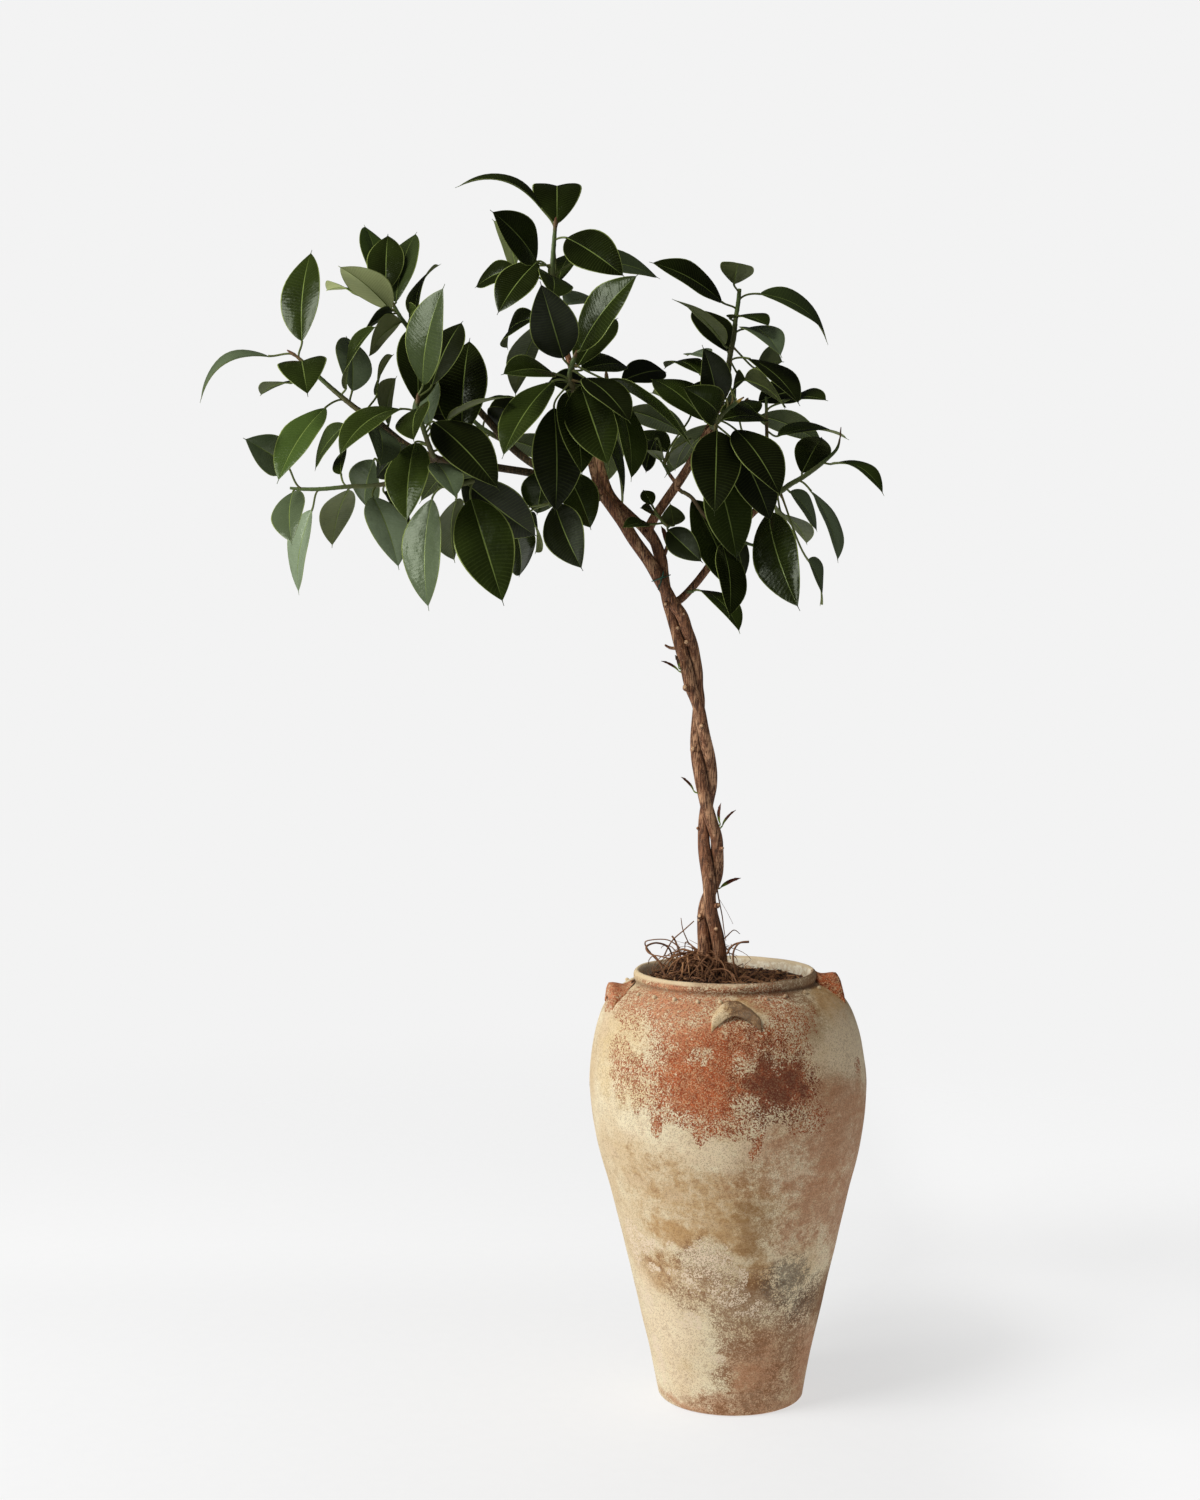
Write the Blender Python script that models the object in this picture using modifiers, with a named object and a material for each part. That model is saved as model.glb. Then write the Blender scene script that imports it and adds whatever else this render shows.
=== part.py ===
"""A potted rubber plant: two stems twisted round each other in a tall, shouldered clay jar.

Metres, +Z up. The origin is the centre of the jar's foot, and the front is towards -Y.
"""
import math
import random
from collections import namedtuple

import bmesh
import bpy
from mathutils import Matrix, Vector, noise
from mathutils.bvhtree import BVHTree

GAP = 0.0003                      # running gap between two pieces that touch
SLIVER = 0.00001                  # points this close together after a union are one point
SCRAP_POINTS = 8                  # the most points of a loose scrap that a union may leave
MILLI = 0.001

# The jar
JAR_HEIGHT = 0.700
JAR_SIDES = 32
JAR_WALL = 0.014
JAR_FLOOR = 0.022                 # thickness of the bottom
MOUTH_RADIUS = 0.138
LIP_RADIUS = 0.151
LIP_STEPS = 4                     # of the arc over the lip
LIP_HEIGHT = 0.012
FOOT_RADIUS = 0.115               # of the flat that the jar stands on
# The outside below the lip as radius and height, from the neck down to the foot
JAR_OUTSIDE = [
    (0.1500, 0.6850), (0.1560, 0.6815), (0.1690, 0.6755), (0.1970, 0.6520), (0.2152, 0.6100),
    (0.2260, 0.5510), (0.2285, 0.5110), (0.2210, 0.4315), (0.2012, 0.3520), (0.1720, 0.2330),
    (0.1465, 0.1330), (0.1325, 0.0740), (0.1190, 0.0060),
]
JAR_WIDEST = 0.511                # height of the widest place
JAR_INSIDE_HEIGHTS = [0.672, 0.645, 0.590, 0.500, 0.330]

LUG_COUNT = 4
LUG_HALF_SPAN = math.radians(17.0)
LUG_CREST_HEIGHT = 0.678
LUG_FOOT_HEIGHT = 0.650
LUG_REACH = 0.021                 # how far the crest stands out from the shoulder
LUG_FOOT_REACH = 0.003
LUG_HALF_THICKNESS = 0.0095
LUG_SUNK = 0.007
LUG_STATIONS = 7
LUG_SIDES = 6

STUD_COUNT = 32
STUD_RADIUS = 0.0036
STUD_RING_RADIUS = 0.1640
STUD_RING_HEIGHT = 0.6782
STUD_CLEAR_OF_LUG = math.radians(15.0)

# The soil
SOIL_LEVEL = 0.683
SOIL_RINGS = [0.030, 0.056, 0.080, 0.104]
HEAP_PLACE = (-0.060, 0.004)      # middle of the heap of roots, left of the stems
HEAP_HEIGHT = 0.030
HEAP_RADIUS = 0.052
CRUMB_HEIGHT = 0.0035
CRUMBS_PER_METRE = 55.0
SOIL_EDGE = (0.003, 0.005)        # the top's rounded edge, inwards and down
SOIL_FADE = 0.020                 # the crumbs and heap fade out over this width at the edge
HOLE_BOTTOM = 0.610
HOLE_HEIGHT = 0.300               # of the cutters, past the top of the soil
HOLE_SIDES = 16
SURFACE_ROOTS = 6
ROOT_RADIUS = 0.0016
ROOT_POINTS = 6
ROOT_START = 0.045                # how far from the jar's axis the surface roots start
ROOT_ENDS = (0.085, 0.115)        # and end
ROOT_BEND = 0.9                   # how far one turns round the axis at most, in radians
ROOT_SINK = 0.004                 # how deep its ends go
ROOT_SEED = 7

# The front view. A point of the plant is given by where the eye sees it, across and down in a
# picture 1200 wide and 1500 high, and by its depth behind the jar's axis.
VIEWPOINT = Vector((-0.215, -3.700, 1.300))
VIEW_TILT = math.radians(3.72)
VIEW_CENTRE = (600.0, 750.0)
VIEW_FOCAL = 2290.0

# Leaves
BLADE_THICKNESS = 0.0016          # at the midrib
BLADE_WIDTH_SHARE = 0.47          # of the blade's length
BLADE_STATIONS = [0.13, 0.44, 0.79]
BLADE_FOLD = 0.16                 # rise of the edges per metre of half width
DRIP_TIP = 0.0024
STALK_RADIUS = 0.0020
STALK_STATIONS = [0.0, 0.55]
SHORT_STALK = 0.018               # a stalk shorter than this has no ring between its ends
ROOM = 0.0011                     # room kept round each blade on either side
SEAT_CLEAR = 0.009                # the first stalk leaves a shoot this far above its seat
SEAT_LENGTH = 0.004               # a shoot runs straight for this length from its seat
STALK_BEND = 0.35                 # of a stalk's reach, before it turns at either end
STALK_DEPTH_SHARE = 0.4           # the most of a leaf's depth that its stalk takes up
DEPTH_STEP = 0.009                # a leaf that would cross another moves by this much in depth
DEPTH_STEPS = 14
TURN_STEPS = (0, 14, -14, 28, -28, 42)    # and rolls by these degrees
MOST_STRETCH = 1.3                # of a leaf's own length, when it is moved
LEAST_STRETCH = 0.11

Leaf = namedtuple("Leaf", "base tip wide long to under arch")
Form = namedtuple("Form", "stalk blade face width")


def leaf(base, tip, wide, long, to=0, under=False, arch=0.07):
    """One leaf as the front view shows it.

    base and tip are the blade's ends and wide is its width there, all in the picture's units. long
    is its real length in metres. to is -1 where it comes towards the eye and 1 where it goes away.
    under says that its underside is seen, and arch is the rise of its middle per metre of length.
    """
    return Leaf(base, tip, wide, long, to, under, arch)


# Woody paths. Each row is across, down, depth in millimetres and radius in millimetres.
STEM_A = [
    (720.5, 963, 0, 11.3), (718.5, 942, -2, 10.8), (715.5, 928, -5, 10.4), (712, 914, -8.8, 10.2),
    (710, 902, -10.6, 10.1), (709.4, 890, -10.6, 10.0), (708, 878, -8.8, 9.9), (706, 866, -5.2, 9.8),
    (704, 850, 0, 9.6), (703.6, 838, 3.2, 9.5), (704, 823, 8, 9.5), (707, 805, 10.6, 9.4),
    (710.8, 788, 8.2, 9.4), (711.5, 774, 4.4, 9.3), (709.8, 759, 0, 9.3), (706.8, 745, -5.2, 9.2),
    (703, 728, -9.2, 9.2), (697.5, 704, -9.8, 9.2), (690.5, 687, -8.4, 9.2),
    (686.5, 671, -6.6, 9.1), (679.5, 645, -2.2, 9.1), (675.5, 629, 4.6, 9.0),
    (671.8, 615, 7.0, 9.0), (668, 603, 9.2, 9.0), (665, 587, 10.0, 8.9), (663.4, 575, 9.8, 8.8),
    (661.6, 560, 7.5, 8.8), (655.5, 543, 5, 8.8), (648, 530, 3, 8.6),
]
STEM_B = [
    (704, 965, 0, 11.3), (704, 942, 2, 10.8), (703.5, 928, 5, 10.4), (704, 914, 8.8, 10.2),
    (706, 902, 10.6, 10.1), (711, 890, 10.6, 10.0), (715.5, 878, 8.8, 10.0), (717.5, 866, 5.2, 9.9),
    (717.5, 850, 0, 9.8), (716.4, 838, -3.2, 9.8), (712, 823, -8, 9.7), (706.5, 805, -10.6, 9.7),
    (702.4, 788, -8.2, 9.6), (699.5, 774, -4.4, 9.5), (696.8, 759, 0, 9.4), (695.8, 745, 5.2, 9.3),
    (697, 728, 9.2, 9.2), (699, 704, 9.8, 9.3), (697.5, 687, 8.4, 9.2), (697, 671, 6.6, 9.2),
    (692.4, 645, 2.2, 9.2), (687, 629, -4.6, 9.2), (682, 615, -7.0, 9.2), (673.5, 603, -9.2, 9.2),
    (664, 587, -10.0, 9.2), (656.6, 575, -9.8, 9.2), (648, 560, -7.5, 9.4), (634, 540, -4, 9.8),
    (619, 516, -1, 10.0), (603, 495, 0, 9.2),
]
BRANCHES_A = {
    "shoot_right_front": [
        (648, 530, 3, 8.0), (656, 515, 0, 7.6), (676, 486, -10, 7.4), (690, 464, -20, 7.0),
        (703, 441, -34, 6.2), (711, 429, -44, 4.8)],
    "shoot_right_top": [
        (690, 464, -20, 6.4), (703, 440, 0, 6.0), (716, 412, 24, 5.6), (724, 391, 36, 5.2),
        (728, 373, 44, 4.6)],
    "shoot_top": [
        (655.5, 543, 5, 8.0), (643, 528, 15, 7.8), (627, 513, 22, 7.6), (612, 497, 26, 7.2),
        (604, 478, 29, 6.6), (598, 455, 34, 6.2), (590, 425, 42, 5.8), (578, 390, 50, 5.4),
        (566, 350, 58, 5.0), (556, 318, 64, 4.8), (552, 302, 66, 4.5)],
    "shoot_far_right": [
        (668, 606, 8.8, 7.0), (681, 599, 8, 6.6), (696, 583, 6, 6.4), (713, 561, 4, 6.2),
        (735, 532, 4, 5.8), (753, 513, 6, 5.4), (761, 506, 7, 5.2), (767, 501, 7.6, 5.0)],
    "shoot_right_twig": [
        (755, 511, 6, 3.6), (763, 495, 14, 3.4), (768, 476, 22, 3.2), (768, 455, 34, 3.1),
        (767, 438, 42, 3.0)],
    "shoot_inner_twig": [(677, 485, -10, 3.2), (670, 475, -5, 3.0)],
    "shoot_fork": [(657, 513, -2, 3.4), (661, 519, -15, 3.1)],
    "shoot_right_low": [(676, 487, -10, 3.6), (681, 491, -23, 3.3)],
    "shoot_right_first": [(684, 597, 8, 3.4), (687, 593, -2, 3.1)],
    "shoot_back_centre": [(592, 432, 40, 4.6), (597, 421, 66, 4.2)],
    "shoot_back_right": [(716, 412, 24, 4.6), (724, 407, 48, 4.2)],
}
BRANCHES_B = {
    "shoot_centre": [
        (603, 495, 0, 8.2), (596, 478, -5, 7.2), (591, 459, -14, 6.6), (586, 435, -28, 6.0),
        (580, 412, -44, 5.4), (576, 397, -54, 4.8)],
    "shoot_upper_left": [
        (603, 495, 0, 7.2), (591, 486, 6, 7.0), (580, 483, 12, 6.8), (556, 476, 22, 6.4),
        (530, 462, 34, 6.2), (508, 444, 46, 6.0), (492, 425, 56, 5.8), (466, 396, 70, 5.4),
        (440, 366, 82, 5.0), (429, 352, 88, 4.6)],
    "shoot_far_left": [
        (603, 495, 0, 7.4), (594, 498, -4, 7.2), (584, 495, -8, 7.0), (566, 486, -14, 6.6),
        (545, 476, -18, 6.4), (500, 468, -24, 6.2), (450, 462, -24, 5.8), (428, 455, -22, 5.6),
        (408, 446, -18, 5.4), (392, 434, -14, 5.2), (381, 424, -10, 4.8)],
    "shoot_left_front": [(438, 459, -23, 4.8), (434, 456, -36, 4.4)],
    "shoot_left_bare": [(436, 458, -23, 4.8), (426, 464, -8, 4.6), (416, 469, 3, 4.2)],
    "shoot_left_low": [(495, 467, -24, 5.0), (486, 474, -42, 4.6)],
    "shoot_centre_low": [(570, 487, -13, 4.6), (566, 492, -28, 4.2)],
    "shoot_back_left": [(508, 444, 46, 4.8), (502, 440, 68, 4.4)],
}
# The roots that arch clear of the soil, with the same columns
FREE_ROOTS = [
    [(676, 976, 24, 1.6), (670, 950, 14, 1.6), (658, 943, -4, 1.6), (647, 946, -18, 1.6),
     (648, 952, -28, 1.6), (658, 960, -38, 1.6), (670, 988, -48, 1.6)],
    [(740, 988, -20, 1.6), (733, 958, -22, 1.6), (738, 944, -24, 1.6), (749, 941.5, -22, 1.6)],
    [(684, 972, -6, 1.6), (677, 945, -6, 1.6), (672, 936, -2, 1.6)],
]
# The green stems of the shoots, past their seats, with the same columns
SHOOT_STEMS = {
    "shoot_far_left": [
        (369, 416, -7, 4.6), (357, 409, -4, 4.4), (337, 393, 3, 4.1), (319, 377, 8, 3.7),
        (303, 362, 12, 3.2), (296, 356, 13, 2.4), (287, 350, 14, 0.8)],
    "shoot_upper_left": [
        (419, 340, 93, 4.3), (408, 327, 99, 4.0), (401, 318, 103, 3.6), (394, 306, 107, 3.0),
        (388, 297, 109, 0.8)],
    "shoot_left_front": [
        (430, 448, -46, 4.2), (426, 437, -54, 4.0), (421, 421, -64, 3.8), (417.5, 406, -72, 3.2),
        (418, 393, -76, 0.8)],
    "shoot_left_bare": [
        (403, 476, 12, 4.0), (388, 483, 19, 3.9), (370, 486, 25, 3.8), (350, 486.5, 30, 3.6),
        (322, 489, 36, 3.4), (300, 489, 40, 3.0), (290, 488, 41, 2.2)],
    "shoot_left_low": [
        (476, 480, -56, 4.2), (462, 484, -66, 4.0), (447, 486, -75, 3.6), (438, 486, -80, 2.6)],
    "shoot_top": [
        (552, 288, 69, 4.4), (552.5, 265, 73, 4.1), (554, 243, 76, 3.7), (555, 229, 78, 3.2),
        (556, 217, 79, 0.9)],
    "shoot_centre": [
        (572, 386, -61, 4.4), (569.5, 377, -66, 4.2), (571, 368, -70, 3.6), (577, 350, -76, 0.9)],
    "shoot_right_top": [
        (730, 356, 50, 4.4), (734, 336, 56, 4.1), (735.5, 320, 60, 3.8), (738, 304, 64, 3.6),
        (739.5, 289, 67, 3.3)],
    "shoot_right_front": [
        (714, 424, -52, 4.4), (717, 420, -58, 3.8), (728, 409, -66, 2.8), (744, 397, -74, 0.9)],
    "shoot_far_right": [
        (777, 494, 9, 4.7), (790, 484.5, 11, 4.4), (797, 480.5, 12, 4.2), (806, 475, 14, 4.0),
        (821, 464, 16, 3.4), (836, 450, 18, 2.6), (840, 438, 19, 1.2), (841, 427, 19, 0.6)],
    "shoot_inner_twig": [(667, 470, -2, 2.8), (663, 463, 1, 2.4)],
    "shoot_fork": [(664, 523, -23, 2.9), (669, 527, -30, 2.4)],
    "shoot_right_twig": [(766.6, 425, 48, 2.9), (766.4, 410, 54, 2.7), (766, 397, 58, 2.2)],
    "shoot_right_low": [
        (685, 493, -32, 3.2), (693, 499, -38, 3.1), (704, 515, -42, 3.0), (724, 534, -36, 2.8),
        (746, 543, -26, 2.6), (760, 547, -18, 2.0)],
    "shoot_right_first": [(690, 591.5, -9, 2.8), (693, 591.5, -14, 2.4)],
    "shoot_centre_low": [(562, 497, -38, 4.0), (555, 502, -47, 3.6), (550, 506, -53, 2.6)],
    "shoot_back_centre": [
        (602, 410, 92, 4.0), (606, 396, 122, 3.8), (607, 384, 152, 3.4), (606, 370, 172, 0.9)],
    "shoot_back_right": [
        (732, 406, 75, 4.0), (739, 407, 108, 3.7), (744, 405, 138, 3.3), (748, 398, 156, 0.9)],
    "shoot_back_left": [
        (493, 435, 94, 4.1), (482, 428, 122, 3.8), (473, 420, 150, 3.4), (468, 408, 168, 0.9)],
}
LEAVES = {
    "shoot_centre": [
        leaf((581, 386), (609, 468), 52, 0.160, to=-1),
        leaf((567, 392), (582, 477), 38, 0.150, to=-1),
        leaf((563, 358), (540, 281), 46, 0.150, to=-1),
        leaf((580, 350), (640, 273), 34, 0.170, to=-1),
        leaf((578, 366), (618, 318), 30, 0.130, to=1),
        leaf((582, 370), (628, 367), 20, 0.120, to=1),
        leaf((553, 373), (501, 375), 22, 0.130, to=-1),
        leaf((552, 382), (502, 459), 32, 0.165, to=-1),
        leaf((554, 408), (555, 515), 50, 0.178),
        leaf((615, 395), (631, 482), 26, 0.160, to=-1),
        leaf((600, 425), (621, 513), 38, 0.165, to=1),
        leaf((585, 378), (631, 424), 28, 0.140, to=-1),
        leaf((606, 380), (695, 451), 30, 0.188, to=-1),
    ],
    "shoot_right_front": [
        leaf((717, 431), (714.5, 516), 48, 0.160, to=-1),
        leaf((736, 430), (781, 498), 38, 0.160, to=-1),
        leaf((716, 412), (702, 345), 32, 0.140, to=-1),
        leaf((717, 415), (680, 386), 24, 0.120, to=-1, arch=0.14),
        leaf((705, 421), (651, 379), 30, 0.150, to=1),
        leaf((735, 443), (771, 523), 42, 0.160),
        leaf((714, 468), (737, 562), 45, 0.165),
        leaf((722, 420), (768, 421), 18, 0.140, to=1),
        leaf((700, 374), (664, 369), 7, 0.110, to=1, arch=0.14),
        leaf((708, 358), (687, 356), 8, 0.090, to=1),
    ],
    "shoot_left_low": [
        leaf((471, 499), (504, 606), 57, 0.190, to=-1),
        leaf((432, 499), (429, 611), 38, 0.190),
        leaf((436, 463), (456, 499), 27, 0.110, to=-1),
        leaf((462, 480), (538, 537), 50, 0.170, to=1),
        leaf((456, 500), (455, 563), 30, 0.150, to=1, under=True),
    ],
    "shoot_left_front": [
        leaf((434, 422), (500, 491), 44, 0.170, to=-1),
        leaf((415, 443), (407, 524), 41, 0.155, to=-1),
        leaf((423, 384), (445, 284), 36, 0.180, to=-1),
        leaf((400, 409), (338, 458), 24, 0.150, to=-1, arch=0.13),
        leaf((418, 403), (410, 326), 40, 0.150, to=1),
        leaf((448, 420), (513, 397), 26, 0.140, to=-1),
        leaf((432, 385), (463, 321), 18, 0.140, to=1),
        leaf((462, 436), (470, 338), 48, 0.175, to=1),
        leaf((430, 425), (433, 380), 26, 0.120, to=1),
        leaf((420, 407), (414, 442), 28, 0.130, to=-1),
        leaf((408, 447), (376, 479), 14, 0.120, to=1),
    ],
    "shoot_far_left": [
        leaf((302, 341), (312, 250), 36, 0.160, to=1),
        leaf((268, 356), (200, 403), 8, 0.150, arch=0.22),
        leaf((302, 362), (308, 397), 46, 0.150, to=-1, arch=0.12),
        leaf((325, 408), (277, 484), 30, 0.160, to=-1),
        leaf((352, 391), (346, 336), 33, 0.140, to=1),
        leaf((346, 388), (378, 325), 8, 0.150, to=-1, arch=0.10),
        leaf((376, 424), (380, 468), 30, 0.140, to=-1),
        leaf((388, 425), (397, 376), 18, 0.130, to=1, under=True),
        leaf((377, 394), (394, 354), 12, 0.110, to=1, under=True),
        leaf((290, 383), (260, 396), 9, 0.100, to=1, under=True),
        leaf((345, 425), (315, 471), 13, 0.120, to=1),
    ],
    "shoot_upper_left": [
        leaf((378, 287), (364, 225), 28, 0.140, to=1),
        leaf((386, 291), (388, 234), 28, 0.130, to=1),
        leaf((391, 310), (338, 266), 30, 0.140, to=-1, under=True),
        leaf((396, 302), (417, 232), 12, 0.150, to=1),
        leaf((416, 318), (441, 264), 8, 0.130, to=1, arch=0.12),
        leaf((401, 322), (369, 356), 18, 0.130, to=-1, under=True),
        leaf((392, 314), (362, 336), 8, 0.110, to=-1, under=True),
        leaf((352, 292), (326, 291), 7, 0.100, to=1, under=True),
        leaf((410, 322), (418, 308), 9, 0.080, to=-1),
    ],
    "shoot_left_bare": [
        leaf((373, 497), (399, 570), 37, 0.145, to=-1),
        leaf((312, 510), (299, 595), 20, 0.155, to=1),
        leaf((288, 467), (243, 438), 36, 0.130, to=-1),
        leaf((293, 492), (292, 545), 31, 0.130, to=-1),
        leaf((348, 490), (332, 548), 30, 0.130, to=1, under=True),
        leaf((374, 460), (366, 507), 32, 0.140, to=1),
        leaf((384, 492), (411, 555), 11, 0.140, to=1),
        leaf((341, 474), (347, 447), 10, 0.080, to=1),
    ],
    "shoot_top": [
        leaf((557, 224), (557, 191), 47, 0.130, to=1, arch=0.22),
        leaf((541, 208), (455, 188), 7, 0.160, arch=0.20),
        leaf((536, 261), (490, 210), 34, 0.150, to=-1),
        leaf((567, 238), (626, 278), 40, 0.150, to=-1),
        leaf((537, 262), (497, 315), 33, 0.150, to=-1),
        leaf((551, 276), (552, 300), 32, 0.130, to=-1),
        leaf((583, 262), (660, 279), 20, 0.160, to=1),
        leaf((516, 266), (492, 219), 22, 0.120, to=1, under=True),
        leaf((558, 283), (576, 252), 14, 0.110, to=1),
        leaf((515, 268), (475, 288), 18, 0.110, to=1),
        leaf((536, 318), (508, 350), 9, 0.130, to=1, arch=0.16),
        leaf((543, 322), (515, 398), 26, 0.150, to=1, under=True),
        leaf((566, 305), (598, 301), 14, 0.120, to=1),
    ],
    "shoot_right_top": [
        leaf((722, 302), (649, 262), 22, 0.150, to=-1),
        leaf((760, 294), (828, 345), 14, 0.155, to=1, arch=0.15),
        leaf((734, 284), (738, 263), 32, 0.110, to=-1, under=True),
        leaf((728, 352), (692, 309), 28, 0.130, to=1),
        leaf((724, 345), (672, 299), 10, 0.140, to=-1, under=True),
        leaf((730, 318), (770, 327), 8, 0.120, to=-1),
        leaf((743, 329), (782, 358), 20, 0.130, to=-1, arch=0.13),
        leaf((750, 359), (800, 406), 20, 0.150, to=-1),
        leaf((745, 380), (785, 409), 22, 0.140, to=-1, under=True),
        leaf((756, 368), (784, 362), 26, 0.120, to=1, under=True),
    ],
    "shoot_far_right": [
        leaf((768, 513), (800, 611), 51, 0.175, to=-1),
        leaf((811, 491), (838, 563), 14, 0.140, to=-1),
        leaf((831, 464), (884, 496), 11, 0.115, to=-1, arch=0.18),
        leaf((802, 473), (822, 437), 34, 0.120, to=1),
        leaf((790, 492), (817, 532), 14, 0.110, to=1),
        leaf((771, 499), (779, 544), 10, 0.110, to=1, under=True),
        leaf((783, 514), (807, 545), 16, 0.120, to=1, under=True),
        leaf((808, 560), (820, 606), 8, 0.130, to=1),
    ],
    "shoot_right_twig": [
        leaf((783, 402), (828, 401), 10, 0.120, to=-1),
        leaf((778, 436), (849, 440), 7, 0.140, to=1, arch=0.10),
        leaf((757, 413), (736, 402), 12, 0.090, to=1),
    ],
    "shoot_right_low": [
        leaf((692, 500), (732, 591), 42, 0.175, to=-1),
        leaf((722, 545), (729, 619), 28, 0.140, to=-1),
        leaf((733, 540), (741, 588), 22, 0.130, to=1),
    ],
    "shoot_right_first": [
        leaf((698, 590), (740, 634), 18, 0.130, to=-1, arch=0.12),
    ],
    "shoot_inner_twig": [
        leaf((661, 461), (647, 450), 8, 0.050, to=-1, under=True),
        leaf((668, 452), (628, 436), 22, 0.120, to=1),
        leaf((655, 440), (646, 473), 13, 0.080, to=1),
        leaf((690, 440), (675, 471), 17, 0.090, to=1, under=True),
        leaf((690, 410), (650, 393), 13, 0.120, to=1, under=True),
    ],
    "shoot_fork": [
        leaf((668, 530), (703, 563), 28, 0.095, to=-1),
        leaf((674, 525), (670, 503), 24, 0.065, to=1, under=True),
        leaf((649, 524), (622, 528), 11, 0.065, to=-1),
        leaf((654, 513), (640, 508), 9, 0.045, to=-1),
        leaf((652, 505), (643, 490), 10, 0.050, to=1),
    ],
    "shoot_centre_low": [
        leaf((555, 505), (583, 571), 42, 0.145, to=-1),
        leaf((566, 472), (591, 530), 36, 0.140, to=1),
        leaf((530, 515), (535, 554), 12, 0.110, to=1),
        leaf((512, 520), (519, 577), 13, 0.130, to=1),
        leaf((545, 470), (537, 515), 30, 0.130, to=1),
    ],
}
# Shoots behind the crown: leaves round the stem by the golden angle, as across, down and reach
BACK_SHOOTS = ["shoot_back_centre", "shoot_back_right", "shoot_back_left"]
BACK_LEAVES = 6
GOLDEN_ANGLE = math.radians(137.5)
BACK_START = math.radians(80.0)
BACK_STALK = (22.0, 16.0)         # a stalk's reach in the front view, across and down
BACK_REACH = (66.0, 46.0)         # and a blade's
BACK_HANG = 0.55                  # how far the leaves hang
BACK_LENGTH = 0.155
BACK_WIDE = 34.0

# Small reddish side sprouts that stay on the stems, as leaves without a shoot of their own
SPROUTS_A = [
    leaf((679, 671), (661, 661), 4, 0.032, to=-1),
    leaf((679, 668), (675, 655), 5, 0.026, to=-1),
    leaf((668, 547), (661, 526), 9, 0.038, to=-1),
]
SPROUTS_B = [
    leaf((694, 791), (681, 777), 4, 0.032, to=-1),
    leaf((720, 824), (721, 803), 5, 0.036, to=-1),
    leaf((722, 826), (736, 810), 4, 0.034, to=-1),
    leaf((720, 888), (741, 878), 6, 0.036, to=-1),
]
SQUARE_END = 0.003                # straight length at the end of a branch
FOOT_STRAIGHT = 0.03              # each stem stands straight below this depth under its first point
SPROUT_SCALE = 0.45               # of a leaf's stalk radius and blade thickness
STUBS_A = [
    [(680, 648, -2, 3.2), (671, 648, -4, 2.6), (665, 645, -6, 1.6)],
    [(661.5, 561, 8, 4.2), (665, 553, 6, 3.4), (667.5, 546, 4, 2.8)],
    [(704, 834, 3, 3.4), (697, 827.5, 1, 2.2)],
]
STUBS_B = [
    [(696, 747, 4, 5.0), (693, 749, -5, 2.6)],
    [(704, 920, 6, 5.0), (698.5, 920, -1, 2.8)],
]

TIE_PLACE = (660.0, 578.0)        # where the tie goes round the stems in the front view
TIE_RADIUS = 0.0013
TIE_ROOM = 0.0103                 # from a stem's middle to the tie
TIE_TAIL = 0.020
TIE_TAIL_LEANS = (-0.7, 0.8)      # rise of each tail along the stems, of its length
TIE_POINTS = 12


def seen(across, down, depth):
    """The point that the front view shows there, at that depth behind the jar's axis."""
    right = (across - VIEW_CENTRE[0]) / VIEW_FOCAL
    rise = (VIEW_CENTRE[1] - down) / VIEW_FOCAL
    ahead = math.cos(VIEW_TILT) + rise * math.sin(VIEW_TILT)
    ray = Vector((right, ahead, rise * math.cos(VIEW_TILT) - math.sin(VIEW_TILT)))
    return VIEWPOINT + ray * ((depth - VIEWPOINT.y) / ray.y)


def seen_path(rows):
    """The points and radii of a path written as across, down, depth and radius."""
    return [(seen(across, down, depth * MILLI), radius * MILLI)
            for across, down, depth, radius in rows]


def smooth(points, cuts):
    """Points on a smooth curve through the given vectors, with cuts steps to each span."""
    last = len(points) - 1
    curve = []
    for i in range(last):
        before, start = points[max(i - 1, 0)], points[i]
        end, after = points[i + 1], points[min(i + 2, last)]
        for k in range(cuts):
            t = k / cuts
            curve.append(0.5 * (2 * start + (end - before) * t
                                + (2 * before - 5 * start + 4 * end - after) * t * t
                                + (3 * start - before - 3 * end + after) * t ** 3))
    curve.append(points[last])
    return curve


def bezier(points, t):
    """A point and the direction there on the Bezier curve with the given control points."""
    row = list(points)
    while len(row) > 2:
        row = [a.lerp(b, t) for a, b in zip(row, row[1:])]
    return row[0].lerp(row[1], t), (row[1] - row[0]).normalized()


def half_width(u, width):
    """Half a blade's width at the share u of its length: an oval that ends in a drip tip."""
    oval = math.sin(math.pi * min(u / 0.95, 1.0) ** 0.9)
    return max(0.5 * width * max(oval, 0.0) ** 0.7, DRIP_TIP * (1.0 - u) / 0.1)


def stem_line(name, wood, cuts=4):
    """The middle line of a shoot's stem from its seat on the wood, as closely spaced points."""
    seat, along = wood_end(wood)
    start = seat + along * GAP
    first = [start, start + along * SEAT_LENGTH]
    return smooth(first + [point for point, _ in seen_path(SHOOT_STEMS[name])], cuts)


def wood_end(wood):
    """Where a woody path ends, and its direction there."""
    (before, _), (end, _) = seen_path(wood)[-2:]
    return end, (end - before).normalized()


def leaf_place(line, row, taken):
    """The point of a stem's line that a leaf's stalk springs from, other than those taken."""
    gaps = [(seen(*row.base, point.y) - point).length for point in line]
    near = gaps.index(min(gaps))
    back = 0.5 * gaps[near]
    while near > 1 and back > 0.0:
        back -= (line[near] - line[near - 1]).length
        near -= 1
    places = [i for i in range(1, len(line) - 1) if (line[i] - line[0]).length > SEAT_CLEAR]
    return min([i for i in places if i not in taken] or places, key=lambda i: abs(i - near))


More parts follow.
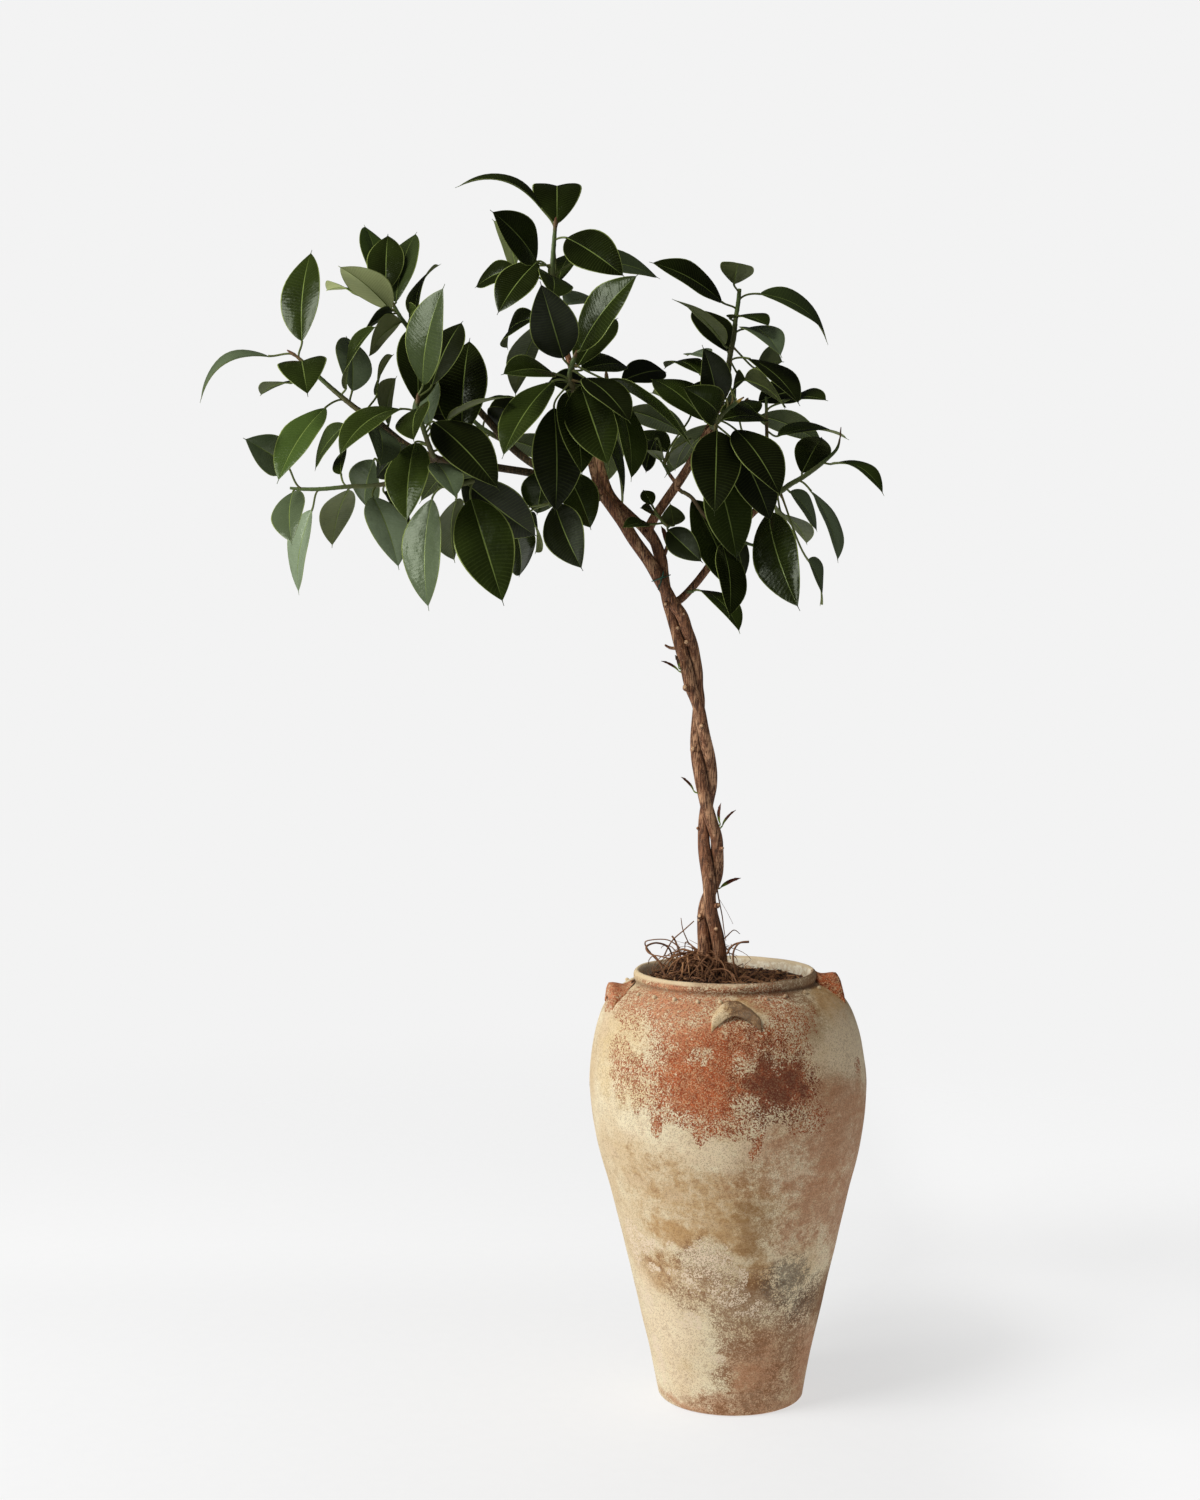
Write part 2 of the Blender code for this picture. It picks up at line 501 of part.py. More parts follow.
def leaf_form(line, place, row, shift=0.0, turn=0.0):
    """Where a leaf lies when its stalk springs from that point of the line.

    shift moves its tip along the eye's line of sight, and turn rolls it about its own axis.
    """
    root = line[place]
    along = (line[place + 1] - line[place - 1]).normalized()
    flat = (seen(*row.tip, root.y) - seen(*row.base, root.y)).length
    depth = row.to * math.sqrt(max(row.long ** 2 - flat ** 2, 0.0)) + shift
    stalk = (seen(*row.base, root.y) - root).length
    base = seen(*row.base, root.y + depth * min(STALK_DEPTH_SHARE, stalk / row.long))
    tip = seen(*row.tip, base.y + depth)
    axis = (tip - base).normalized()
    to_eye = (VIEWPOINT - base).normalized()
    facing = (to_eye - axis * to_eye.dot(axis)).normalized()
    upward = axis.cross(facing)
    if upward.z < 0.0:
        upward.negate()
    scale = (VIEWPOINT - base).length / VIEW_FOCAL
    width = max(BLADE_WIDTH_SHARE * row.long, row.wide * scale)
    roll = math.acos(min(1.0, row.wide * scale / width))
    if row.under:
        roll = math.pi - roll
    roll += turn
    face = facing * math.cos(roll) + upward * math.sin(roll)
    length = (tip - base).length
    middle = (base + tip) / 2 + face * (2.0 * row.arch * length)
    blade = (base, middle, tip)
    start = (middle - base).normalized()
    reach = (base - root).length
    if along.dot(base - root) < 0.0:
        along = (base - root).normalized()
    out = root + along * STALK_BEND * reach
    return Form((root, out, base - start * STALK_BEND * reach, base), blade, face, width)


def cross_frame(points, t, face):
    """A point on a curve with the side and up directions of a ring there."""
    centre, ahead = bezier(points, t)
    side = ahead.cross(face).normalized()
    return centre, side, side.cross(ahead)


def stalk_stations(form):
    """The shares of a stalk's length that have a ring, apart from its end."""
    short = (form.stalk[3] - form.stalk[0]).length < SHORT_STALK
    return STALK_STATIONS[:1] if short else STALK_STATIONS


def leaf_rings(form, radius=STALK_RADIUS, thickness=BLADE_THICKNESS, room=0.0, skip=0):
    """Four-point rings along a leaf: its stalk, then its folded blade. The tip comes last."""
    rings = []
    side = bezier(form.blade, 0.0)[1].cross(form.face)
    for t in reversed(stalk_stations(form)[skip:] + [1.0]):
        centre, ahead = bezier(form.stalk, t)
        side = (side - ahead * side.dot(ahead)).normalized()
        up = side.cross(ahead)
        size = radius + room
        rings.insert(0, [centre - side * size, centre + up * size,
                         centre + side * size, centre - up * size])
    for u in BLADE_STATIONS:
        centre, side, up = cross_frame(form.blade, u, form.face)
        half = half_width(u, form.width)
        lift = up * BLADE_FOLD * half
        rise = up * (thickness / 2 + room)
        half += room
        rings.append([centre - side * half + lift, centre + rise,
                      centre + side * half + lift, centre - rise])
    return rings, form.blade[2]


def skin(rings, tip=None):
    """Points and faces of a closed loft, each side split from its edge line to its middle line."""
    sides = len(rings[0])
    points = [point for ring in rings for point in ring]
    faces = [tuple(range(sides))]
    for i in range(len(rings) - 1):
        for j in range(sides):
            a, b = i * sides + j, i * sides + (j + 1) % sides
            c, d = b + sides, a + sides
            faces += [(a, b, c), (a, c, d)] if j % 2 == 0 else [(a, b, d), (b, c, d)]
    last = (len(rings) - 1) * sides
    if tip is None:
        faces.append(tuple(last + j for j in reversed(range(sides))))
    else:
        points.append(tip)
        faces += [(last + j, last + (j + 1) % sides, len(points) - 1) for j in range(sides)]
    return points, faces


def tube_rings(path, sides=8):
    """Round rings along a path of points and radii."""
    points = [point for point, _ in path]
    rings = []
    for i, (centre, radius) in enumerate(path):
        ahead = (points[min(i + 1, len(points) - 1)] - points[max(i - 1, 0)]).normalized()
        side = ahead.cross(Vector((0.31, 0.95, 0.0))).normalized()
        up = side.cross(ahead)
        rings.append([centre + (side * math.cos(a) + up * math.sin(a)) * radius
                      for a in (2 * math.pi * k / sides for k in range(sides))])
    return rings


Body = namedtuple("Body", "low high tree")


def body(rings, tip=None):
    """A test body: its box and its search tree."""
    points, faces = skin(rings, tip)
    low = [min(p[k] for p in points) for k in range(3)]
    high = [max(p[k] for p in points) for k in range(3)]
    return Body(low, high, BVHTree.FromPolygons(points, faces))


def touch(one, other):
    """Whether the surfaces of two test bodies cross."""
    apart = any(one.low[k] > other.high[k] or other.low[k] > one.high[k] for k in range(3))
    return not apart and bool(one.tree.overlap(other.tree))


def tries():
    """The small moves that a leaf may make to lie clear, the smallest first."""
    yield 0.0, 0.0
    for step in range(1, DEPTH_STEPS + 1):
        for turn in TURN_STEPS:
            for way in (-1, 1):
                yield way * step * DEPTH_STEP, math.radians(turn)


def clear_forms(shoots, wood):
    """The form of every leaf, each moved a little in depth or roll until it crosses nothing."""
    forms, placed = {}, []
    for name, (line, stem, rows) in shoots.items():
        others = wood + [body(tube_rings(other[1])) for key, other in shoots.items() if key != name]
        own = body(tube_rings(stem))
        forms[name] = []
        taken = set()
        for row in rows:
            place = leaf_place(line, row, taken)
            for shift, turn in tries():
                form = leaf_form(line, place, row, shift, turn)
                stretch = (form.blade[2] - form.blade[0]).length
                if stretch > max(MOST_STRETCH * row.long, LEAST_STRETCH):
                    continue
                whole = body(*leaf_rings(form, room=ROOM))
                outer = body(*leaf_rings(form, room=ROOM, skip=1))
                blade = body(*blade_only(form))
                if (not touch(blade, own) and not any(touch(whole, other) for other in others)
                        and not any(touch(outer if key == name else whole,
                                          last_outer if key == name else last_whole)
                                    for key, last_whole, last_outer in placed)):
                    placed.append((name, whole, outer))
                    forms[name].append(form)
                    taken.add(place)
                    break
            else:
                raise ValueError(f"no clear place for a leaf of {name}: {row}")
    return forms


def blade_only(form):
    """The rings of a leaf's blade without its stalk."""
    rings, tip = leaf_rings(form, room=ROOM)
    return rings[len(stalk_stations(form)) + 1:], tip


def back_rows(name):
    """The leaves of a shoot behind the crown, round its stem by the golden angle."""
    stem = SHOOT_STEMS[name]
    rows = []
    for i in range(BACK_LEAVES):
        share = i / (BACK_LEAVES - 1)
        across, down = [stem[0][k] + (stem[2][k] - stem[0][k]) * share for k in range(2)]
        angle = BACK_START + i * GOLDEN_ANGLE
        out = Vector((math.cos(angle), BACK_HANG - math.sin(angle)))
        base = (across + BACK_STALK[0] * out.x, down + BACK_STALK[1] * out.y)
        tip = (base[0] + BACK_REACH[0] * out.x, base[1] + BACK_REACH[1] * out.y)
        away = i % 3 > 0
        rows.append(leaf(base, tip, BACK_WIDE, BACK_LENGTH, to=1 if away else -1,
                         under=away and out.y > BACK_HANG))
    return rows


def link(obj, collection):
    """Moves an object into the given collection only."""
    for home in list(obj.users_collection):
        home.objects.unlink(obj)
    collection.objects.link(obj)
    return obj


def face_outwards(work):
    """Turns a closed mesh's faces to point out of it."""
    bmesh.ops.recalc_face_normals(work, faces=work.faces)
    if work.calc_volume(signed=True) < 0.0:
        bmesh.ops.reverse_faces(work, faces=work.faces)


def mesh_object(name, points, faces, collection):
    """A new object from points and faces, with its faces turned outwards."""
    mesh = bpy.data.meshes.new(name)
    mesh.from_pydata([tuple(point) for point in points], [], faces)
    work = bmesh.new()
    work.from_mesh(mesh)
    face_outwards(work)
    work.to_mesh(mesh)
    work.free()
    return link(bpy.data.objects.new(name, mesh), collection)


def baked(obj, name, collection):
    """A mesh object from an object as it stands with its modifiers or bevel, which it replaces."""
    graph = bpy.context.evaluated_depsgraph_get()
    mesh = bpy.data.meshes.new_from_object(obj.evaluated_get(graph))
    work = bmesh.new()
    work.from_mesh(mesh)
    bmesh.ops.remove_doubles(work, verts=work.verts, dist=SLIVER)
    face_outwards(work)
    work.to_mesh(mesh)
    work.free()
    mesh.name = name
    result = link(bpy.data.objects.new(name, mesh), collection)
    result.matrix_world = obj.matrix_world.copy()
    bpy.data.objects.remove(obj)
    return result


def tube(name, path, collection, resolution=2, cyclic=False):
    """A round tube along a path of points and radii, as a closed mesh."""
    curve = bpy.data.curves.new(name, "CURVE")
    curve.dimensions = "3D"
    curve.bevel_depth = 1.0
    curve.bevel_resolution = resolution
    curve.use_fill_caps = not cyclic
    spline = curve.splines.new("POLY")
    spline.points.add(len(path) - 1)
    for point, (place, radius) in zip(spline.points, path):
        point.co = (*place, 1.0)
        point.radius = radius
    spline.use_cyclic_u = cyclic
    drawn = link(bpy.data.objects.new(name + "_curve", curve), collection)
    return baked(drawn, name, collection)


def turned(name, profile, steps, collection):
    """A turned solid from a profile that runs down its outer side."""
    mesh = bpy.data.meshes.new(name)
    rows = [(radius, 0.0, height) for radius, height in profile]
    mesh.from_pydata(rows, [(i, i + 1) for i in range(len(rows) - 1)], [])
    obj = link(bpy.data.objects.new(name + "_profile", mesh), collection)
    screw = obj.modifiers.new("turn", "SCREW")
    screw.axis = "Z"
    screw.angle = 2 * math.pi
    screw.steps = steps
    screw.render_steps = steps
    screw.use_merge_vertices = True
    screw.merge_threshold = SLIVER
    screw.use_normal_calculate = True
    return baked(obj, name, collection)


def drop_scraps(work):
    """Leaves only the largest body of a mesh, without the slivers and hollows of a union."""
    left, bodies = set(work.verts), []
    while left:
        found = [left.pop()]
        for vertex in found:
            near = {edge.other_vert(vertex) for edge in vertex.link_edges} & left
            left -= near
            found += near
        bodies.append(found)
    for scrap in sorted(bodies, key=len)[:-1]:
        if len(scrap) > SCRAP_POINTS:
            raise ValueError("a piece lies apart from what it should be joined to")
        bmesh.ops.delete(work, geom=scrap, context="VERTS")


def fuse(target, pieces, solver="EXACT"):
    """Joins the pieces to the target by one union, and removes them."""
    group = bpy.data.collections.new(target.name + "_pieces")
    bpy.context.scene.collection.children.link(group)
    for piece in pieces:
        link(piece, group)
    union = target.modifiers.new("union", "BOOLEAN")
    union.operation = "UNION"
    union.operand_type = "COLLECTION"
    union.collection = group
    union.solver = solver
    graph = bpy.context.evaluated_depsgraph_get()
    mesh = bpy.data.meshes.new_from_object(target.evaluated_get(graph))
    work = bmesh.new()
    work.from_mesh(mesh)
    bmesh.ops.triangulate(work, faces=work.faces)
    bmesh.ops.remove_doubles(work, verts=work.verts, dist=SLIVER)
    bmesh.ops.dissolve_degenerate(work, edges=work.edges, dist=SLIVER)
    drop_scraps(work)
    work.to_mesh(mesh)
    work.free()
    mesh.name = target.name
    target.modifiers.clear()
    target.data = mesh
    for piece in list(group.objects):
        bpy.data.objects.remove(piece)
    bpy.data.collections.remove(group)
    return target


def paint(obj, name, colour, roughness):
    """Gives an object one plain material."""
    material = bpy.data.materials.new(name)
    material.use_nodes = True
    shader = material.node_tree.nodes["Principled BSDF"]
    shader.inputs["Base Color"].default_value = (*colour, 1.0)
    shader.inputs["Roughness"].default_value = roughness
    shader.inputs["Metallic"].default_value = 0.0
    obj.data.materials.clear()
    obj.data.materials.append(material)


def jar_radius(height):
    """The jar's outside radius at a height below its neck."""
    for (r_high, z_high), (r_low, z_low) in zip(JAR_OUTSIDE, JAR_OUTSIDE[1:]):
        if z_low <= height <= z_high:
            return r_low + (r_high - r_low) * (height - z_low) / (z_high - z_low)
    raise ValueError("no jar wall at that height")


def inside_profile(gap):
    """The jar's inside from under the lip down to its floor's edge, drawn in by a gap."""
    rows = [(jar_radius(z) - JAR_WALL - gap, z - gap if z > JAR_WIDEST else z)
            for z in JAR_INSIDE_HEIGHTS]
    rows[0] = (MOUTH_RADIUS - gap, JAR_INSIDE_HEIGHTS[0] - gap)
    floor = jar_radius(JAR_FLOOR) - JAR_WALL - gap
    return rows + [(floor, JAR_FLOOR + gap)]


def make_lug(angle, collection):
    """One ear lug: a pinched ledge of clay whose ends sweep down into the shoulder."""
    rings = []
    for i in range(LUG_STATIONS):
        s = 2.0 * i / (LUG_STATIONS - 1) - 1.0
        swell = math.cos(0.5 * math.pi * s) ** 1.3
        height = LUG_FOOT_HEIGHT + (LUG_CREST_HEIGHT - LUG_FOOT_HEIGHT) * (1.0 - s * s)
        wall = jar_radius(height)
        outer = wall + LUG_FOOT_REACH + (LUG_REACH - LUG_FOOT_REACH) * swell
        inner = wall - LUG_SUNK
        half = (outer - inner) / 2
        turn = angle + s * LUG_HALF_SPAN
        out = Vector((math.cos(turn), math.sin(turn), 0.0))
        centre = out * (outer + inner) / 2 + Vector((0, 0, height))
        thick = LUG_HALF_THICKNESS * (1.0 - 0.35 * s * s)
        rings.append([centre + out * half * math.cos(a) + Vector((0, 0, thick * math.sin(a)))
                      for a in (2 * math.pi * k / LUG_SIDES for k in range(LUG_SIDES))])
    points, faces = skin(rings)
    return mesh_object("lug", points, faces, collection)


def make_jar(collection):
    """The fired jar: its turned wall with the lugs and studs pressed on."""
    lip_middle = (MOUTH_RADIUS + LIP_RADIUS) / 2
    lip_half = (LIP_RADIUS - MOUTH_RADIUS) / 2
    crown = JAR_HEIGHT - lip_half
    lip = [(lip_middle + lip_half * math.cos(a), crown + lip_half * math.sin(a))
           for a in (math.pi * k / LIP_STEPS for k in range(LIP_STEPS, -1, -1))]
    inside = [(0.0, JAR_FLOOR)] + inside_profile(0.0)[::-1]
    profile = inside + lip + [(LIP_RADIUS, JAR_HEIGHT - LIP_HEIGHT)] + JAR_OUTSIDE
    profile += [(FOOT_RADIUS, 0.0), (0.0, 0.0)]
    jar = turned("jar", profile, JAR_SIDES, collection)
    extras = [make_lug(2 * math.pi * k / LUG_COUNT, collection) for k in range(LUG_COUNT)]
    lug_step = 2 * math.pi / LUG_COUNT
    for k in range(STUD_COUNT):
        angle = 2 * math.pi * (k + 0.5) / STUD_COUNT
        off = (angle + lug_step / 2) % lug_step - lug_step / 2
        if abs(off) > STUD_CLEAR_OF_LUG:
            extras.append(make_stud(angle, collection))
    fuse(jar, extras)
    paint(jar, "fired_clay", (0.62, 0.45, 0.27), 0.85)
    return jar


def make_stud(angle, collection):
    """One small pressed stud on the neck."""
    work = bmesh.new()
    place = Matrix.Translation((STUD_RING_RADIUS * math.cos(angle),
                                STUD_RING_RADIUS * math.sin(angle), STUD_RING_HEIGHT))
    bmesh.ops.create_icosphere(work, subdivisions=1, radius=STUD_RADIUS, matrix=place)
    mesh = bpy.data.meshes.new("stud")
    work.to_mesh(mesh)
    work.free()
    return link(bpy.data.objects.new("stud", mesh), collection)


def soil_height(x, y):
    """How high the soil stands above its level at a place."""
    heap = math.hypot(x - HEAP_PLACE[0], y - HEAP_PLACE[1]) / HEAP_RADIUS
    crumbs = noise.noise(Vector((x, y, 0.0)) * CRUMBS_PER_METRE)
    return HEAP_HEIGHT * math.exp(-heap * heap) + CRUMB_HEIGHT * crumbs


def root_paths():
    """The roots that lie on the soil, by a rule, and those that arch clear of it."""
    draw = random.Random(ROOT_SEED)
    paths = []
    for i in range(SURFACE_ROOTS):
        start = 2 * math.pi * (i + draw.random()) / SURFACE_ROOTS
        bend = draw.uniform(-ROOT_BEND, ROOT_BEND)
        far = draw.uniform(*ROOT_ENDS)
        path = []
        for k in range(ROOT_POINTS):
            share = k / (ROOT_POINTS - 1)
            radius = ROOT_START + (far - ROOT_START) * share
            angle = start + bend * share
            x, y = radius * math.cos(angle), radius * math.sin(angle)
            sink = ROOT_SINK * (2 * share - 1) ** 2
            height = SOIL_LEVEL + soil_height(x, y) + ROOT_RADIUS / 2 - sink
            path.append((Vector((x, y, height)), ROOT_RADIUS * (1.15 - 0.5 * share)))
        paths.append(path)
    return paths + [seen_path(rows) for rows in FREE_ROOTS]


def make_soil(collection, cutters):
    """The soil that fills the jar, with its heap, crumbs and roots, and a hole for each stem."""
    edge = MOUTH_RADIUS - GAP
    top = [(0.0, SOIL_LEVEL)] + [(radius, SOIL_LEVEL) for radius in SOIL_RINGS]
    profile = top + [(edge - SOIL_EDGE[0], SOIL_LEVEL), (edge, SOIL_LEVEL - SOIL_EDGE[1])]
    profile += inside_profile(GAP) + [(0.0, JAR_FLOOR + GAP)]
    soil = turned("soil", profile, JAR_SIDES, collection)
    for vertex in soil.data.vertices:
        x, y, z = vertex.co
        if z > SOIL_LEVEL - MILLI:
            fade = min(1.0, (edge - math.hypot(x, y)) / SOIL_FADE)
            vertex.co.z += soil_height(x, y) * fade
    roots = [tube("root", path, collection, resolution=0) for path in root_paths()]
    fuse(soil, roots, "MANIFOLD")
    for rows in (STEM_A, STEM_B):
        place, radius = seen_path(rows)[0]
        wide = (radius + GAP) / math.cos(math.pi / HOLE_SIDES)
        low = HOLE_BOTTOM - GAP
        bpy.ops.mesh.primitive_cylinder_add(vertices=HOLE_SIDES, radius=wide, depth=HOLE_HEIGHT,
                                            location=(place.x, place.y, low + HOLE_HEIGHT / 2))
        cutter = link(bpy.context.object, cutters)
        cutter.name = "stem_hole"
        cutter.hide_render = True
        cutter.display_type = "WIRE"
        cut = soil.modifiers.new("hole", "BOOLEAN")
        cut.operation = "DIFFERENCE"
        cut.solver = "EXACT"
        cut.object = cutter
    paint(soil, "potting_soil", (0.045, 0.028, 0.018), 0.95)
    return soil


def wooden_path(rows):
    """A woody path with its last few millimetres straight, so that its end is square."""
    path = seen_path(rows)
    end, along = wood_end(rows)
    return path[:-1] + [(end - along * SQUARE_END, path[-1][1]), path[-1]]


def make_stem(name, rows, branches, stubs, sprouts, collection):
    """One woody stem from its foot in the soil, with its branches, stubs and side sprouts."""
    path = seen_path(rows)
    place, radius = path[0]
    foot = [(Vector((place.x, place.y, HOLE_BOTTOM)), radius),
            (Vector((place.x, place.y, place.z - FOOT_STRAIGHT)), radius)]
    stem = tube(name, foot + path, collection)
    pieces = [tube("branch", wooden_path(branch), collection, resolution=1)
              for branch in branches.values()]
    pieces += [tube("stub", seen_path(stub), collection, resolution=1) for stub in stubs]
    line = smooth([point for point, _ in path], 4)
    for row in sprouts:
        form = leaf_form(line, leaf_place(line, row, set()), row)
        rings, tip = leaf_rings(form, STALK_RADIUS * SPROUT_SCALE, BLADE_THICKNESS * SPROUT_SCALE)
        points, faces = skin(rings, tip)
        pieces.append(mesh_object("sprout", points, faces, collection))
    fuse(stem, pieces)
    paint(stem, "bark", (0.20, 0.115, 0.07), 0.8)
    return stem


def shoot_path(name, wood):
    """The points and radii of a shoot's green stem, from its seat to its bud."""
    seat, along = wood_end(wood)
    rows = seen_path(SHOOT_STEMS[name])
    width = rows[0][1]
    start = seat + along * GAP
    return [(start, width), (start + along * SEAT_LENGTH, width)] + rows


def make_shoot(name, path, forms, collection):
    """One leafy shoot: its green stem and bud with every stalk and blade grown into it."""
    stem = tube(name, path, collection, resolution=1)
    pieces = []
    for form in forms:
        points, faces = skin(*leaf_rings(form))
        pieces.append(mesh_object("leaf", points, faces, collection))
    fuse(stem, pieces, "MANIFOLD")
    paint(stem, name, (0.028, 0.055, 0.012), 0.35)
    return stem


def make_tie(collection):
    """The green tie: a loop round both stems with two short tails."""
    spots = []
    height = seen(*TIE_PLACE, 0).z
    for rows in (STEM_A, STEM_B):
        line = smooth([point for point, _ in seen_path(rows)], 8)
        spot = min(range(1, len(line) - 1), key=lambda i: abs(line[i].z - height))
        spots.append((line[spot], (line[spot + 1] - line[spot - 1]).normalized()))
    (first, along_a), (second, along_b) = spots
    along = (along_a + along_b).normalized()
    across = second - first
    across -= along * across.dot(along)
    half = across.length / 2
    across.normalize()
    over = along.cross(across)
    middle = (first + second) / 2
    reach = TIE_ROOM + TIE_RADIUS
    path = []
    for k in range(TIE_POINTS):
        angle = 2 * math.pi * (k + 0.5) / TIE_POINTS
        push = math.copysign(half, math.cos(angle))
        path.append((middle + across * (push + reach * math.cos(angle))
                     + over * reach * math.sin(angle), TIE_RADIUS))
    tie = tube("tie", path, collection, resolution=0, cyclic=True)
    knot = path[TIE_POINTS // 4][0]
    out = (knot - middle).normalized()
    tails = []
    for lean in TIE_TAIL_LEANS:
        mid = knot + out * TIE_TAIL * 0.35 + along * TIE_TAIL * lean * 0.5
        end = knot + out * TIE_TAIL * 0.6 + along * TIE_TAIL * lean
        tails.append(tube("tail", [(knot - out * TIE_RADIUS / 3, TIE_RADIUS), (mid, TIE_RADIUS),
                                   (end, TIE_RADIUS)], collection, resolution=0))
    fuse(tie, tails)
    paint(tie, "plant_tie", (0.02, 0.20, 0.14), 0.5)
    return tie


def main():
    """Builds every piece of the plant and its jar."""
    for obj in list(bpy.data.objects):
        bpy.data.objects.remove(obj)
    scene = bpy.context.scene
    plant = bpy.data.collections.new("potted_rubber_plant")
    cutters = bpy.data.collections.new("cutters")
    scene.collection.children.link(plant)
    scene.collection.children.link(cutters)

    make_jar(plant)
    make_soil(plant, cutters)
    make_stem("stem_a", STEM_A, BRANCHES_A, STUBS_A, SPROUTS_A, plant)
    make_stem("stem_b", STEM_B, BRANCHES_B, STUBS_B, SPROUTS_B, plant)
    make_tie(plant)

    branches = {**BRANCHES_A, **BRANCHES_B}
    rows = {**LEAVES, **{name: back_rows(name) for name in BACK_SHOOTS}}
    shoots = {name: (stem_line(name, branches[name]), shoot_path(name, branches[name]), rows[name])
              for name in rows}
    wooden = [STEM_A, STEM_B, *STUBS_A, *STUBS_B]
    wood = [body(tube_rings(seen_path(path))) for path in wooden]
    wood += [body(tube_rings(wooden_path(branch))) for branch in branches.values()]
    forms = clear_forms(shoots, wood)
    for name, (_, path, _) in shoots.items():
        make_shoot(name, path, forms[name], plant)


main()
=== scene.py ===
"""The looks of a potted rubber plant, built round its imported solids.

The tables and the rule that places the leaves are the same as in the model's source, so that every
fine blade lies where its solid does. Metres, +Z up, and the front is towards -Y.
"""
import math
import random
from collections import namedtuple

import bpy
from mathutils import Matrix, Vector, noise
from mathutils.bvhtree import BVHTree


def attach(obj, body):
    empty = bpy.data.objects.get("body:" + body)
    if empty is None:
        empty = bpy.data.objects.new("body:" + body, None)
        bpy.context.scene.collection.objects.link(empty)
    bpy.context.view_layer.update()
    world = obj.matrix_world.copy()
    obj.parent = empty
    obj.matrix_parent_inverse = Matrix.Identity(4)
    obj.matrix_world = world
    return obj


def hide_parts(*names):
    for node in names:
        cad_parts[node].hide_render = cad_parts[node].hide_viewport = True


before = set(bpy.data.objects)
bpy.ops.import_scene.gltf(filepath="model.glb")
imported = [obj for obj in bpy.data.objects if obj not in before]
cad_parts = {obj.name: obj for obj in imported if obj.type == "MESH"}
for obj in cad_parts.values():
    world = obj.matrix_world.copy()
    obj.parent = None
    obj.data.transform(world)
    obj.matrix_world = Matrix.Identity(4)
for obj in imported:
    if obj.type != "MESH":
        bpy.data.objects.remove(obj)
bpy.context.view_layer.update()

GAP = 0.0003                      # running gap between two pieces that touch
MILLI = 0.001
# The jar
JAR_HEIGHT = 0.700
JAR_WALL = 0.014
JAR_FLOOR = 0.022                 # thickness of the bottom
MOUTH_RADIUS = 0.138
LIP_RADIUS = 0.151
FOOT_RADIUS = 0.115               # of the flat that the jar stands on
JAR_INSIDE_HEIGHTS = [0.672, 0.645, 0.590, 0.500, 0.330]    # from the neck down
STUD_RADIUS = 0.0036
# The soil
SOIL_LEVEL = 0.683
HEAP_PLACE = (-0.060, 0.004)      # middle of the heap of roots, left of the stems
HEAP_HEIGHT = 0.030
HEAP_RADIUS = 0.052
CRUMB_HEIGHT = 0.0035
CRUMBS_PER_METRE = 55.0
SOIL_FADE = 0.020                 # the crumbs and heap fade out over this width at the edge
HOLE_BOTTOM = 0.610
SURFACE_ROOTS = 6
ROOT_RADIUS = 0.0016
ROOT_POINTS = 6
ROOT_START = 0.045                # how far from the jar's axis the surface roots start
ROOT_ENDS = (0.085, 0.115)        # and end
ROOT_BEND = 0.9                   # how far one turns round the axis at most, in radians
ROOT_SINK = 0.004                 # how deep its ends go
ROOT_SEED = 7
# The front view. A point of the plant is given by where the eye sees it, across and down in a
# picture 1200 wide and 1500 high, and by its depth behind the jar's axis.
VIEWPOINT = Vector((-0.215, -3.700, 1.300))
VIEW_TILT = math.radians(3.72)
VIEW_CENTRE = (600.0, 750.0)
VIEW_FOCAL = 2290.0
# Leaves
BLADE_THICKNESS = 0.0016          # at the midrib
BLADE_WIDTH_SHARE = 0.47          # of the blade's length
BLADE_STATIONS = [0.13, 0.44, 0.79]
BLADE_FOLD = 0.16                 # rise of the edges per metre of half width
DRIP_TIP = 0.0024
STALK_RADIUS = 0.0020
STALK_STATIONS = [0.0, 0.55]
SHORT_STALK = 0.018               # a stalk shorter than this has no ring between its ends
ROOM = 0.0011                     # room kept round each blade on either side
SEAT_CLEAR = 0.009                # the first stalk leaves a shoot this far above its seat
SEAT_LENGTH = 0.004               # a shoot runs straight for this length from its seat
STALK_BEND = 0.35                 # of a stalk's reach, before it turns at either end
STALK_DEPTH_SHARE = 0.4           # the most of a leaf's depth that its stalk takes up
DEPTH_STEP = 0.009                # a leaf that would cross another moves by this much in depth
DEPTH_STEPS = 14
TURN_STEPS = (0, 14, -14, 28, -28, 42)    # and rolls by these degrees
MOST_STRETCH = 1.3                # of a leaf's own length, when it is moved
LEAST_STRETCH = 0.11
TUBE_SIDE = Vector((0.31, 0.95, 0.0))    # a tube's first ring starts on about this side

Leaf = namedtuple("Leaf", "base tip wide long to under arch")
Form = namedtuple("Form", "stalk blade face width")


def leaf(base, tip, wide, long, to=0, under=False, arch=0.07):
    """One leaf as the front view shows it.

    base and tip are the blade's ends and wide is its width there, all in the picture's units. long
    is its real length in metres. to is -1 where it comes towards the eye and 1 where it goes away.
    under says that its underside is seen, and arch is the rise of its middle per metre of length.
    """
    return Leaf(base, tip, wide, long, to, under, arch)


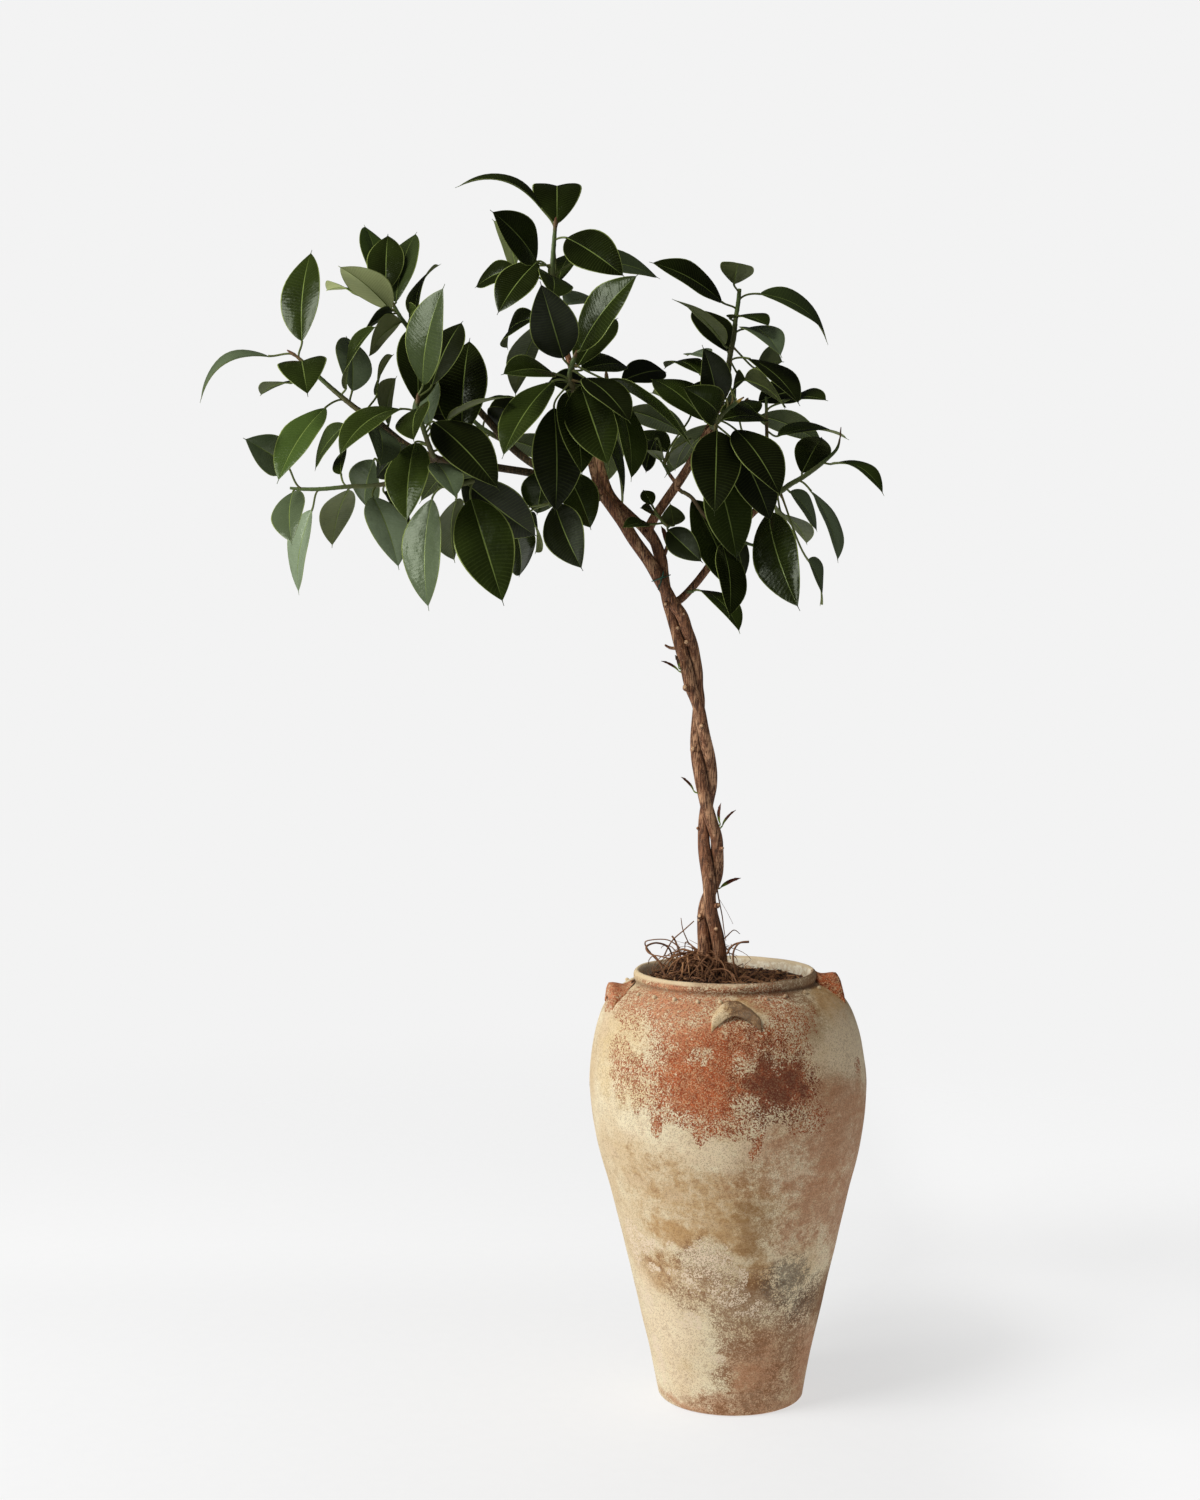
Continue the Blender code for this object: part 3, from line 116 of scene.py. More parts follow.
# Woody paths. Each row is across, down, depth in millimetres and radius in millimetres.
STEM_A = [
    (720.5, 963, 0, 11.3), (718.5, 942, -2, 10.8), (715.5, 928, -5, 10.4), (712, 914, -8.8, 10.2),
    (710, 902, -10.6, 10.1), (709.4, 890, -10.6, 10.0), (708, 878, -8.8, 9.9), (706, 866, -5.2, 9.8),
    (704, 850, 0, 9.6), (703.6, 838, 3.2, 9.5), (704, 823, 8, 9.5), (707, 805, 10.6, 9.4),
    (710.8, 788, 8.2, 9.4), (711.5, 774, 4.4, 9.3), (709.8, 759, 0, 9.3), (706.8, 745, -5.2, 9.2),
    (703, 728, -9.2, 9.2), (697.5, 704, -9.8, 9.2), (690.5, 687, -8.4, 9.2),
    (686.5, 671, -6.6, 9.1), (679.5, 645, -2.2, 9.1), (675.5, 629, 4.6, 9.0),
    (671.8, 615, 7.0, 9.0), (668, 603, 9.2, 9.0), (665, 587, 10.0, 8.9), (663.4, 575, 9.8, 8.8),
    (661.6, 560, 7.5, 8.8), (655.5, 543, 5, 8.8), (648, 530, 3, 8.6),
]
STEM_B = [
    (704, 965, 0, 11.3), (704, 942, 2, 10.8), (703.5, 928, 5, 10.4), (704, 914, 8.8, 10.2),
    (706, 902, 10.6, 10.1), (711, 890, 10.6, 10.0), (715.5, 878, 8.8, 10.0), (717.5, 866, 5.2, 9.9),
    (717.5, 850, 0, 9.8), (716.4, 838, -3.2, 9.8), (712, 823, -8, 9.7), (706.5, 805, -10.6, 9.7),
    (702.4, 788, -8.2, 9.6), (699.5, 774, -4.4, 9.5), (696.8, 759, 0, 9.4), (695.8, 745, 5.2, 9.3),
    (697, 728, 9.2, 9.2), (699, 704, 9.8, 9.3), (697.5, 687, 8.4, 9.2), (697, 671, 6.6, 9.2),
    (692.4, 645, 2.2, 9.2), (687, 629, -4.6, 9.2), (682, 615, -7.0, 9.2), (673.5, 603, -9.2, 9.2),
    (664, 587, -10.0, 9.2), (656.6, 575, -9.8, 9.2), (648, 560, -7.5, 9.4), (634, 540, -4, 9.8),
    (619, 516, -1, 10.0), (603, 495, 0, 9.2),
]
BRANCHES_A = {
    "shoot_right_front": [
        (648, 530, 3, 8.0), (656, 515, 0, 7.6), (676, 486, -10, 7.4), (690, 464, -20, 7.0),
        (703, 441, -34, 6.2), (711, 429, -44, 4.8)],
    "shoot_right_top": [
        (690, 464, -20, 6.4), (703, 440, 0, 6.0), (716, 412, 24, 5.6), (724, 391, 36, 5.2),
        (728, 373, 44, 4.6)],
    "shoot_top": [
        (655.5, 543, 5, 8.0), (643, 528, 15, 7.8), (627, 513, 22, 7.6), (612, 497, 26, 7.2),
        (604, 478, 29, 6.6), (598, 455, 34, 6.2), (590, 425, 42, 5.8), (578, 390, 50, 5.4),
        (566, 350, 58, 5.0), (556, 318, 64, 4.8), (552, 302, 66, 4.5)],
    "shoot_far_right": [
        (668, 606, 8.8, 7.0), (681, 599, 8, 6.6), (696, 583, 6, 6.4), (713, 561, 4, 6.2),
        (735, 532, 4, 5.8), (753, 513, 6, 5.4), (761, 506, 7, 5.2), (767, 501, 7.6, 5.0)],
    "shoot_right_twig": [
        (755, 511, 6, 3.6), (763, 495, 14, 3.4), (768, 476, 22, 3.2), (768, 455, 34, 3.1),
        (767, 438, 42, 3.0)],
    "shoot_inner_twig": [(677, 485, -10, 3.2), (670, 475, -5, 3.0)],
    "shoot_fork": [(657, 513, -2, 3.4), (661, 519, -15, 3.1)],
    "shoot_right_low": [(676, 487, -10, 3.6), (681, 491, -23, 3.3)],
    "shoot_right_first": [(684, 597, 8, 3.4), (687, 593, -2, 3.1)],
    "shoot_back_centre": [(592, 432, 40, 4.6), (597, 421, 66, 4.2)],
    "shoot_back_right": [(716, 412, 24, 4.6), (724, 407, 48, 4.2)],
}
BRANCHES_B = {
    "shoot_centre": [
        (603, 495, 0, 8.2), (596, 478, -5, 7.2), (591, 459, -14, 6.6), (586, 435, -28, 6.0),
        (580, 412, -44, 5.4), (576, 397, -54, 4.8)],
    "shoot_upper_left": [
        (603, 495, 0, 7.2), (591, 486, 6, 7.0), (580, 483, 12, 6.8), (556, 476, 22, 6.4),
        (530, 462, 34, 6.2), (508, 444, 46, 6.0), (492, 425, 56, 5.8), (466, 396, 70, 5.4),
        (440, 366, 82, 5.0), (429, 352, 88, 4.6)],
    "shoot_far_left": [
        (603, 495, 0, 7.4), (594, 498, -4, 7.2), (584, 495, -8, 7.0), (566, 486, -14, 6.6),
        (545, 476, -18, 6.4), (500, 468, -24, 6.2), (450, 462, -24, 5.8), (428, 455, -22, 5.6),
        (408, 446, -18, 5.4), (392, 434, -14, 5.2), (381, 424, -10, 4.8)],
    "shoot_left_front": [(438, 459, -23, 4.8), (434, 456, -36, 4.4)],
    "shoot_left_bare": [(436, 458, -23, 4.8), (426, 464, -8, 4.6), (416, 469, 3, 4.2)],
    "shoot_left_low": [(495, 467, -24, 5.0), (486, 474, -42, 4.6)],
    "shoot_centre_low": [(570, 487, -13, 4.6), (566, 492, -28, 4.2)],
    "shoot_back_left": [(508, 444, 46, 4.8), (502, 440, 68, 4.4)],
}
# The roots that arch clear of the soil, with the same columns
FREE_ROOTS = [
    [(676, 976, 24, 1.6), (670, 950, 14, 1.6), (658, 943, -4, 1.6), (647, 946, -18, 1.6),
     (648, 952, -28, 1.6), (658, 960, -38, 1.6), (670, 988, -48, 1.6)],
    [(740, 988, -20, 1.6), (733, 958, -22, 1.6), (738, 944, -24, 1.6), (749, 941.5, -22, 1.6)],
    [(684, 972, -6, 1.6), (677, 945, -6, 1.6), (672, 936, -2, 1.6)],
]
# The green stems of the shoots, past their seats, with the same columns
SHOOT_STEMS = {
    "shoot_far_left": [
        (369, 416, -7, 4.6), (357, 409, -4, 4.4), (337, 393, 3, 4.1), (319, 377, 8, 3.7),
        (303, 362, 12, 3.2), (296, 356, 13, 2.4), (287, 350, 14, 0.8)],
    "shoot_upper_left": [
        (419, 340, 93, 4.3), (408, 327, 99, 4.0), (401, 318, 103, 3.6), (394, 306, 107, 3.0),
        (388, 297, 109, 0.8)],
    "shoot_left_front": [
        (430, 448, -46, 4.2), (426, 437, -54, 4.0), (421, 421, -64, 3.8), (417.5, 406, -72, 3.2),
        (418, 393, -76, 0.8)],
    "shoot_left_bare": [
        (403, 476, 12, 4.0), (388, 483, 19, 3.9), (370, 486, 25, 3.8), (350, 486.5, 30, 3.6),
        (322, 489, 36, 3.4), (300, 489, 40, 3.0), (290, 488, 41, 2.2)],
    "shoot_left_low": [
        (476, 480, -56, 4.2), (462, 484, -66, 4.0), (447, 486, -75, 3.6), (438, 486, -80, 2.6)],
    "shoot_top": [
        (552, 288, 69, 4.4), (552.5, 265, 73, 4.1), (554, 243, 76, 3.7), (555, 229, 78, 3.2),
        (556, 217, 79, 0.9)],
    "shoot_centre": [
        (572, 386, -61, 4.4), (569.5, 377, -66, 4.2), (571, 368, -70, 3.6), (577, 350, -76, 0.9)],
    "shoot_right_top": [
        (730, 356, 50, 4.4), (734, 336, 56, 4.1), (735.5, 320, 60, 3.8), (738, 304, 64, 3.6),
        (739.5, 289, 67, 3.3)],
    "shoot_right_front": [
        (714, 424, -52, 4.4), (717, 420, -58, 3.8), (728, 409, -66, 2.8), (744, 397, -74, 0.9)],
    "shoot_far_right": [
        (777, 494, 9, 4.7), (790, 484.5, 11, 4.4), (797, 480.5, 12, 4.2), (806, 475, 14, 4.0),
        (821, 464, 16, 3.4), (836, 450, 18, 2.6), (840, 438, 19, 1.2), (841, 427, 19, 0.6)],
    "shoot_inner_twig": [(667, 470, -2, 2.8), (663, 463, 1, 2.4)],
    "shoot_fork": [(664, 523, -23, 2.9), (669, 527, -30, 2.4)],
    "shoot_right_twig": [(766.6, 425, 48, 2.9), (766.4, 410, 54, 2.7), (766, 397, 58, 2.2)],
    "shoot_right_low": [
        (685, 493, -32, 3.2), (693, 499, -38, 3.1), (704, 515, -42, 3.0), (724, 534, -36, 2.8),
        (746, 543, -26, 2.6), (760, 547, -18, 2.0)],
    "shoot_right_first": [(690, 591.5, -9, 2.8), (693, 591.5, -14, 2.4)],
    "shoot_centre_low": [(562, 497, -38, 4.0), (555, 502, -47, 3.6), (550, 506, -53, 2.6)],
    "shoot_back_centre": [
        (602, 410, 92, 4.0), (606, 396, 122, 3.8), (607, 384, 152, 3.4), (606, 370, 172, 0.9)],
    "shoot_back_right": [
        (732, 406, 75, 4.0), (739, 407, 108, 3.7), (744, 405, 138, 3.3), (748, 398, 156, 0.9)],
    "shoot_back_left": [
        (493, 435, 94, 4.1), (482, 428, 122, 3.8), (473, 420, 150, 3.4), (468, 408, 168, 0.9)],
}
LEAVES = {
    "shoot_centre": [
        leaf((581, 386), (609, 468), 52, 0.160, to=-1),
        leaf((567, 392), (582, 477), 38, 0.150, to=-1),
        leaf((563, 358), (540, 281), 46, 0.150, to=-1),
        leaf((580, 350), (640, 273), 34, 0.170, to=-1),
        leaf((578, 366), (618, 318), 30, 0.130, to=1),
        leaf((582, 370), (628, 367), 20, 0.120, to=1),
        leaf((553, 373), (501, 375), 22, 0.130, to=-1),
        leaf((552, 382), (502, 459), 32, 0.165, to=-1),
        leaf((554, 408), (555, 515), 50, 0.178),
        leaf((615, 395), (631, 482), 26, 0.160, to=-1),
        leaf((600, 425), (621, 513), 38, 0.165, to=1),
        leaf((585, 378), (631, 424), 28, 0.140, to=-1),
        leaf((606, 380), (695, 451), 30, 0.188, to=-1),
    ],
    "shoot_right_front": [
        leaf((717, 431), (714.5, 516), 48, 0.160, to=-1),
        leaf((736, 430), (781, 498), 38, 0.160, to=-1),
        leaf((716, 412), (702, 345), 32, 0.140, to=-1),
        leaf((717, 415), (680, 386), 24, 0.120, to=-1, arch=0.14),
        leaf((705, 421), (651, 379), 30, 0.150, to=1),
        leaf((735, 443), (771, 523), 42, 0.160),
        leaf((714, 468), (737, 562), 45, 0.165),
        leaf((722, 420), (768, 421), 18, 0.140, to=1),
        leaf((700, 374), (664, 369), 7, 0.110, to=1, arch=0.14),
        leaf((708, 358), (687, 356), 8, 0.090, to=1),
    ],
    "shoot_left_low": [
        leaf((471, 499), (504, 606), 57, 0.190, to=-1),
        leaf((432, 499), (429, 611), 38, 0.190),
        leaf((436, 463), (456, 499), 27, 0.110, to=-1),
        leaf((462, 480), (538, 537), 50, 0.170, to=1),
        leaf((456, 500), (455, 563), 30, 0.150, to=1, under=True),
    ],
    "shoot_left_front": [
        leaf((434, 422), (500, 491), 44, 0.170, to=-1),
        leaf((415, 443), (407, 524), 41, 0.155, to=-1),
        leaf((423, 384), (445, 284), 36, 0.180, to=-1),
        leaf((400, 409), (338, 458), 24, 0.150, to=-1, arch=0.13),
        leaf((418, 403), (410, 326), 40, 0.150, to=1),
        leaf((448, 420), (513, 397), 26, 0.140, to=-1),
        leaf((432, 385), (463, 321), 18, 0.140, to=1),
        leaf((462, 436), (470, 338), 48, 0.175, to=1),
        leaf((430, 425), (433, 380), 26, 0.120, to=1),
        leaf((420, 407), (414, 442), 28, 0.130, to=-1),
        leaf((408, 447), (376, 479), 14, 0.120, to=1),
    ],
    "shoot_far_left": [
        leaf((302, 341), (312, 250), 36, 0.160, to=1),
        leaf((268, 356), (200, 403), 8, 0.150, arch=0.22),
        leaf((302, 362), (308, 397), 46, 0.150, to=-1, arch=0.12),
        leaf((325, 408), (277, 484), 30, 0.160, to=-1),
        leaf((352, 391), (346, 336), 33, 0.140, to=1),
        leaf((346, 388), (378, 325), 8, 0.150, to=-1, arch=0.10),
        leaf((376, 424), (380, 468), 30, 0.140, to=-1),
        leaf((388, 425), (397, 376), 18, 0.130, to=1, under=True),
        leaf((377, 394), (394, 354), 12, 0.110, to=1, under=True),
        leaf((290, 383), (260, 396), 9, 0.100, to=1, under=True),
        leaf((345, 425), (315, 471), 13, 0.120, to=1),
    ],
    "shoot_upper_left": [
        leaf((378, 287), (364, 225), 28, 0.140, to=1),
        leaf((386, 291), (388, 234), 28, 0.130, to=1),
        leaf((391, 310), (338, 266), 30, 0.140, to=-1, under=True),
        leaf((396, 302), (417, 232), 12, 0.150, to=1),
        leaf((416, 318), (441, 264), 8, 0.130, to=1, arch=0.12),
        leaf((401, 322), (369, 356), 18, 0.130, to=-1, under=True),
        leaf((392, 314), (362, 336), 8, 0.110, to=-1, under=True),
        leaf((352, 292), (326, 291), 7, 0.100, to=1, under=True),
        leaf((410, 322), (418, 308), 9, 0.080, to=-1),
    ],
    "shoot_left_bare": [
        leaf((373, 497), (399, 570), 37, 0.145, to=-1),
        leaf((312, 510), (299, 595), 20, 0.155, to=1),
        leaf((288, 467), (243, 438), 36, 0.130, to=-1),
        leaf((293, 492), (292, 545), 31, 0.130, to=-1),
        leaf((348, 490), (332, 548), 30, 0.130, to=1, under=True),
        leaf((374, 460), (366, 507), 32, 0.140, to=1),
        leaf((384, 492), (411, 555), 11, 0.140, to=1),
        leaf((341, 474), (347, 447), 10, 0.080, to=1),
    ],
    "shoot_top": [
        leaf((557, 224), (557, 191), 47, 0.130, to=1, arch=0.22),
        leaf((541, 208), (455, 188), 7, 0.160, arch=0.20),
        leaf((536, 261), (490, 210), 34, 0.150, to=-1),
        leaf((567, 238), (626, 278), 40, 0.150, to=-1),
        leaf((537, 262), (497, 315), 33, 0.150, to=-1),
        leaf((551, 276), (552, 300), 32, 0.130, to=-1),
        leaf((583, 262), (660, 279), 20, 0.160, to=1),
        leaf((516, 266), (492, 219), 22, 0.120, to=1, under=True),
        leaf((558, 283), (576, 252), 14, 0.110, to=1),
        leaf((515, 268), (475, 288), 18, 0.110, to=1),
        leaf((536, 318), (508, 350), 9, 0.130, to=1, arch=0.16),
        leaf((543, 322), (515, 398), 26, 0.150, to=1, under=True),
        leaf((566, 305), (598, 301), 14, 0.120, to=1),
    ],
    "shoot_right_top": [
        leaf((722, 302), (649, 262), 22, 0.150, to=-1),
        leaf((760, 294), (828, 345), 14, 0.155, to=1, arch=0.15),
        leaf((734, 284), (738, 263), 32, 0.110, to=-1, under=True),
        leaf((728, 352), (692, 309), 28, 0.130, to=1),
        leaf((724, 345), (672, 299), 10, 0.140, to=-1, under=True),
        leaf((730, 318), (770, 327), 8, 0.120, to=-1),
        leaf((743, 329), (782, 358), 20, 0.130, to=-1, arch=0.13),
        leaf((750, 359), (800, 406), 20, 0.150, to=-1),
        leaf((745, 380), (785, 409), 22, 0.140, to=-1, under=True),
        leaf((756, 368), (784, 362), 26, 0.120, to=1, under=True),
    ],
    "shoot_far_right": [
        leaf((768, 513), (800, 611), 51, 0.175, to=-1),
        leaf((811, 491), (838, 563), 14, 0.140, to=-1),
        leaf((831, 464), (884, 496), 11, 0.115, to=-1, arch=0.18),
        leaf((802, 473), (822, 437), 34, 0.120, to=1),
        leaf((790, 492), (817, 532), 14, 0.110, to=1),
        leaf((771, 499), (779, 544), 10, 0.110, to=1, under=True),
        leaf((783, 514), (807, 545), 16, 0.120, to=1, under=True),
        leaf((808, 560), (820, 606), 8, 0.130, to=1),
    ],
    "shoot_right_twig": [
        leaf((783, 402), (828, 401), 10, 0.120, to=-1),
        leaf((778, 436), (849, 440), 7, 0.140, to=1, arch=0.10),
        leaf((757, 413), (736, 402), 12, 0.090, to=1),
    ],
    "shoot_right_low": [
        leaf((692, 500), (732, 591), 42, 0.175, to=-1),
        leaf((722, 545), (729, 619), 28, 0.140, to=-1),
        leaf((733, 540), (741, 588), 22, 0.130, to=1),
    ],
    "shoot_right_first": [
        leaf((698, 590), (740, 634), 18, 0.130, to=-1, arch=0.12),
    ],
    "shoot_inner_twig": [
        leaf((661, 461), (647, 450), 8, 0.050, to=-1, under=True),
        leaf((668, 452), (628, 436), 22, 0.120, to=1),
        leaf((655, 440), (646, 473), 13, 0.080, to=1),
        leaf((690, 440), (675, 471), 17, 0.090, to=1, under=True),
        leaf((690, 410), (650, 393), 13, 0.120, to=1, under=True),
    ],
    "shoot_fork": [
        leaf((668, 530), (703, 563), 28, 0.095, to=-1),
        leaf((674, 525), (670, 503), 24, 0.065, to=1, under=True),
        leaf((649, 524), (622, 528), 11, 0.065, to=-1),
        leaf((654, 513), (640, 508), 9, 0.045, to=-1),
        leaf((652, 505), (643, 490), 10, 0.050, to=1),
    ],
    "shoot_centre_low": [
        leaf((555, 505), (583, 571), 42, 0.145, to=-1),
        leaf((566, 472), (591, 530), 36, 0.140, to=1),
        leaf((530, 515), (535, 554), 12, 0.110, to=1),
        leaf((512, 520), (519, 577), 13, 0.130, to=1),
        leaf((545, 470), (537, 515), 30, 0.130, to=1),
    ],
}
# Shoots behind the crown: leaves round the stem by the golden angle, as across, down and reach
BACK_SHOOTS = ["shoot_back_centre", "shoot_back_right", "shoot_back_left"]
BACK_LEAVES = 6
GOLDEN_ANGLE = math.radians(137.5)
BACK_START = math.radians(80.0)
BACK_STALK = (22.0, 16.0)         # a stalk's reach in the front view, across and down
BACK_REACH = (66.0, 46.0)         # and a blade's
BACK_HANG = 0.55                  # how far the leaves hang
BACK_LENGTH = 0.155
BACK_WIDE = 34.0
# Small reddish side sprouts that stay on the stems, as leaves without a shoot of their own
SPROUTS_A = [
    leaf((679, 671), (661, 661), 4, 0.032, to=-1),
    leaf((679, 668), (675, 655), 5, 0.026, to=-1),
    leaf((668, 547), (661, 526), 9, 0.038, to=-1),
]
SPROUTS_B = [
    leaf((694, 791), (681, 777), 4, 0.032, to=-1),
    leaf((720, 824), (721, 803), 5, 0.036, to=-1),
    leaf((722, 826), (736, 810), 4, 0.034, to=-1),
    leaf((720, 888), (741, 878), 6, 0.036, to=-1),
]
SQUARE_END = 0.003                # straight length at the end of a branch
FOOT_STRAIGHT = 0.03              # each stem stands straight below this depth under its first point
STUBS_A = [
    [(680, 648, -2, 3.2), (671, 648, -4, 2.6), (665, 645, -6, 1.6)],
    [(661.5, 561, 8, 4.2), (665, 553, 6, 3.4), (667.5, 546, 4, 2.8)],
    [(704, 834, 3, 3.4), (697, 827.5, 1, 2.2)],
]
STUBS_B = [
    [(696, 747, 4, 5.0), (693, 749, -5, 2.6)],
    [(704, 920, 6, 5.0), (698.5, 920, -1, 2.8)],
]
TIE_PLACE = (660.0, 578.0)        # where the tie goes round the stems in the front view
TIE_RADIUS = 0.0013
TIE_ROOM = 0.0103                 # from a stem's middle to the tie


def seen(across, down, depth):
    """The point that the front view shows there, at that depth behind the jar's axis."""
    right = (across - VIEW_CENTRE[0]) / VIEW_FOCAL
    rise = (VIEW_CENTRE[1] - down) / VIEW_FOCAL
    ahead = math.cos(VIEW_TILT) + rise * math.sin(VIEW_TILT)
    ray = Vector((right, ahead, rise * math.cos(VIEW_TILT) - math.sin(VIEW_TILT)))
    return VIEWPOINT + ray * ((depth - VIEWPOINT.y) / ray.y)


def seen_path(rows):
    """The points and radii of a path written as across, down, depth and radius."""
    return [(seen(across, down, depth * MILLI), radius * MILLI)
            for across, down, depth, radius in rows]


def limited(value):
    """The value kept from 0 to 1."""
    return min(1.0, max(0.0, value))


def circle(turns):
    """The points of a circle of radius 1, evenly spaced."""
    return [(math.cos(a), math.sin(a)) for a in (2 * math.pi * k / turns for k in range(turns))]


def spans(points):
    """Each span of a row of points: the point before it, its start and end, and the point after."""
    last = len(points) - 1
    return [(points[max(i - 1, 0)], points[i], points[i + 1], points[min(i + 2, last)])
            for i in range(last)]


def spline_point(before, start, end, after, t):
    """The point at the share t of a span, on a smooth curve."""
    return 0.5 * (2 * start + (end - before) * t
                  + (2 * before - 5 * start + 4 * end - after) * t * t
                  + (3 * start - before - 3 * end + after) * t ** 3)


def smooth(points, cuts):
    """Points on a smooth curve through the given vectors, with cuts steps to each span."""
    curve = [spline_point(*span, k / cuts) for span in spans(points) for k in range(cuts)]
    return curve + [points[-1]]


def bezier(points, t):
    """A point and the direction there on the Bezier curve with the given control points."""
    row = list(points)
    while len(row) > 2:
        row = [a.lerp(b, t) for a, b in zip(row, row[1:])]
    return row[0].lerp(row[1], t), (row[1] - row[0]).normalized()


def half_width(u, width):
    """Half a blade's width at the share u of its length: an oval that ends in a drip tip."""
    oval = math.sin(math.pi * min(u / 0.95, 1.0) ** 0.9)
    return max(0.5 * width * max(oval, 0.0) ** 0.7, DRIP_TIP * (1.0 - u) / 0.1)


def stem_line(name, wood, cuts=4):
    """The middle line of a shoot's stem from its seat on the wood, as closely spaced points."""
    seat, along = wood_end(wood)
    start = seat + along * GAP
    first = [start, start + along * SEAT_LENGTH]
    return smooth(first + [point for point, _ in seen_path(SHOOT_STEMS[name])], cuts)


def wood_end(wood):
    """Where a woody path ends, and its direction there."""
    (before, _), (end, _) = seen_path(wood)[-2:]
    return end, (end - before).normalized()


def leaf_place(line, row, taken):
    """The point of a stem's line that a leaf's stalk springs from, other than those taken."""
    gaps = [(seen(*row.base, point.y) - point).length for point in line]
    near = gaps.index(min(gaps))
    back = 0.5 * gaps[near]
    while near > 1 and back > 0.0:
        back -= (line[near] - line[near - 1]).length
        near -= 1
    places = [i for i in range(1, len(line) - 1) if (line[i] - line[0]).length > SEAT_CLEAR]
    return min([i for i in places if i not in taken] or places, key=lambda i: abs(i - near))


def leaf_form(line, place, row, shift=0.0, turn=0.0):
    """Where a leaf lies when its stalk springs from that point of the line.

    shift moves its tip along the eye's line of sight, and turn rolls it about its own axis.
    """
    root = line[place]
    along = (line[place + 1] - line[place - 1]).normalized()
    flat = (seen(*row.tip, root.y) - seen(*row.base, root.y)).length
    depth = row.to * math.sqrt(max(row.long ** 2 - flat ** 2, 0.0)) + shift
    stalk = (seen(*row.base, root.y) - root).length
    base = seen(*row.base, root.y + depth * min(STALK_DEPTH_SHARE, stalk / row.long))
    tip = seen(*row.tip, base.y + depth)
    axis = (tip - base).normalized()
    to_eye = (VIEWPOINT - base).normalized()
    facing = (to_eye - axis * to_eye.dot(axis)).normalized()
    upward = axis.cross(facing)
    if upward.z < 0.0:
        upward.negate()
    scale = (VIEWPOINT - base).length / VIEW_FOCAL
    width = max(BLADE_WIDTH_SHARE * row.long, row.wide * scale)
    roll = math.acos(min(1.0, row.wide * scale / width))
    if row.under:
        roll = math.pi - roll
    roll += turn
    face = facing * math.cos(roll) + upward * math.sin(roll)
    length = (tip - base).length
    middle = (base + tip) / 2 + face * (2.0 * row.arch * length)
    blade = (base, middle, tip)
    start = (middle - base).normalized()
    reach = (base - root).length
    if along.dot(base - root) < 0.0:
        along = (base - root).normalized()
    out = root + along * STALK_BEND * reach
    return Form((root, out, base - start * STALK_BEND * reach, base), blade, face, width)


def cross_frame(points, t, face):
    """A point on a curve with the side and up directions of a ring there."""
    centre, ahead = bezier(points, t)
    side = ahead.cross(face).normalized()
    return centre, side, side.cross(ahead)


def stalk_stations(form):
    """The shares of a stalk's length that have a ring, apart from its end."""
    short = (form.stalk[3] - form.stalk[0]).length < SHORT_STALK
    return STALK_STATIONS[:1] if short else STALK_STATIONS


def leaf_rings(form, radius=STALK_RADIUS, thickness=BLADE_THICKNESS, room=0.0, skip=0):
    """Four-point rings along a leaf: its stalk, then its folded blade. The tip comes last."""
    rings = []
    side = bezier(form.blade, 0.0)[1].cross(form.face)
    for t in reversed(stalk_stations(form)[skip:] + [1.0]):
        centre, ahead = bezier(form.stalk, t)
        side = (side - ahead * side.dot(ahead)).normalized()
        up = side.cross(ahead)
        size = radius + room
        rings.insert(0, [centre - side * size, centre + up * size,
                         centre + side * size, centre - up * size])
    for u in BLADE_STATIONS:
        centre, side, up = cross_frame(form.blade, u, form.face)
        half = half_width(u, form.width)
        lift = up * BLADE_FOLD * half
        rise = up * (thickness / 2 + room)
        half += room
        rings.append([centre - side * half + lift, centre + rise,
                      centre + side * half + lift, centre - rise])
    return rings, form.blade[2]


def skin(rings, tip=None):
    """Points and faces of a closed loft, each side split from its edge line to its middle line."""
    sides = len(rings[0])
    points = [point for ring in rings for point in ring]
    faces = [tuple(range(sides))]
    for i in range(len(rings) - 1):
        for j in range(sides):
            a, b = i * sides + j, i * sides + (j + 1) % sides
            c, d = b + sides, a + sides
            faces += [(a, b, c), (a, c, d)] if j % 2 == 0 else [(a, b, d), (b, c, d)]
    last = (len(rings) - 1) * sides
    if tip is None:
        faces.append(tuple(last + j for j in reversed(range(sides))))
    else:
        points.append(tip)
        faces += [(last + j, last + (j + 1) % sides, len(points) - 1) for j in range(sides)]
    return points, faces


def tube_rings(path, sides=8):
    """Round rings along a path of points and radii."""
    points = [point for point, _ in path]
    rings = []
    for i, (centre, radius) in enumerate(path):
        ahead = (points[min(i + 1, len(points) - 1)] - points[max(i - 1, 0)]).normalized()
        side = ahead.cross(TUBE_SIDE).normalized()
        up = side.cross(ahead)
        rings.append([centre + (side * x + up * y) * radius for x, y in circle(sides)])
    return rings


Body = namedtuple("Body", "low high tree")


def body(rings, tip=None):
    """A test body: its box and its search tree."""
    points, faces = skin(rings, tip)
    low = [min(p[k] for p in points) for k in range(3)]
    high = [max(p[k] for p in points) for k in range(3)]
    return Body(low, high, BVHTree.FromPolygons(points, faces))


def touch(one, other):
    """Whether the surfaces of two test bodies cross."""
    apart = any(one.low[k] > other.high[k] or other.low[k] > one.high[k] for k in range(3))
    return not apart and bool(one.tree.overlap(other.tree))


def tries():
    """The small moves that a leaf may make to lie clear, the smallest first."""
    yield 0.0, 0.0
    for step in range(1, DEPTH_STEPS + 1):
        for turn in TURN_STEPS:
            for way in (-1, 1):
                yield way * step * DEPTH_STEP, math.radians(turn)


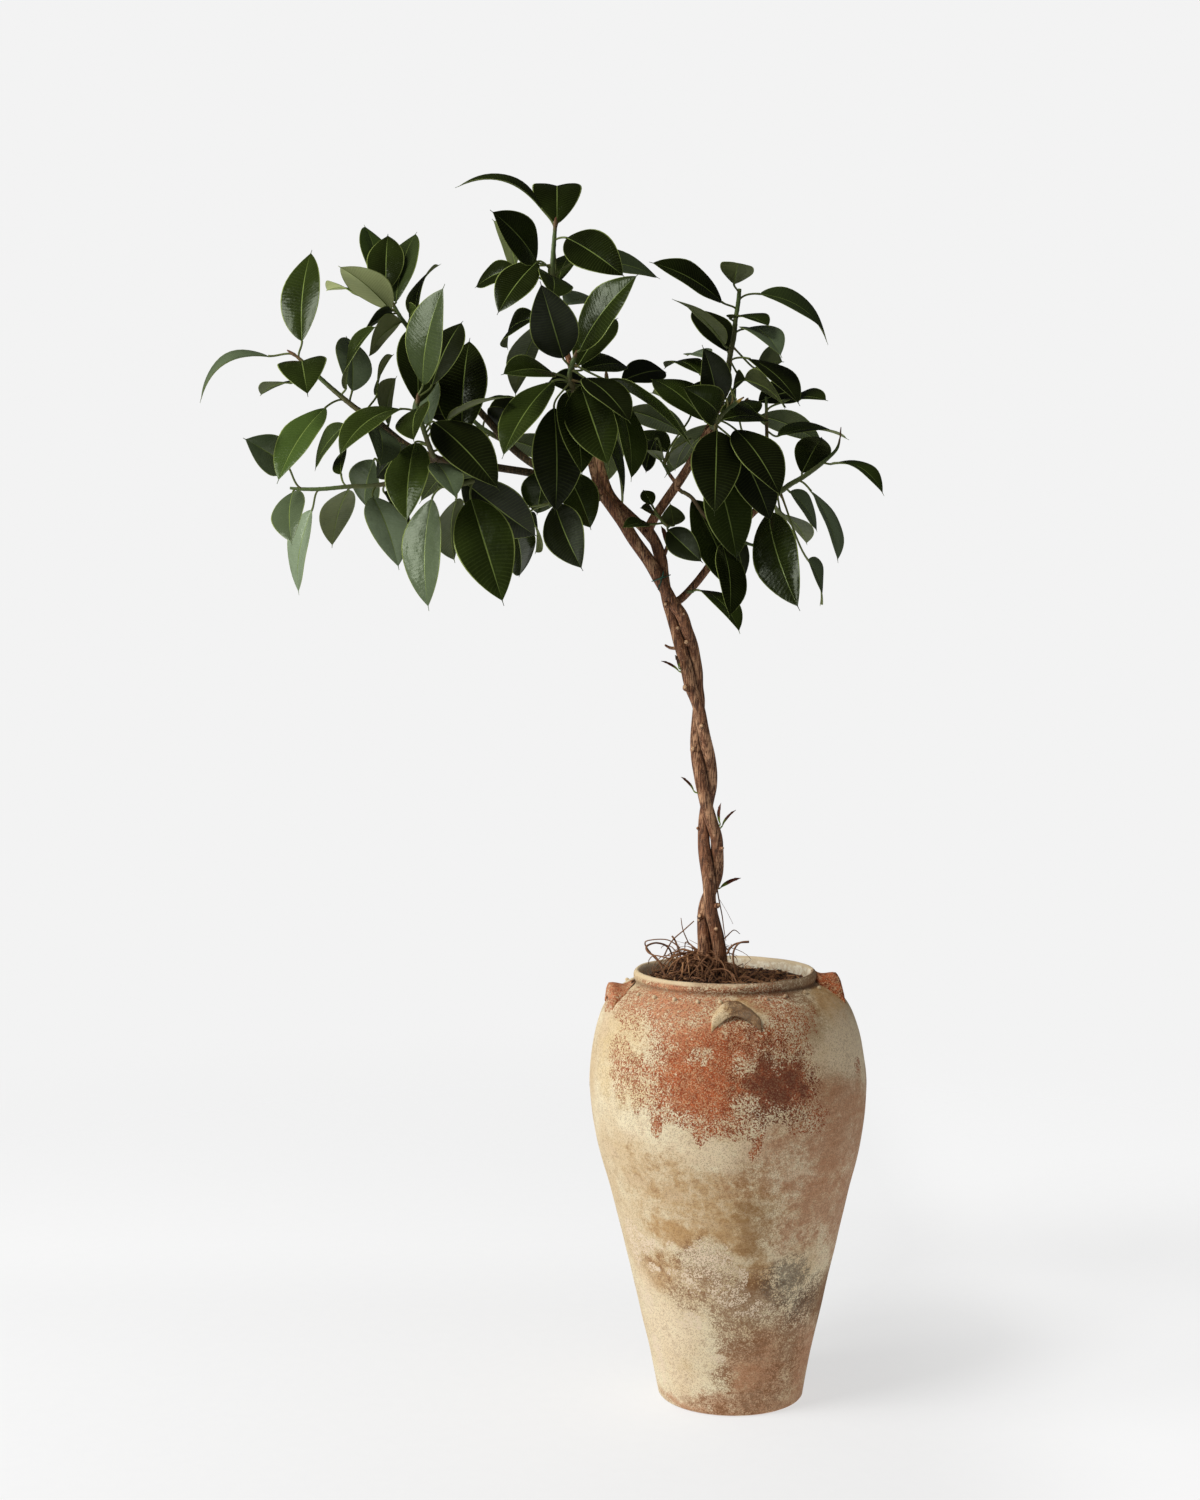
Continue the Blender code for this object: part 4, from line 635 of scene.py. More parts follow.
def clear_forms(shoots, wood):
    """The form of every leaf, each moved a little in depth or roll until it crosses nothing."""
    forms, placed = {}, []
    for name, (line, stem, rows) in shoots.items():
        others = wood + [body(tube_rings(other[1])) for key, other in shoots.items() if key != name]
        own = body(tube_rings(stem))
        forms[name] = []
        taken = set()
        for row in rows:
            place = leaf_place(line, row, taken)
            for shift, turn in tries():
                form = leaf_form(line, place, row, shift, turn)
                stretch = (form.blade[2] - form.blade[0]).length
                if stretch > max(MOST_STRETCH * row.long, LEAST_STRETCH):
                    continue
                whole = body(*leaf_rings(form, room=ROOM))
                outer = body(*leaf_rings(form, room=ROOM, skip=1))
                blade = body(*blade_only(form))
                if (not touch(blade, own) and not any(touch(whole, other) for other in others)
                        and not any(touch(outer if key == name else whole,
                                          last_outer if key == name else last_whole)
                                    for key, last_whole, last_outer in placed)):
                    placed.append((name, whole, outer))
                    forms[name].append(form)
                    taken.add(place)
                    break
            else:
                raise ValueError(f"no clear place for a leaf of {name}: {row}")
    return forms


def blade_only(form):
    """The rings of a leaf's blade without its stalk."""
    rings, tip = leaf_rings(form, room=ROOM)
    return rings[len(stalk_stations(form)) + 1:], tip


def back_rows(name):
    """The leaves of a shoot behind the crown, round its stem by the golden angle."""
    stem = SHOOT_STEMS[name]
    rows = []
    for i in range(BACK_LEAVES):
        share = i / (BACK_LEAVES - 1)
        across, down = [stem[0][k] + (stem[2][k] - stem[0][k]) * share for k in range(2)]
        angle = BACK_START + i * GOLDEN_ANGLE
        out = Vector((math.cos(angle), BACK_HANG - math.sin(angle)))
        base = (across + BACK_STALK[0] * out.x, down + BACK_STALK[1] * out.y)
        tip = (base[0] + BACK_REACH[0] * out.x, base[1] + BACK_REACH[1] * out.y)
        away = i % 3 > 0
        rows.append(leaf(base, tip, BACK_WIDE, BACK_LENGTH, to=1 if away else -1,
                         under=away and out.y > BACK_HANG))
    return rows


def soil_height(x, y):
    """How high the soil stands above its level at a place."""
    heap = math.hypot(x - HEAP_PLACE[0], y - HEAP_PLACE[1]) / HEAP_RADIUS
    crumbs = noise.noise(Vector((x, y, 0.0)) * CRUMBS_PER_METRE)
    return HEAP_HEIGHT * math.exp(-heap * heap) + CRUMB_HEIGHT * crumbs


def root_paths():
    """The roots that lie on the soil, by a rule, and those that arch clear of it."""
    draw = random.Random(ROOT_SEED)
    paths = []
    for i in range(SURFACE_ROOTS):
        start = 2 * math.pi * (i + draw.random()) / SURFACE_ROOTS
        bend = draw.uniform(-ROOT_BEND, ROOT_BEND)
        far = draw.uniform(*ROOT_ENDS)
        path = []
        for k in range(ROOT_POINTS):
            share = k / (ROOT_POINTS - 1)
            radius = ROOT_START + (far - ROOT_START) * share
            angle = start + bend * share
            x, y = radius * math.cos(angle), radius * math.sin(angle)
            sink = ROOT_SINK * (2 * share - 1) ** 2
            height = SOIL_LEVEL + soil_height(x, y) + ROOT_RADIUS / 2 - sink
            path.append((Vector((x, y, height)), ROOT_RADIUS * (1.15 - 0.5 * share)))
        paths.append(path)
    return paths + [seen_path(rows) for rows in FREE_ROOTS]


def wooden_path(rows):
    """A woody path with its last few millimetres straight, so that its end is square."""
    path = seen_path(rows)
    end, along = wood_end(rows)
    return path[:-1] + [(end - along * SQUARE_END, path[-1][1]), path[-1]]


def shoot_path(name, wood):
    """The points and radii of a shoot's green stem, from its seat to its bud."""
    seat, along = wood_end(wood)
    rows = seen_path(SHOOT_STEMS[name])
    width = rows[0][1]
    start = seat + along * GAP
    return [(start, width), (start + along * SEAT_LENGTH, width)] + rows


# Fine shapes
STEM_SIDES = 28
BRANCH_SIDES = 14
SHOOT_SIDES = 12
STALK_SIDES = 8
WOOD_STEP = 0.004                 # length of wood between two rings
SHOOT_STEP = 0.002                # and of a shoot or a stub
BARK_RADIUS = 0.009               # of a stem that has the next two in full
BARK_RIDGE = 0.00045              # height of the bark's ridges
BARK_SWELL = 0.00055              # and of its slow swellings
RING_GAP = 0.0125                 # between the ring scars of a green stem
BLADE_ROWS = 22
BLADE_COLUMNS = [0.0, 0.03, 0.09, 0.25, 0.45, 0.65, 0.84, 0.955, 1.0]
BLADE_HALF = 0.00032              # half the thickness of a fine blade
FINE_WIDE = 1.04                  # a fine blade's width, of the solid's
BLADE_WAVE = 0.030                # waves of the edge, of a blade's half width
WAVE_SHIFT = 1.1                  # how far those of its two edges are out of step, in radians
BLADE_BULGE = 0.05                # rise of each half's middle, of a blade's half width
EVEN_SHARE = 0.015                # how much of a blade's rows are evenly spaced
GROOVE_WIDTH, GROOVE_DEPTH = 0.0010, 0.0005    # of the groove over the midrib
MIDRIB_RADIUS = 0.0011
RIB_END = 0.97                    # where the midrib ends, of the blade's length
STALK_CUTS, RIB_CUTS, RIB_SIDES = 12, 14, 6
FINE_STALK = 0.85                 # a fine stalk's radius, of the solid's
BUD_RADIUS = 0.0015               # a green stem that ends thinner than this ends in a bud
BUD_SWELL = ((0.3, 1.25), (0.7, 0.85))     # a bud's radii, of its foot's, by share of its length
YELLOW_BUDS = ("shoot_right_front",)
LEAF_SEED, SPROUT_SEED, STUD_SEED, SOIL_SEED = 3, 5, 31, 11
LEAF_MARKS = ("kind", "tone", "along", "across", "under")
BLADE, STALK, RIB, GREEN_STEM = 0.0, 1.0, 2.0, 3.0    # the values of the mark called kind


def new_object(name, data):
    """A new object in the scene with that data."""
    obj = bpy.data.objects.new(name, data)
    bpy.context.scene.collection.objects.link(obj)
    return obj


class Shape:
    """Points, faces and marks, which are values at each point, of a piece under construction."""

    def __init__(self, *names):
        self.points, self.faces = [], []
        self.marks = {name: [] for name in names}

    def add(self, points, faces, **marks):
        """Adds a body. A mark is one value for all its points or a list with one for each."""
        first = len(self.points)
        self.points += [tuple(point) for point in points]
        self.faces += [tuple(first + i for i in face) for face in faces]
        for name, values in self.marks.items():
            mark = marks.get(name, 0.0)
            values += mark if isinstance(mark, list) else [mark] * len(points)

    def tube(self, path, sides, relief=None, **marks):
        """Adds a closed round tube. Its mark called along is the share of its length so far."""
        points, faces, along = tube_body(path, sides, relief)
        self.add(points, faces, **{"along": along, **marks})

    def piece(self, name, material, slot, *nodes):
        """Makes the piece, which rides on the plant's body, and hides the solids of the given nodes.
        """
        mesh = bpy.data.meshes.new(name)
        mesh.from_pydata(self.points, [], self.faces)
        for mark, values in self.marks.items():
            mesh.attributes.new(mark, "FLOAT", "POINT").data.foreach_set("value", values)
        mesh.shade_smooth()
        mesh.materials.append(material)
        obj = new_object(name, mesh)
        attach(obj, "root")
        if nodes:
            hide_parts(*nodes)


def path_along(path, step):
    """A path of points and radii laid out again on a smooth curve, with its rings a step apart."""
    fine = []
    for span, (one, radius), (other, end) in zip(spans([row[0] for row in path]), path, path[1:]):
        cuts = max(2, round((other - one).length / step))
        for k in range(cuts):
            t = k / cuts
            fine.append((spline_point(*span, t), radius + (end - radius) * t))
    return fine + [path[-1]]


def ring_quads(rings, sides):
    """The faces that join a row of rings, without the ends."""
    quads = []
    for i in range(rings - 1):
        for k in range(sides):
            a, b = i * sides + k, i * sides + (k + 1) % sides
            quads.append((a, b, b + sides, a + sides))
    return quads


def tube_faces(rings, sides):
    """The faces of a closed tube, with its two ends last."""
    ends = [tuple(reversed(range(sides))), tuple(range((rings - 1) * sides, rings * sides))]
    return ring_quads(rings, sides) + ends


def turned_faces(rings, turns):
    """The faces of a turned body whose first and last points are the middles of its ends."""
    faces, last = [], 1 + (rings - 1) * turns
    for k in range(turns):
        after = (k + 1) % turns
        faces += [(0, 1 + after, 1 + k), (last + k, last + after, last + turns)]
        for i in range(rings - 1):
            a, b = 1 + i * turns + k, 1 + i * turns + after
            faces.append((a, b, b + turns, a + turns))
    return faces


def turned_over(faces):
    """The same faces, seen from the other side."""
    return [(face[0], *face[:0:-1]) for face in faces]


def tube_body(path, sides, relief=None):
    """A closed round tube along a path: its points and faces, and the share of its length so far.

    relief is added to the radius. It takes the length so far, the angle and the radius.
    """
    points, lengths = [], []
    middles = [point for point, _ in path]
    side, length = TUBE_SIDE, 0.0
    for i, (centre, radius) in enumerate(path):
        ahead = (middles[min(i + 1, len(path) - 1)] - middles[max(i - 1, 0)]).normalized()
        side = (side - ahead * side.dot(ahead)).normalized()
        up = ahead.cross(side)
        length += (centre - middles[i - 1]).length if i else 0.0
        for k in range(sides):
            angle = 2 * math.pi * k / sides
            size = radius + (relief(length, angle, radius) if relief else 0.0)
            points.append(centre + (side * math.cos(angle) + up * math.sin(angle)) * size)
            lengths.append(length)
    return points, tube_faces(len(path), sides), [value / max(length, MILLI) for value in lengths]


def bark_relief(seed, amount=1.0):
    """The relief of bark: long broken ridges on slow swellings."""
    def relief(length, angle, radius):
        ring = Vector((math.cos(angle), math.sin(angle), 0.0))
        ridges = noise.noise(ring * 2.6 + Vector((seed, 0.0, length * 32)))
        swell = noise.noise(ring * 0.7 + Vector((seed, 5.0, length * 26)))
        return amount * (BARK_RIDGE * ridges + BARK_SWELL * swell) * radius / BARK_RADIUS
    return relief


def fine_half_width(u, width):
    """Half a fine blade's width: an oval with a tapered base, and a short drip tip."""
    oval = max(0.0, math.sin(math.pi * min(u / 0.95, 1.0) ** 0.9)) ** 0.8
    tip = DRIP_TIP * (1.0 - u) / 0.13 if u > 0.75 else 0.0
    return max(0.5 * width * oval, tip, 0.0005)


def sheet_faces(rows, across):
    """The faces of a thin closed sheet whose upper points come first, row by row, then the lower."""
    faces, under = [], rows * across
    for i in range(rows - 1):
        for j in range(across - 1):
            a = i * across + j
            b, c, d = a + 1, a + across + 1, a + across
            faces += [(a, b, c, d), (under + a, under + d, under + c, under + b)]
        for j, flip in ((0, False), (across - 1, True)):
            a, d = i * across + j, (i + 1) * across + j
            rim = (a, d, under + d, under + a)
            faces.append(rim[::-1] if flip else rim)
    for i, flip in ((0, True), (rows - 1, False)):
        for j in range(across - 1):
            a, b = i * across + j, i * across + j + 1
            rim = (a, b, under + b, under + a)
            faces.append(rim[::-1] if flip else rim)
    return faces


def blade_surface(form, draw):
    """The points, faces and marks of one fine blade: both faces, folded, arched and waved."""
    columns = [-v for v in BLADE_COLUMNS[:0:-1]] + BLADE_COLUMNS
    phase, waves = draw.uniform(0, 2 * math.pi), draw.uniform(1.2, 2.2)
    points = []
    marks = {"along": [], "across": [], "under": []}
    for side_sign in (1, -1):
        for i in range(BLADE_ROWS + 1):
            bunched = (1 - math.cos(math.pi * i / BLADE_ROWS)) / 2
            u = bunched * (1.0 - EVEN_SHARE) + EVEN_SHARE * i / BLADE_ROWS
            centre, side, up = cross_frame(form.blade, u, form.face)
            half = fine_half_width(u, form.width * FINE_WIDE)
            for v in columns:
                reach = abs(v)
                wave = math.sin(2 * math.pi * waves * u + phase + (WAVE_SHIFT if v > 0 else 0.0))
                lift = BLADE_FOLD * half * reach ** 1.25
                lift += BLADE_BULGE * half * math.sin(math.pi * reach)
                lift += BLADE_WAVE * half * wave * reach ** 2
                groove = math.exp(-(v * half / GROOVE_WIDTH) ** 2) * GROOVE_DEPTH * (1.0 - u)
                thick = BLADE_HALF * (1.0 - 0.6 * reach ** 3)
                points.append(centre + side * v * half + up * (lift - groove + thick * side_sign))
                marks["along"].append(u)
                marks["across"].append(v)
                marks["under"].append(0.0 if side_sign > 0 else 1.0)
    return points, sheet_faces(BLADE_ROWS + 1, len(columns)), marks


def leaf_body(shape, form, draw, scale=1.0, shade=None):
    """Adds one leaf to a shape: its stalk, its midrib under the blade, and its blade.

    shade is its tone where the photo shows one, which holds painted light and shade, and below zero
    its pale face is turned away.
    """
    tone = draw.random() if shade is None else abs(shade)
    points, faces, marks = blade_surface(form, draw)
    if shade is not None and shade < 0.0:
        marks["under"] = [1.0 - value for value in marks["under"]]
    shape.add(points, faces, kind=BLADE, tone=tone, **marks)
    radius = STALK_RADIUS * FINE_STALK * scale
    stalk = []
    for i in range(STALK_CUTS + 1):
        t = i / STALK_CUTS
        swell = 1.0 + 0.45 * math.exp(-(t / 0.10) ** 2) + 0.2 * math.exp(-((1 - t) / 0.08) ** 2)
        stalk.append((bezier(form.stalk, t)[0], radius * swell))
    shape.tube(stalk, STALK_SIDES, kind=STALK, tone=tone)
    rib = []
    for i in range(RIB_CUTS + 1):
        u = RIB_END * i / RIB_CUTS
        centre, _, up = cross_frame(form.blade, u, form.face)
        size = MIDRIB_RADIUS * scale * (1.0 - 0.8 * u)
        rib.append((centre - up * (BLADE_HALF + 0.35 * size), size))
    shape.tube(rib, RIB_SIDES, kind=RIB, tone=tone, under=1.0)


def ring_relief(length, _angle, radius):
    """The relief of a green stem: a low ring at each old leaf's place."""
    place = (length % RING_GAP) / RING_GAP - 0.5
    return 0.09 * radius * math.exp(-(place / 0.10) ** 2)


# Tones from 0 for dark to 1 for bright of the leaves whose tone the photo shows, by their base.
# A tone holds the leaf's own colour and painted light: low where the leaf stands in shade, and
# from 0.80 to 0.94 a painted sheen
LEAF_TONE_AND_LIGHT = {
    (302, 341): 0.55, (268, 356): 0.86, (302, 362): 0.55, (325, 408): 0.97, (345, 425): 0.82,
    (400, 409): 0.79, (352, 391): 0.87, (346, 388): 0.60, (378, 287): 0.97, (386, 291): 0.30,
    (391, 310): 0.95, (396, 302): 0.82, (401, 322): 0.75, (423, 384): 0.83, (418, 403): 0.25,
    (462, 436): 0.12, (448, 420): 0.79, (434, 422): 0.06, (415, 443): 0.79, (376, 424): 0.85,
    (374, 460): 0.85, (373, 497): 0.935, (312, 510): 0.93, (348, 490): 0.25, (293, 492): 0.85,
    (288, 467): 0.86, (432, 499): 0.86, (456, 500): 0.30, (471, 499): 0.55, (462, 480): 0.03,
    (552, 382): 0.62, (553, 373): 0.60, (563, 358): 0.02, (580, 350): 0.50, (567, 238): 0.20,
    (537, 262): 0.12, (536, 261): 0.35, (516, 266): 0.30, (420, 407): 0.50, (515, 268): 0.30,
    (557, 224): 0.30, (543, 322): 0.15, (581, 386): 0.30, (554, 408): 0.10, (555, 505): 0.06,
    (585, 378): 0.08, (567, 392): 0.30, (606, 380): -0.70, (714, 468): 0.50, (717, 431): 0.10,
    (736, 430): 0.06, (735, 443): 0.04, (768, 513): 0.30, (745, 380): 0.40, (756, 368): 0.10,
    (750, 359): 0.05, (743, 329): 0.86, (760, 294): 0.82, (734, 284): 0.45, (722, 302): 0.20,
    (724, 345): 0.50, (728, 352): 0.06, (716, 412): 0.03, (717, 415): 0.40, (705, 421): 0.60,
    (722, 420): 0.40, (802, 473): 0.20, (831, 464): 0.70, (811, 491): 0.87, (790, 492): 0.86,
    (783, 514): 0.30, (771, 499): 0.60, (808, 560): 0.85, (692, 500): 0.35, (733, 540): 0.10,
    (722, 545): 0.15, (698, 590): 0.60, (668, 530): 0.08, (674, 525): 0.30, (778, 436): 0.70,
    (783, 402): 0.30,
}
BACK_SHADE_TONE = 0.10                  # the most of a leaf behind the crown, kept dark as painted shade
BACK_SLIM = 0.72                  # and its width, of the solid's


def make_shoot(name, path, forms, rows, material, draw):
    """One leafy shoot in place of its solid."""
    shape = Shape(*LEAF_MARKS)
    bud = 0.0
    if path[-1][1] < BUD_RADIUS:
        (foot, radius), (tip, _) = path[-2:]
        spear = [(foot + (tip - foot) * share, radius * size) for share, size in BUD_SWELL]
        path = path[:-1] + spear + path[-1:]
        bud = 1.0 if name in YELLOW_BUDS else 0.7
    shape.tube(path_along(path, SHOOT_STEP), SHOOT_SIDES, ring_relief, kind=GREEN_STEM, tone=bud)
    for form, row in zip(forms, rows):
        shade = LEAF_TONE_AND_LIGHT.get(row.base)
        if name in BACK_SHOOTS:
            # leaves behind the crown are kept dark, as painted shade
            shade = BACK_SHADE_TONE * draw.random()
            form = form._replace(width=BACK_SLIM * form.width)
        leaf_body(shape, form, draw, shade=shade)
    shape.piece(name + "_fine", material, "leaf", name)


# Materials
class Nodes:
    """A short way to write a material's nodes."""

    def __init__(self, name):
        self.material = bpy.data.materials.new(name)
        self.material.use_nodes = True
        self.tree = self.material.node_tree
        self.shader = self.tree.nodes["Principled BSDF"]

    def put(self, socket, value):
        """Sets a socket to a value, or links it to another socket."""
        if isinstance(value, bpy.types.NodeSocket):
            self.tree.links.new(value, socket)
        elif isinstance(value, tuple) and len(value) == 3 and socket.type == "RGBA":
            socket.default_value = (*value, 1.0)
        else:
            socket.default_value = value

    def node(self, kind, result=0, settings=None, **inputs):
        """A node's output socket, with its inputs given by name."""
        node = self.tree.nodes.new("ShaderNode" + kind)
        for key, value in (settings or {}).items():
            setattr(node, key, value)
        for key, value in inputs.items():
            self.put(node.inputs[key.replace("_", " ").title()], value)
        return node.outputs[result]

    def mark(self, name):
        """A value that the mesh holds at each point."""
        return self.node("Attribute", "Fac", {"attribute_name": name})

    def math(self, operation, first, second=0.0):
        """One sum on numbers."""
        node = self.tree.nodes.new("ShaderNodeMath")
        node.operation = operation
        self.put(node.inputs[0], first)
        self.put(node.inputs[1], second)
        return node.outputs[0]

    def times(self, first, second):
        """A product."""
        return self.math("MULTIPLY", first, second)

    def plus(self, first, second):
        """A sum."""
        return self.math("ADD", first, second)

    def mix(self, share, first, second):
        """A mix of two colours."""
        node = self.tree.nodes.new("ShaderNodeMix")
        node.data_type = "RGBA"
        for place, value in ((0, share), (6, first), (7, second)):
            self.put(node.inputs[place], value)
        return node.outputs[2]

    def step(self, value, low, high, start=0.0, end=1.0):
        """A smooth step from one value to another between two limits."""
        node = self.tree.nodes.new("ShaderNodeMapRange")
        node.interpolation_type = "SMOOTHSTEP"
        for socket, given in zip(node.inputs, (value, low, high, start, end)):
            self.put(socket, given)
        return node.outputs[0]

    def noise(self, scale, detail=4.0, roughness=0.5, squash=None, distortion=0.0):
        """Noise in the object's own space, which may be squashed along its axes."""
        place = self.node("TexCoord", "Object")
        if squash:
            place = self.node("VectorMath", 0, {"operation": "MULTIPLY"}, vector=place)
            self.put(place.node.inputs[1], squash)
        return self.node("TexNoise", "Fac", scale=scale, detail=detail, roughness=roughness,
                         distortion=distortion, vector=place)

    def cells(self, scale):
        """A chance value for each of many small grains."""
        place = self.node("TexCoord", "Object")
        bent = self.node("VectorMath", 0, {"operation": "MULTIPLY_ADD"}, vector=place)
        self.put(bent.node.inputs[1], (1.0, 1.0, 1.0))
        wave = self.tree.nodes.new("ShaderNodeTexNoise")
        self.put(wave.inputs["Scale"], scale * 0.8)
        self.put(wave.inputs["Vector"], place)
        small = self.node("VectorMath", 0, {"operation": "SCALE"}, vector=wave.outputs["Color"],
                          scale=0.5 / scale)
        self.put(bent.node.inputs[2], small)
        return self.node("TexVoronoi", "Color", scale=scale, vector=bent)

    def bump(self, height, distance, strength, normal=None):
        """A bump's normal."""
        inputs = {"height": height, "distance": distance, "strength": strength}
        if normal:
            inputs["normal"] = normal
        return self.node("Bump", 0, **inputs)

    def finish(self, colour, roughness, normal):
        """Ends the material."""
        self.put(self.shader.inputs["Base Color"], colour)
        self.put(self.shader.inputs["Roughness"], roughness)
        self.put(self.shader.inputs["Normal"], normal)
        return self.material


def hue(red, green, blue):
    """A colour given on the usual scale to 255, as linear light."""
    return tuple(((value / 255 + 0.055) / 1.055) ** 2.4 for value in (red, green, blue))


VEINS = 30.0                      # side veins from a blade's base to its tip
VEIN_LEAN = 2.2                   # how many veins' widths one leans forward up to the edge
LEAF_DARK, LEAF_LIGHT = (0.0065, 0.0082, 0.0014), (0.0310, 0.0470, 0.0075)
# the second of these is a painted sheen: a pale silvery colour that stands for a gloss highlight
LEAF_YOUNG, LEAF_PAINTED_SHEEN = (0.055, 0.090, 0.018), (0.240, 0.300, 0.190)
LEAF_BACK_DARK, LEAF_BACK_LIGHT = (0.030, 0.043, 0.011), (0.260, 0.290, 0.115)
# the palest underside colour: partly its own pale colour, partly painted light shining through the
# leaf
LEAF_BACK_PALE_AND_LIT = (0.560, 0.620, 0.270)
LEAF_RIB, LEAF_RIM = (0.190, 0.250, 0.060), (0.270, 0.330, 0.085)
LEAF_GLOSS = (0.86, 0.95, 0.74)
STALK_GREEN, STALK_RED = (0.150, 0.180, 0.055), (0.240, 0.110, 0.060)
STEM_GREEN, STEM_BROWN = (0.105, 0.145, 0.050), (0.140, 0.095, 0.050)
BUD_RED, BUD_YELLOW, BUD_GOLD = (0.170, 0.062, 0.040), (0.170, 0.100, 0.050), (0.700, 0.450, 0.090)
SPROUT_GREEN, SPROUT_BROWN = (0.300, 0.430, 0.070), (0.110, 0.030, 0.020)


def leaf_material(name, warm=0.0):
    """Waxy leaves with a pale midrib and rim, a painted silvery sheen on some and painted shade in the
    tones of others, their stalks, and the green stem and bud.
    """
    n = Nodes(name)
    kind, tone, along = n.mark("kind"), n.mark("tone"), n.mark("along")
    side, under = n.math("ABSOLUTE", n.mark("across")), n.mark("under")
    cloud = n.noise(11.0, 3.0)
    mottle = n.noise(70.0, 5.0, 0.65)
    grain = n.noise(900.0, 2.0)
    lean = n.times(side, VEIN_LEAN)
    stroke = n.math("PINGPONG", n.math("SUBTRACT", n.times(along, VEINS), lean), 0.5)
    middle = n.times(n.step(side, 0.04, 0.12), n.step(side, 0.90, 0.97, 1.0, 0.0))
    vein = n.times(n.step(stroke, 0.0, 0.13, 1.0, 0.0), middle)

    # a leaf's tone, which holds painted shade, sets how light its top and underside are
    shade = n.plus(n.times(tone, 0.55), n.times(cloud, 0.6))
    top = n.mix(n.step(shade, 0.25, 0.85), LEAF_DARK, LEAF_LIGHT)
    # painted sheen: leaves with tones from 0.80 to 0.94 get a pale silvery colour
    painted_sheen = n.times(n.step(tone, 0.80, 0.94), n.step(mottle, 0.2, 0.8, 0.8, 1.0))
    top = n.mix(painted_sheen, top, LEAF_PAINTED_SHEEN)
    top = n.mix(n.step(tone, 0.955, 0.965), top, LEAF_YOUNG)
    top = n.mix(n.times(vein, 0.12), top, LEAF_RIB)
    top = n.mix(n.times(n.step(mottle, 0.55, 0.8), 0.25), top, LEAF_LIGHT)
    rib = n.times(n.step(side, 0.012, 0.034, 1.0, 0.0), n.step(along, 0.55, 1.0, 1.0, 0.4))
    top = n.mix(rib, top, LEAF_RIB)
    back = n.mix(n.step(shade, 0.2, 0.9), LEAF_BACK_DARK, LEAF_BACK_LIGHT)
    # the palest undersides: their own pale colour with painted light shining through them
    back = n.mix(n.step(tone, 0.935, 0.945), back, LEAF_BACK_PALE_AND_LIT)
    back = n.mix(n.times(vein, 0.4), back, LEAF_RIB)
    blade = n.mix(n.step(under, 0.4, 0.6), top, back)
    blade = n.mix(n.times(n.step(side, 0.945, 0.972), 0.9), blade, LEAF_RIM)
    blade = n.mix(warm, blade, n.mix(n.step(along, 0.22, 0.42), SPROUT_GREEN, SPROUT_BROWN))

    foot = n.step(along, 0.0, 0.35, 1.0, 0.0)
    stalk = n.mix(n.times(foot, n.step(mottle, 0.3, 0.7)), STALK_GREEN, STALK_RED)
    stalk = n.mix(warm, stalk, SPROUT_GREEN)
    stem = n.mix(n.step(n.plus(cloud, n.times(along, -0.35)), 0.2, 0.6),
                 STEM_GREEN, STEM_BROWN)
    stem = n.mix(n.times(n.step(mottle, 0.5, 0.75), 0.5), stem, STALK_GREEN)
    bud = n.mix(n.step(along, 0.93, 1.0), n.mix(n.step(tone, 0.8, 0.9), BUD_YELLOW, BUD_GOLD), BUD_RED)
    bud_share = n.times(n.step(tone, 0.4, 0.6), n.step(along, 0.80, 0.90))
    stem = n.mix(bud_share, stem, bud)
    colour = n.mix(n.step(kind, 0.4, 0.6), blade, stalk)
    colour = n.mix(n.step(kind, 1.4, 1.6), colour, LEAF_RIB)
    colour = n.mix(n.step(kind, 2.4, 2.6), colour, stem)

    matt = n.math("MAXIMUM", n.times(under, 0.26), n.step(kind, 0.4, 0.6, 0.0, 0.16))
    matt = n.plus(matt, n.step(tone, 0.09, 0.12, 0.26, 0.0))
    rough = n.plus(n.step(mottle, 0.3, 0.75, 0.20, 0.32), matt)
    n.put(n.shader.inputs["Specular IOR Level"], 0.36)
    n.put(n.shader.inputs["Specular Tint"], LEAF_GLOSS)
    ridge = n.plus(n.times(n.times(stroke, middle), -0.9), n.times(mottle, 0.5))
    normal = n.bump(n.noise(34.0, 3.0), 0.006, 0.4)
    normal = n.bump(ridge, 0.0005, 0.35, normal)
    normal = n.bump(grain, 0.0001, 0.3, normal)
    return n.finish(colour, rough, normal)


BARK_DARK, BARK_MID, BARK_PALE = hue(82, 50, 32), hue(158, 106, 72), hue(204, 158, 120)
BARK_YOUNG = hue(62, 60, 38)
# the fissure colour also paints the shade in the cleft between the stems
BARK_CUT, BARK_CORK, BARK_FISSURE_AND_SHADE = hue(226, 192, 150), hue(204, 170, 134), hue(48, 32, 24)


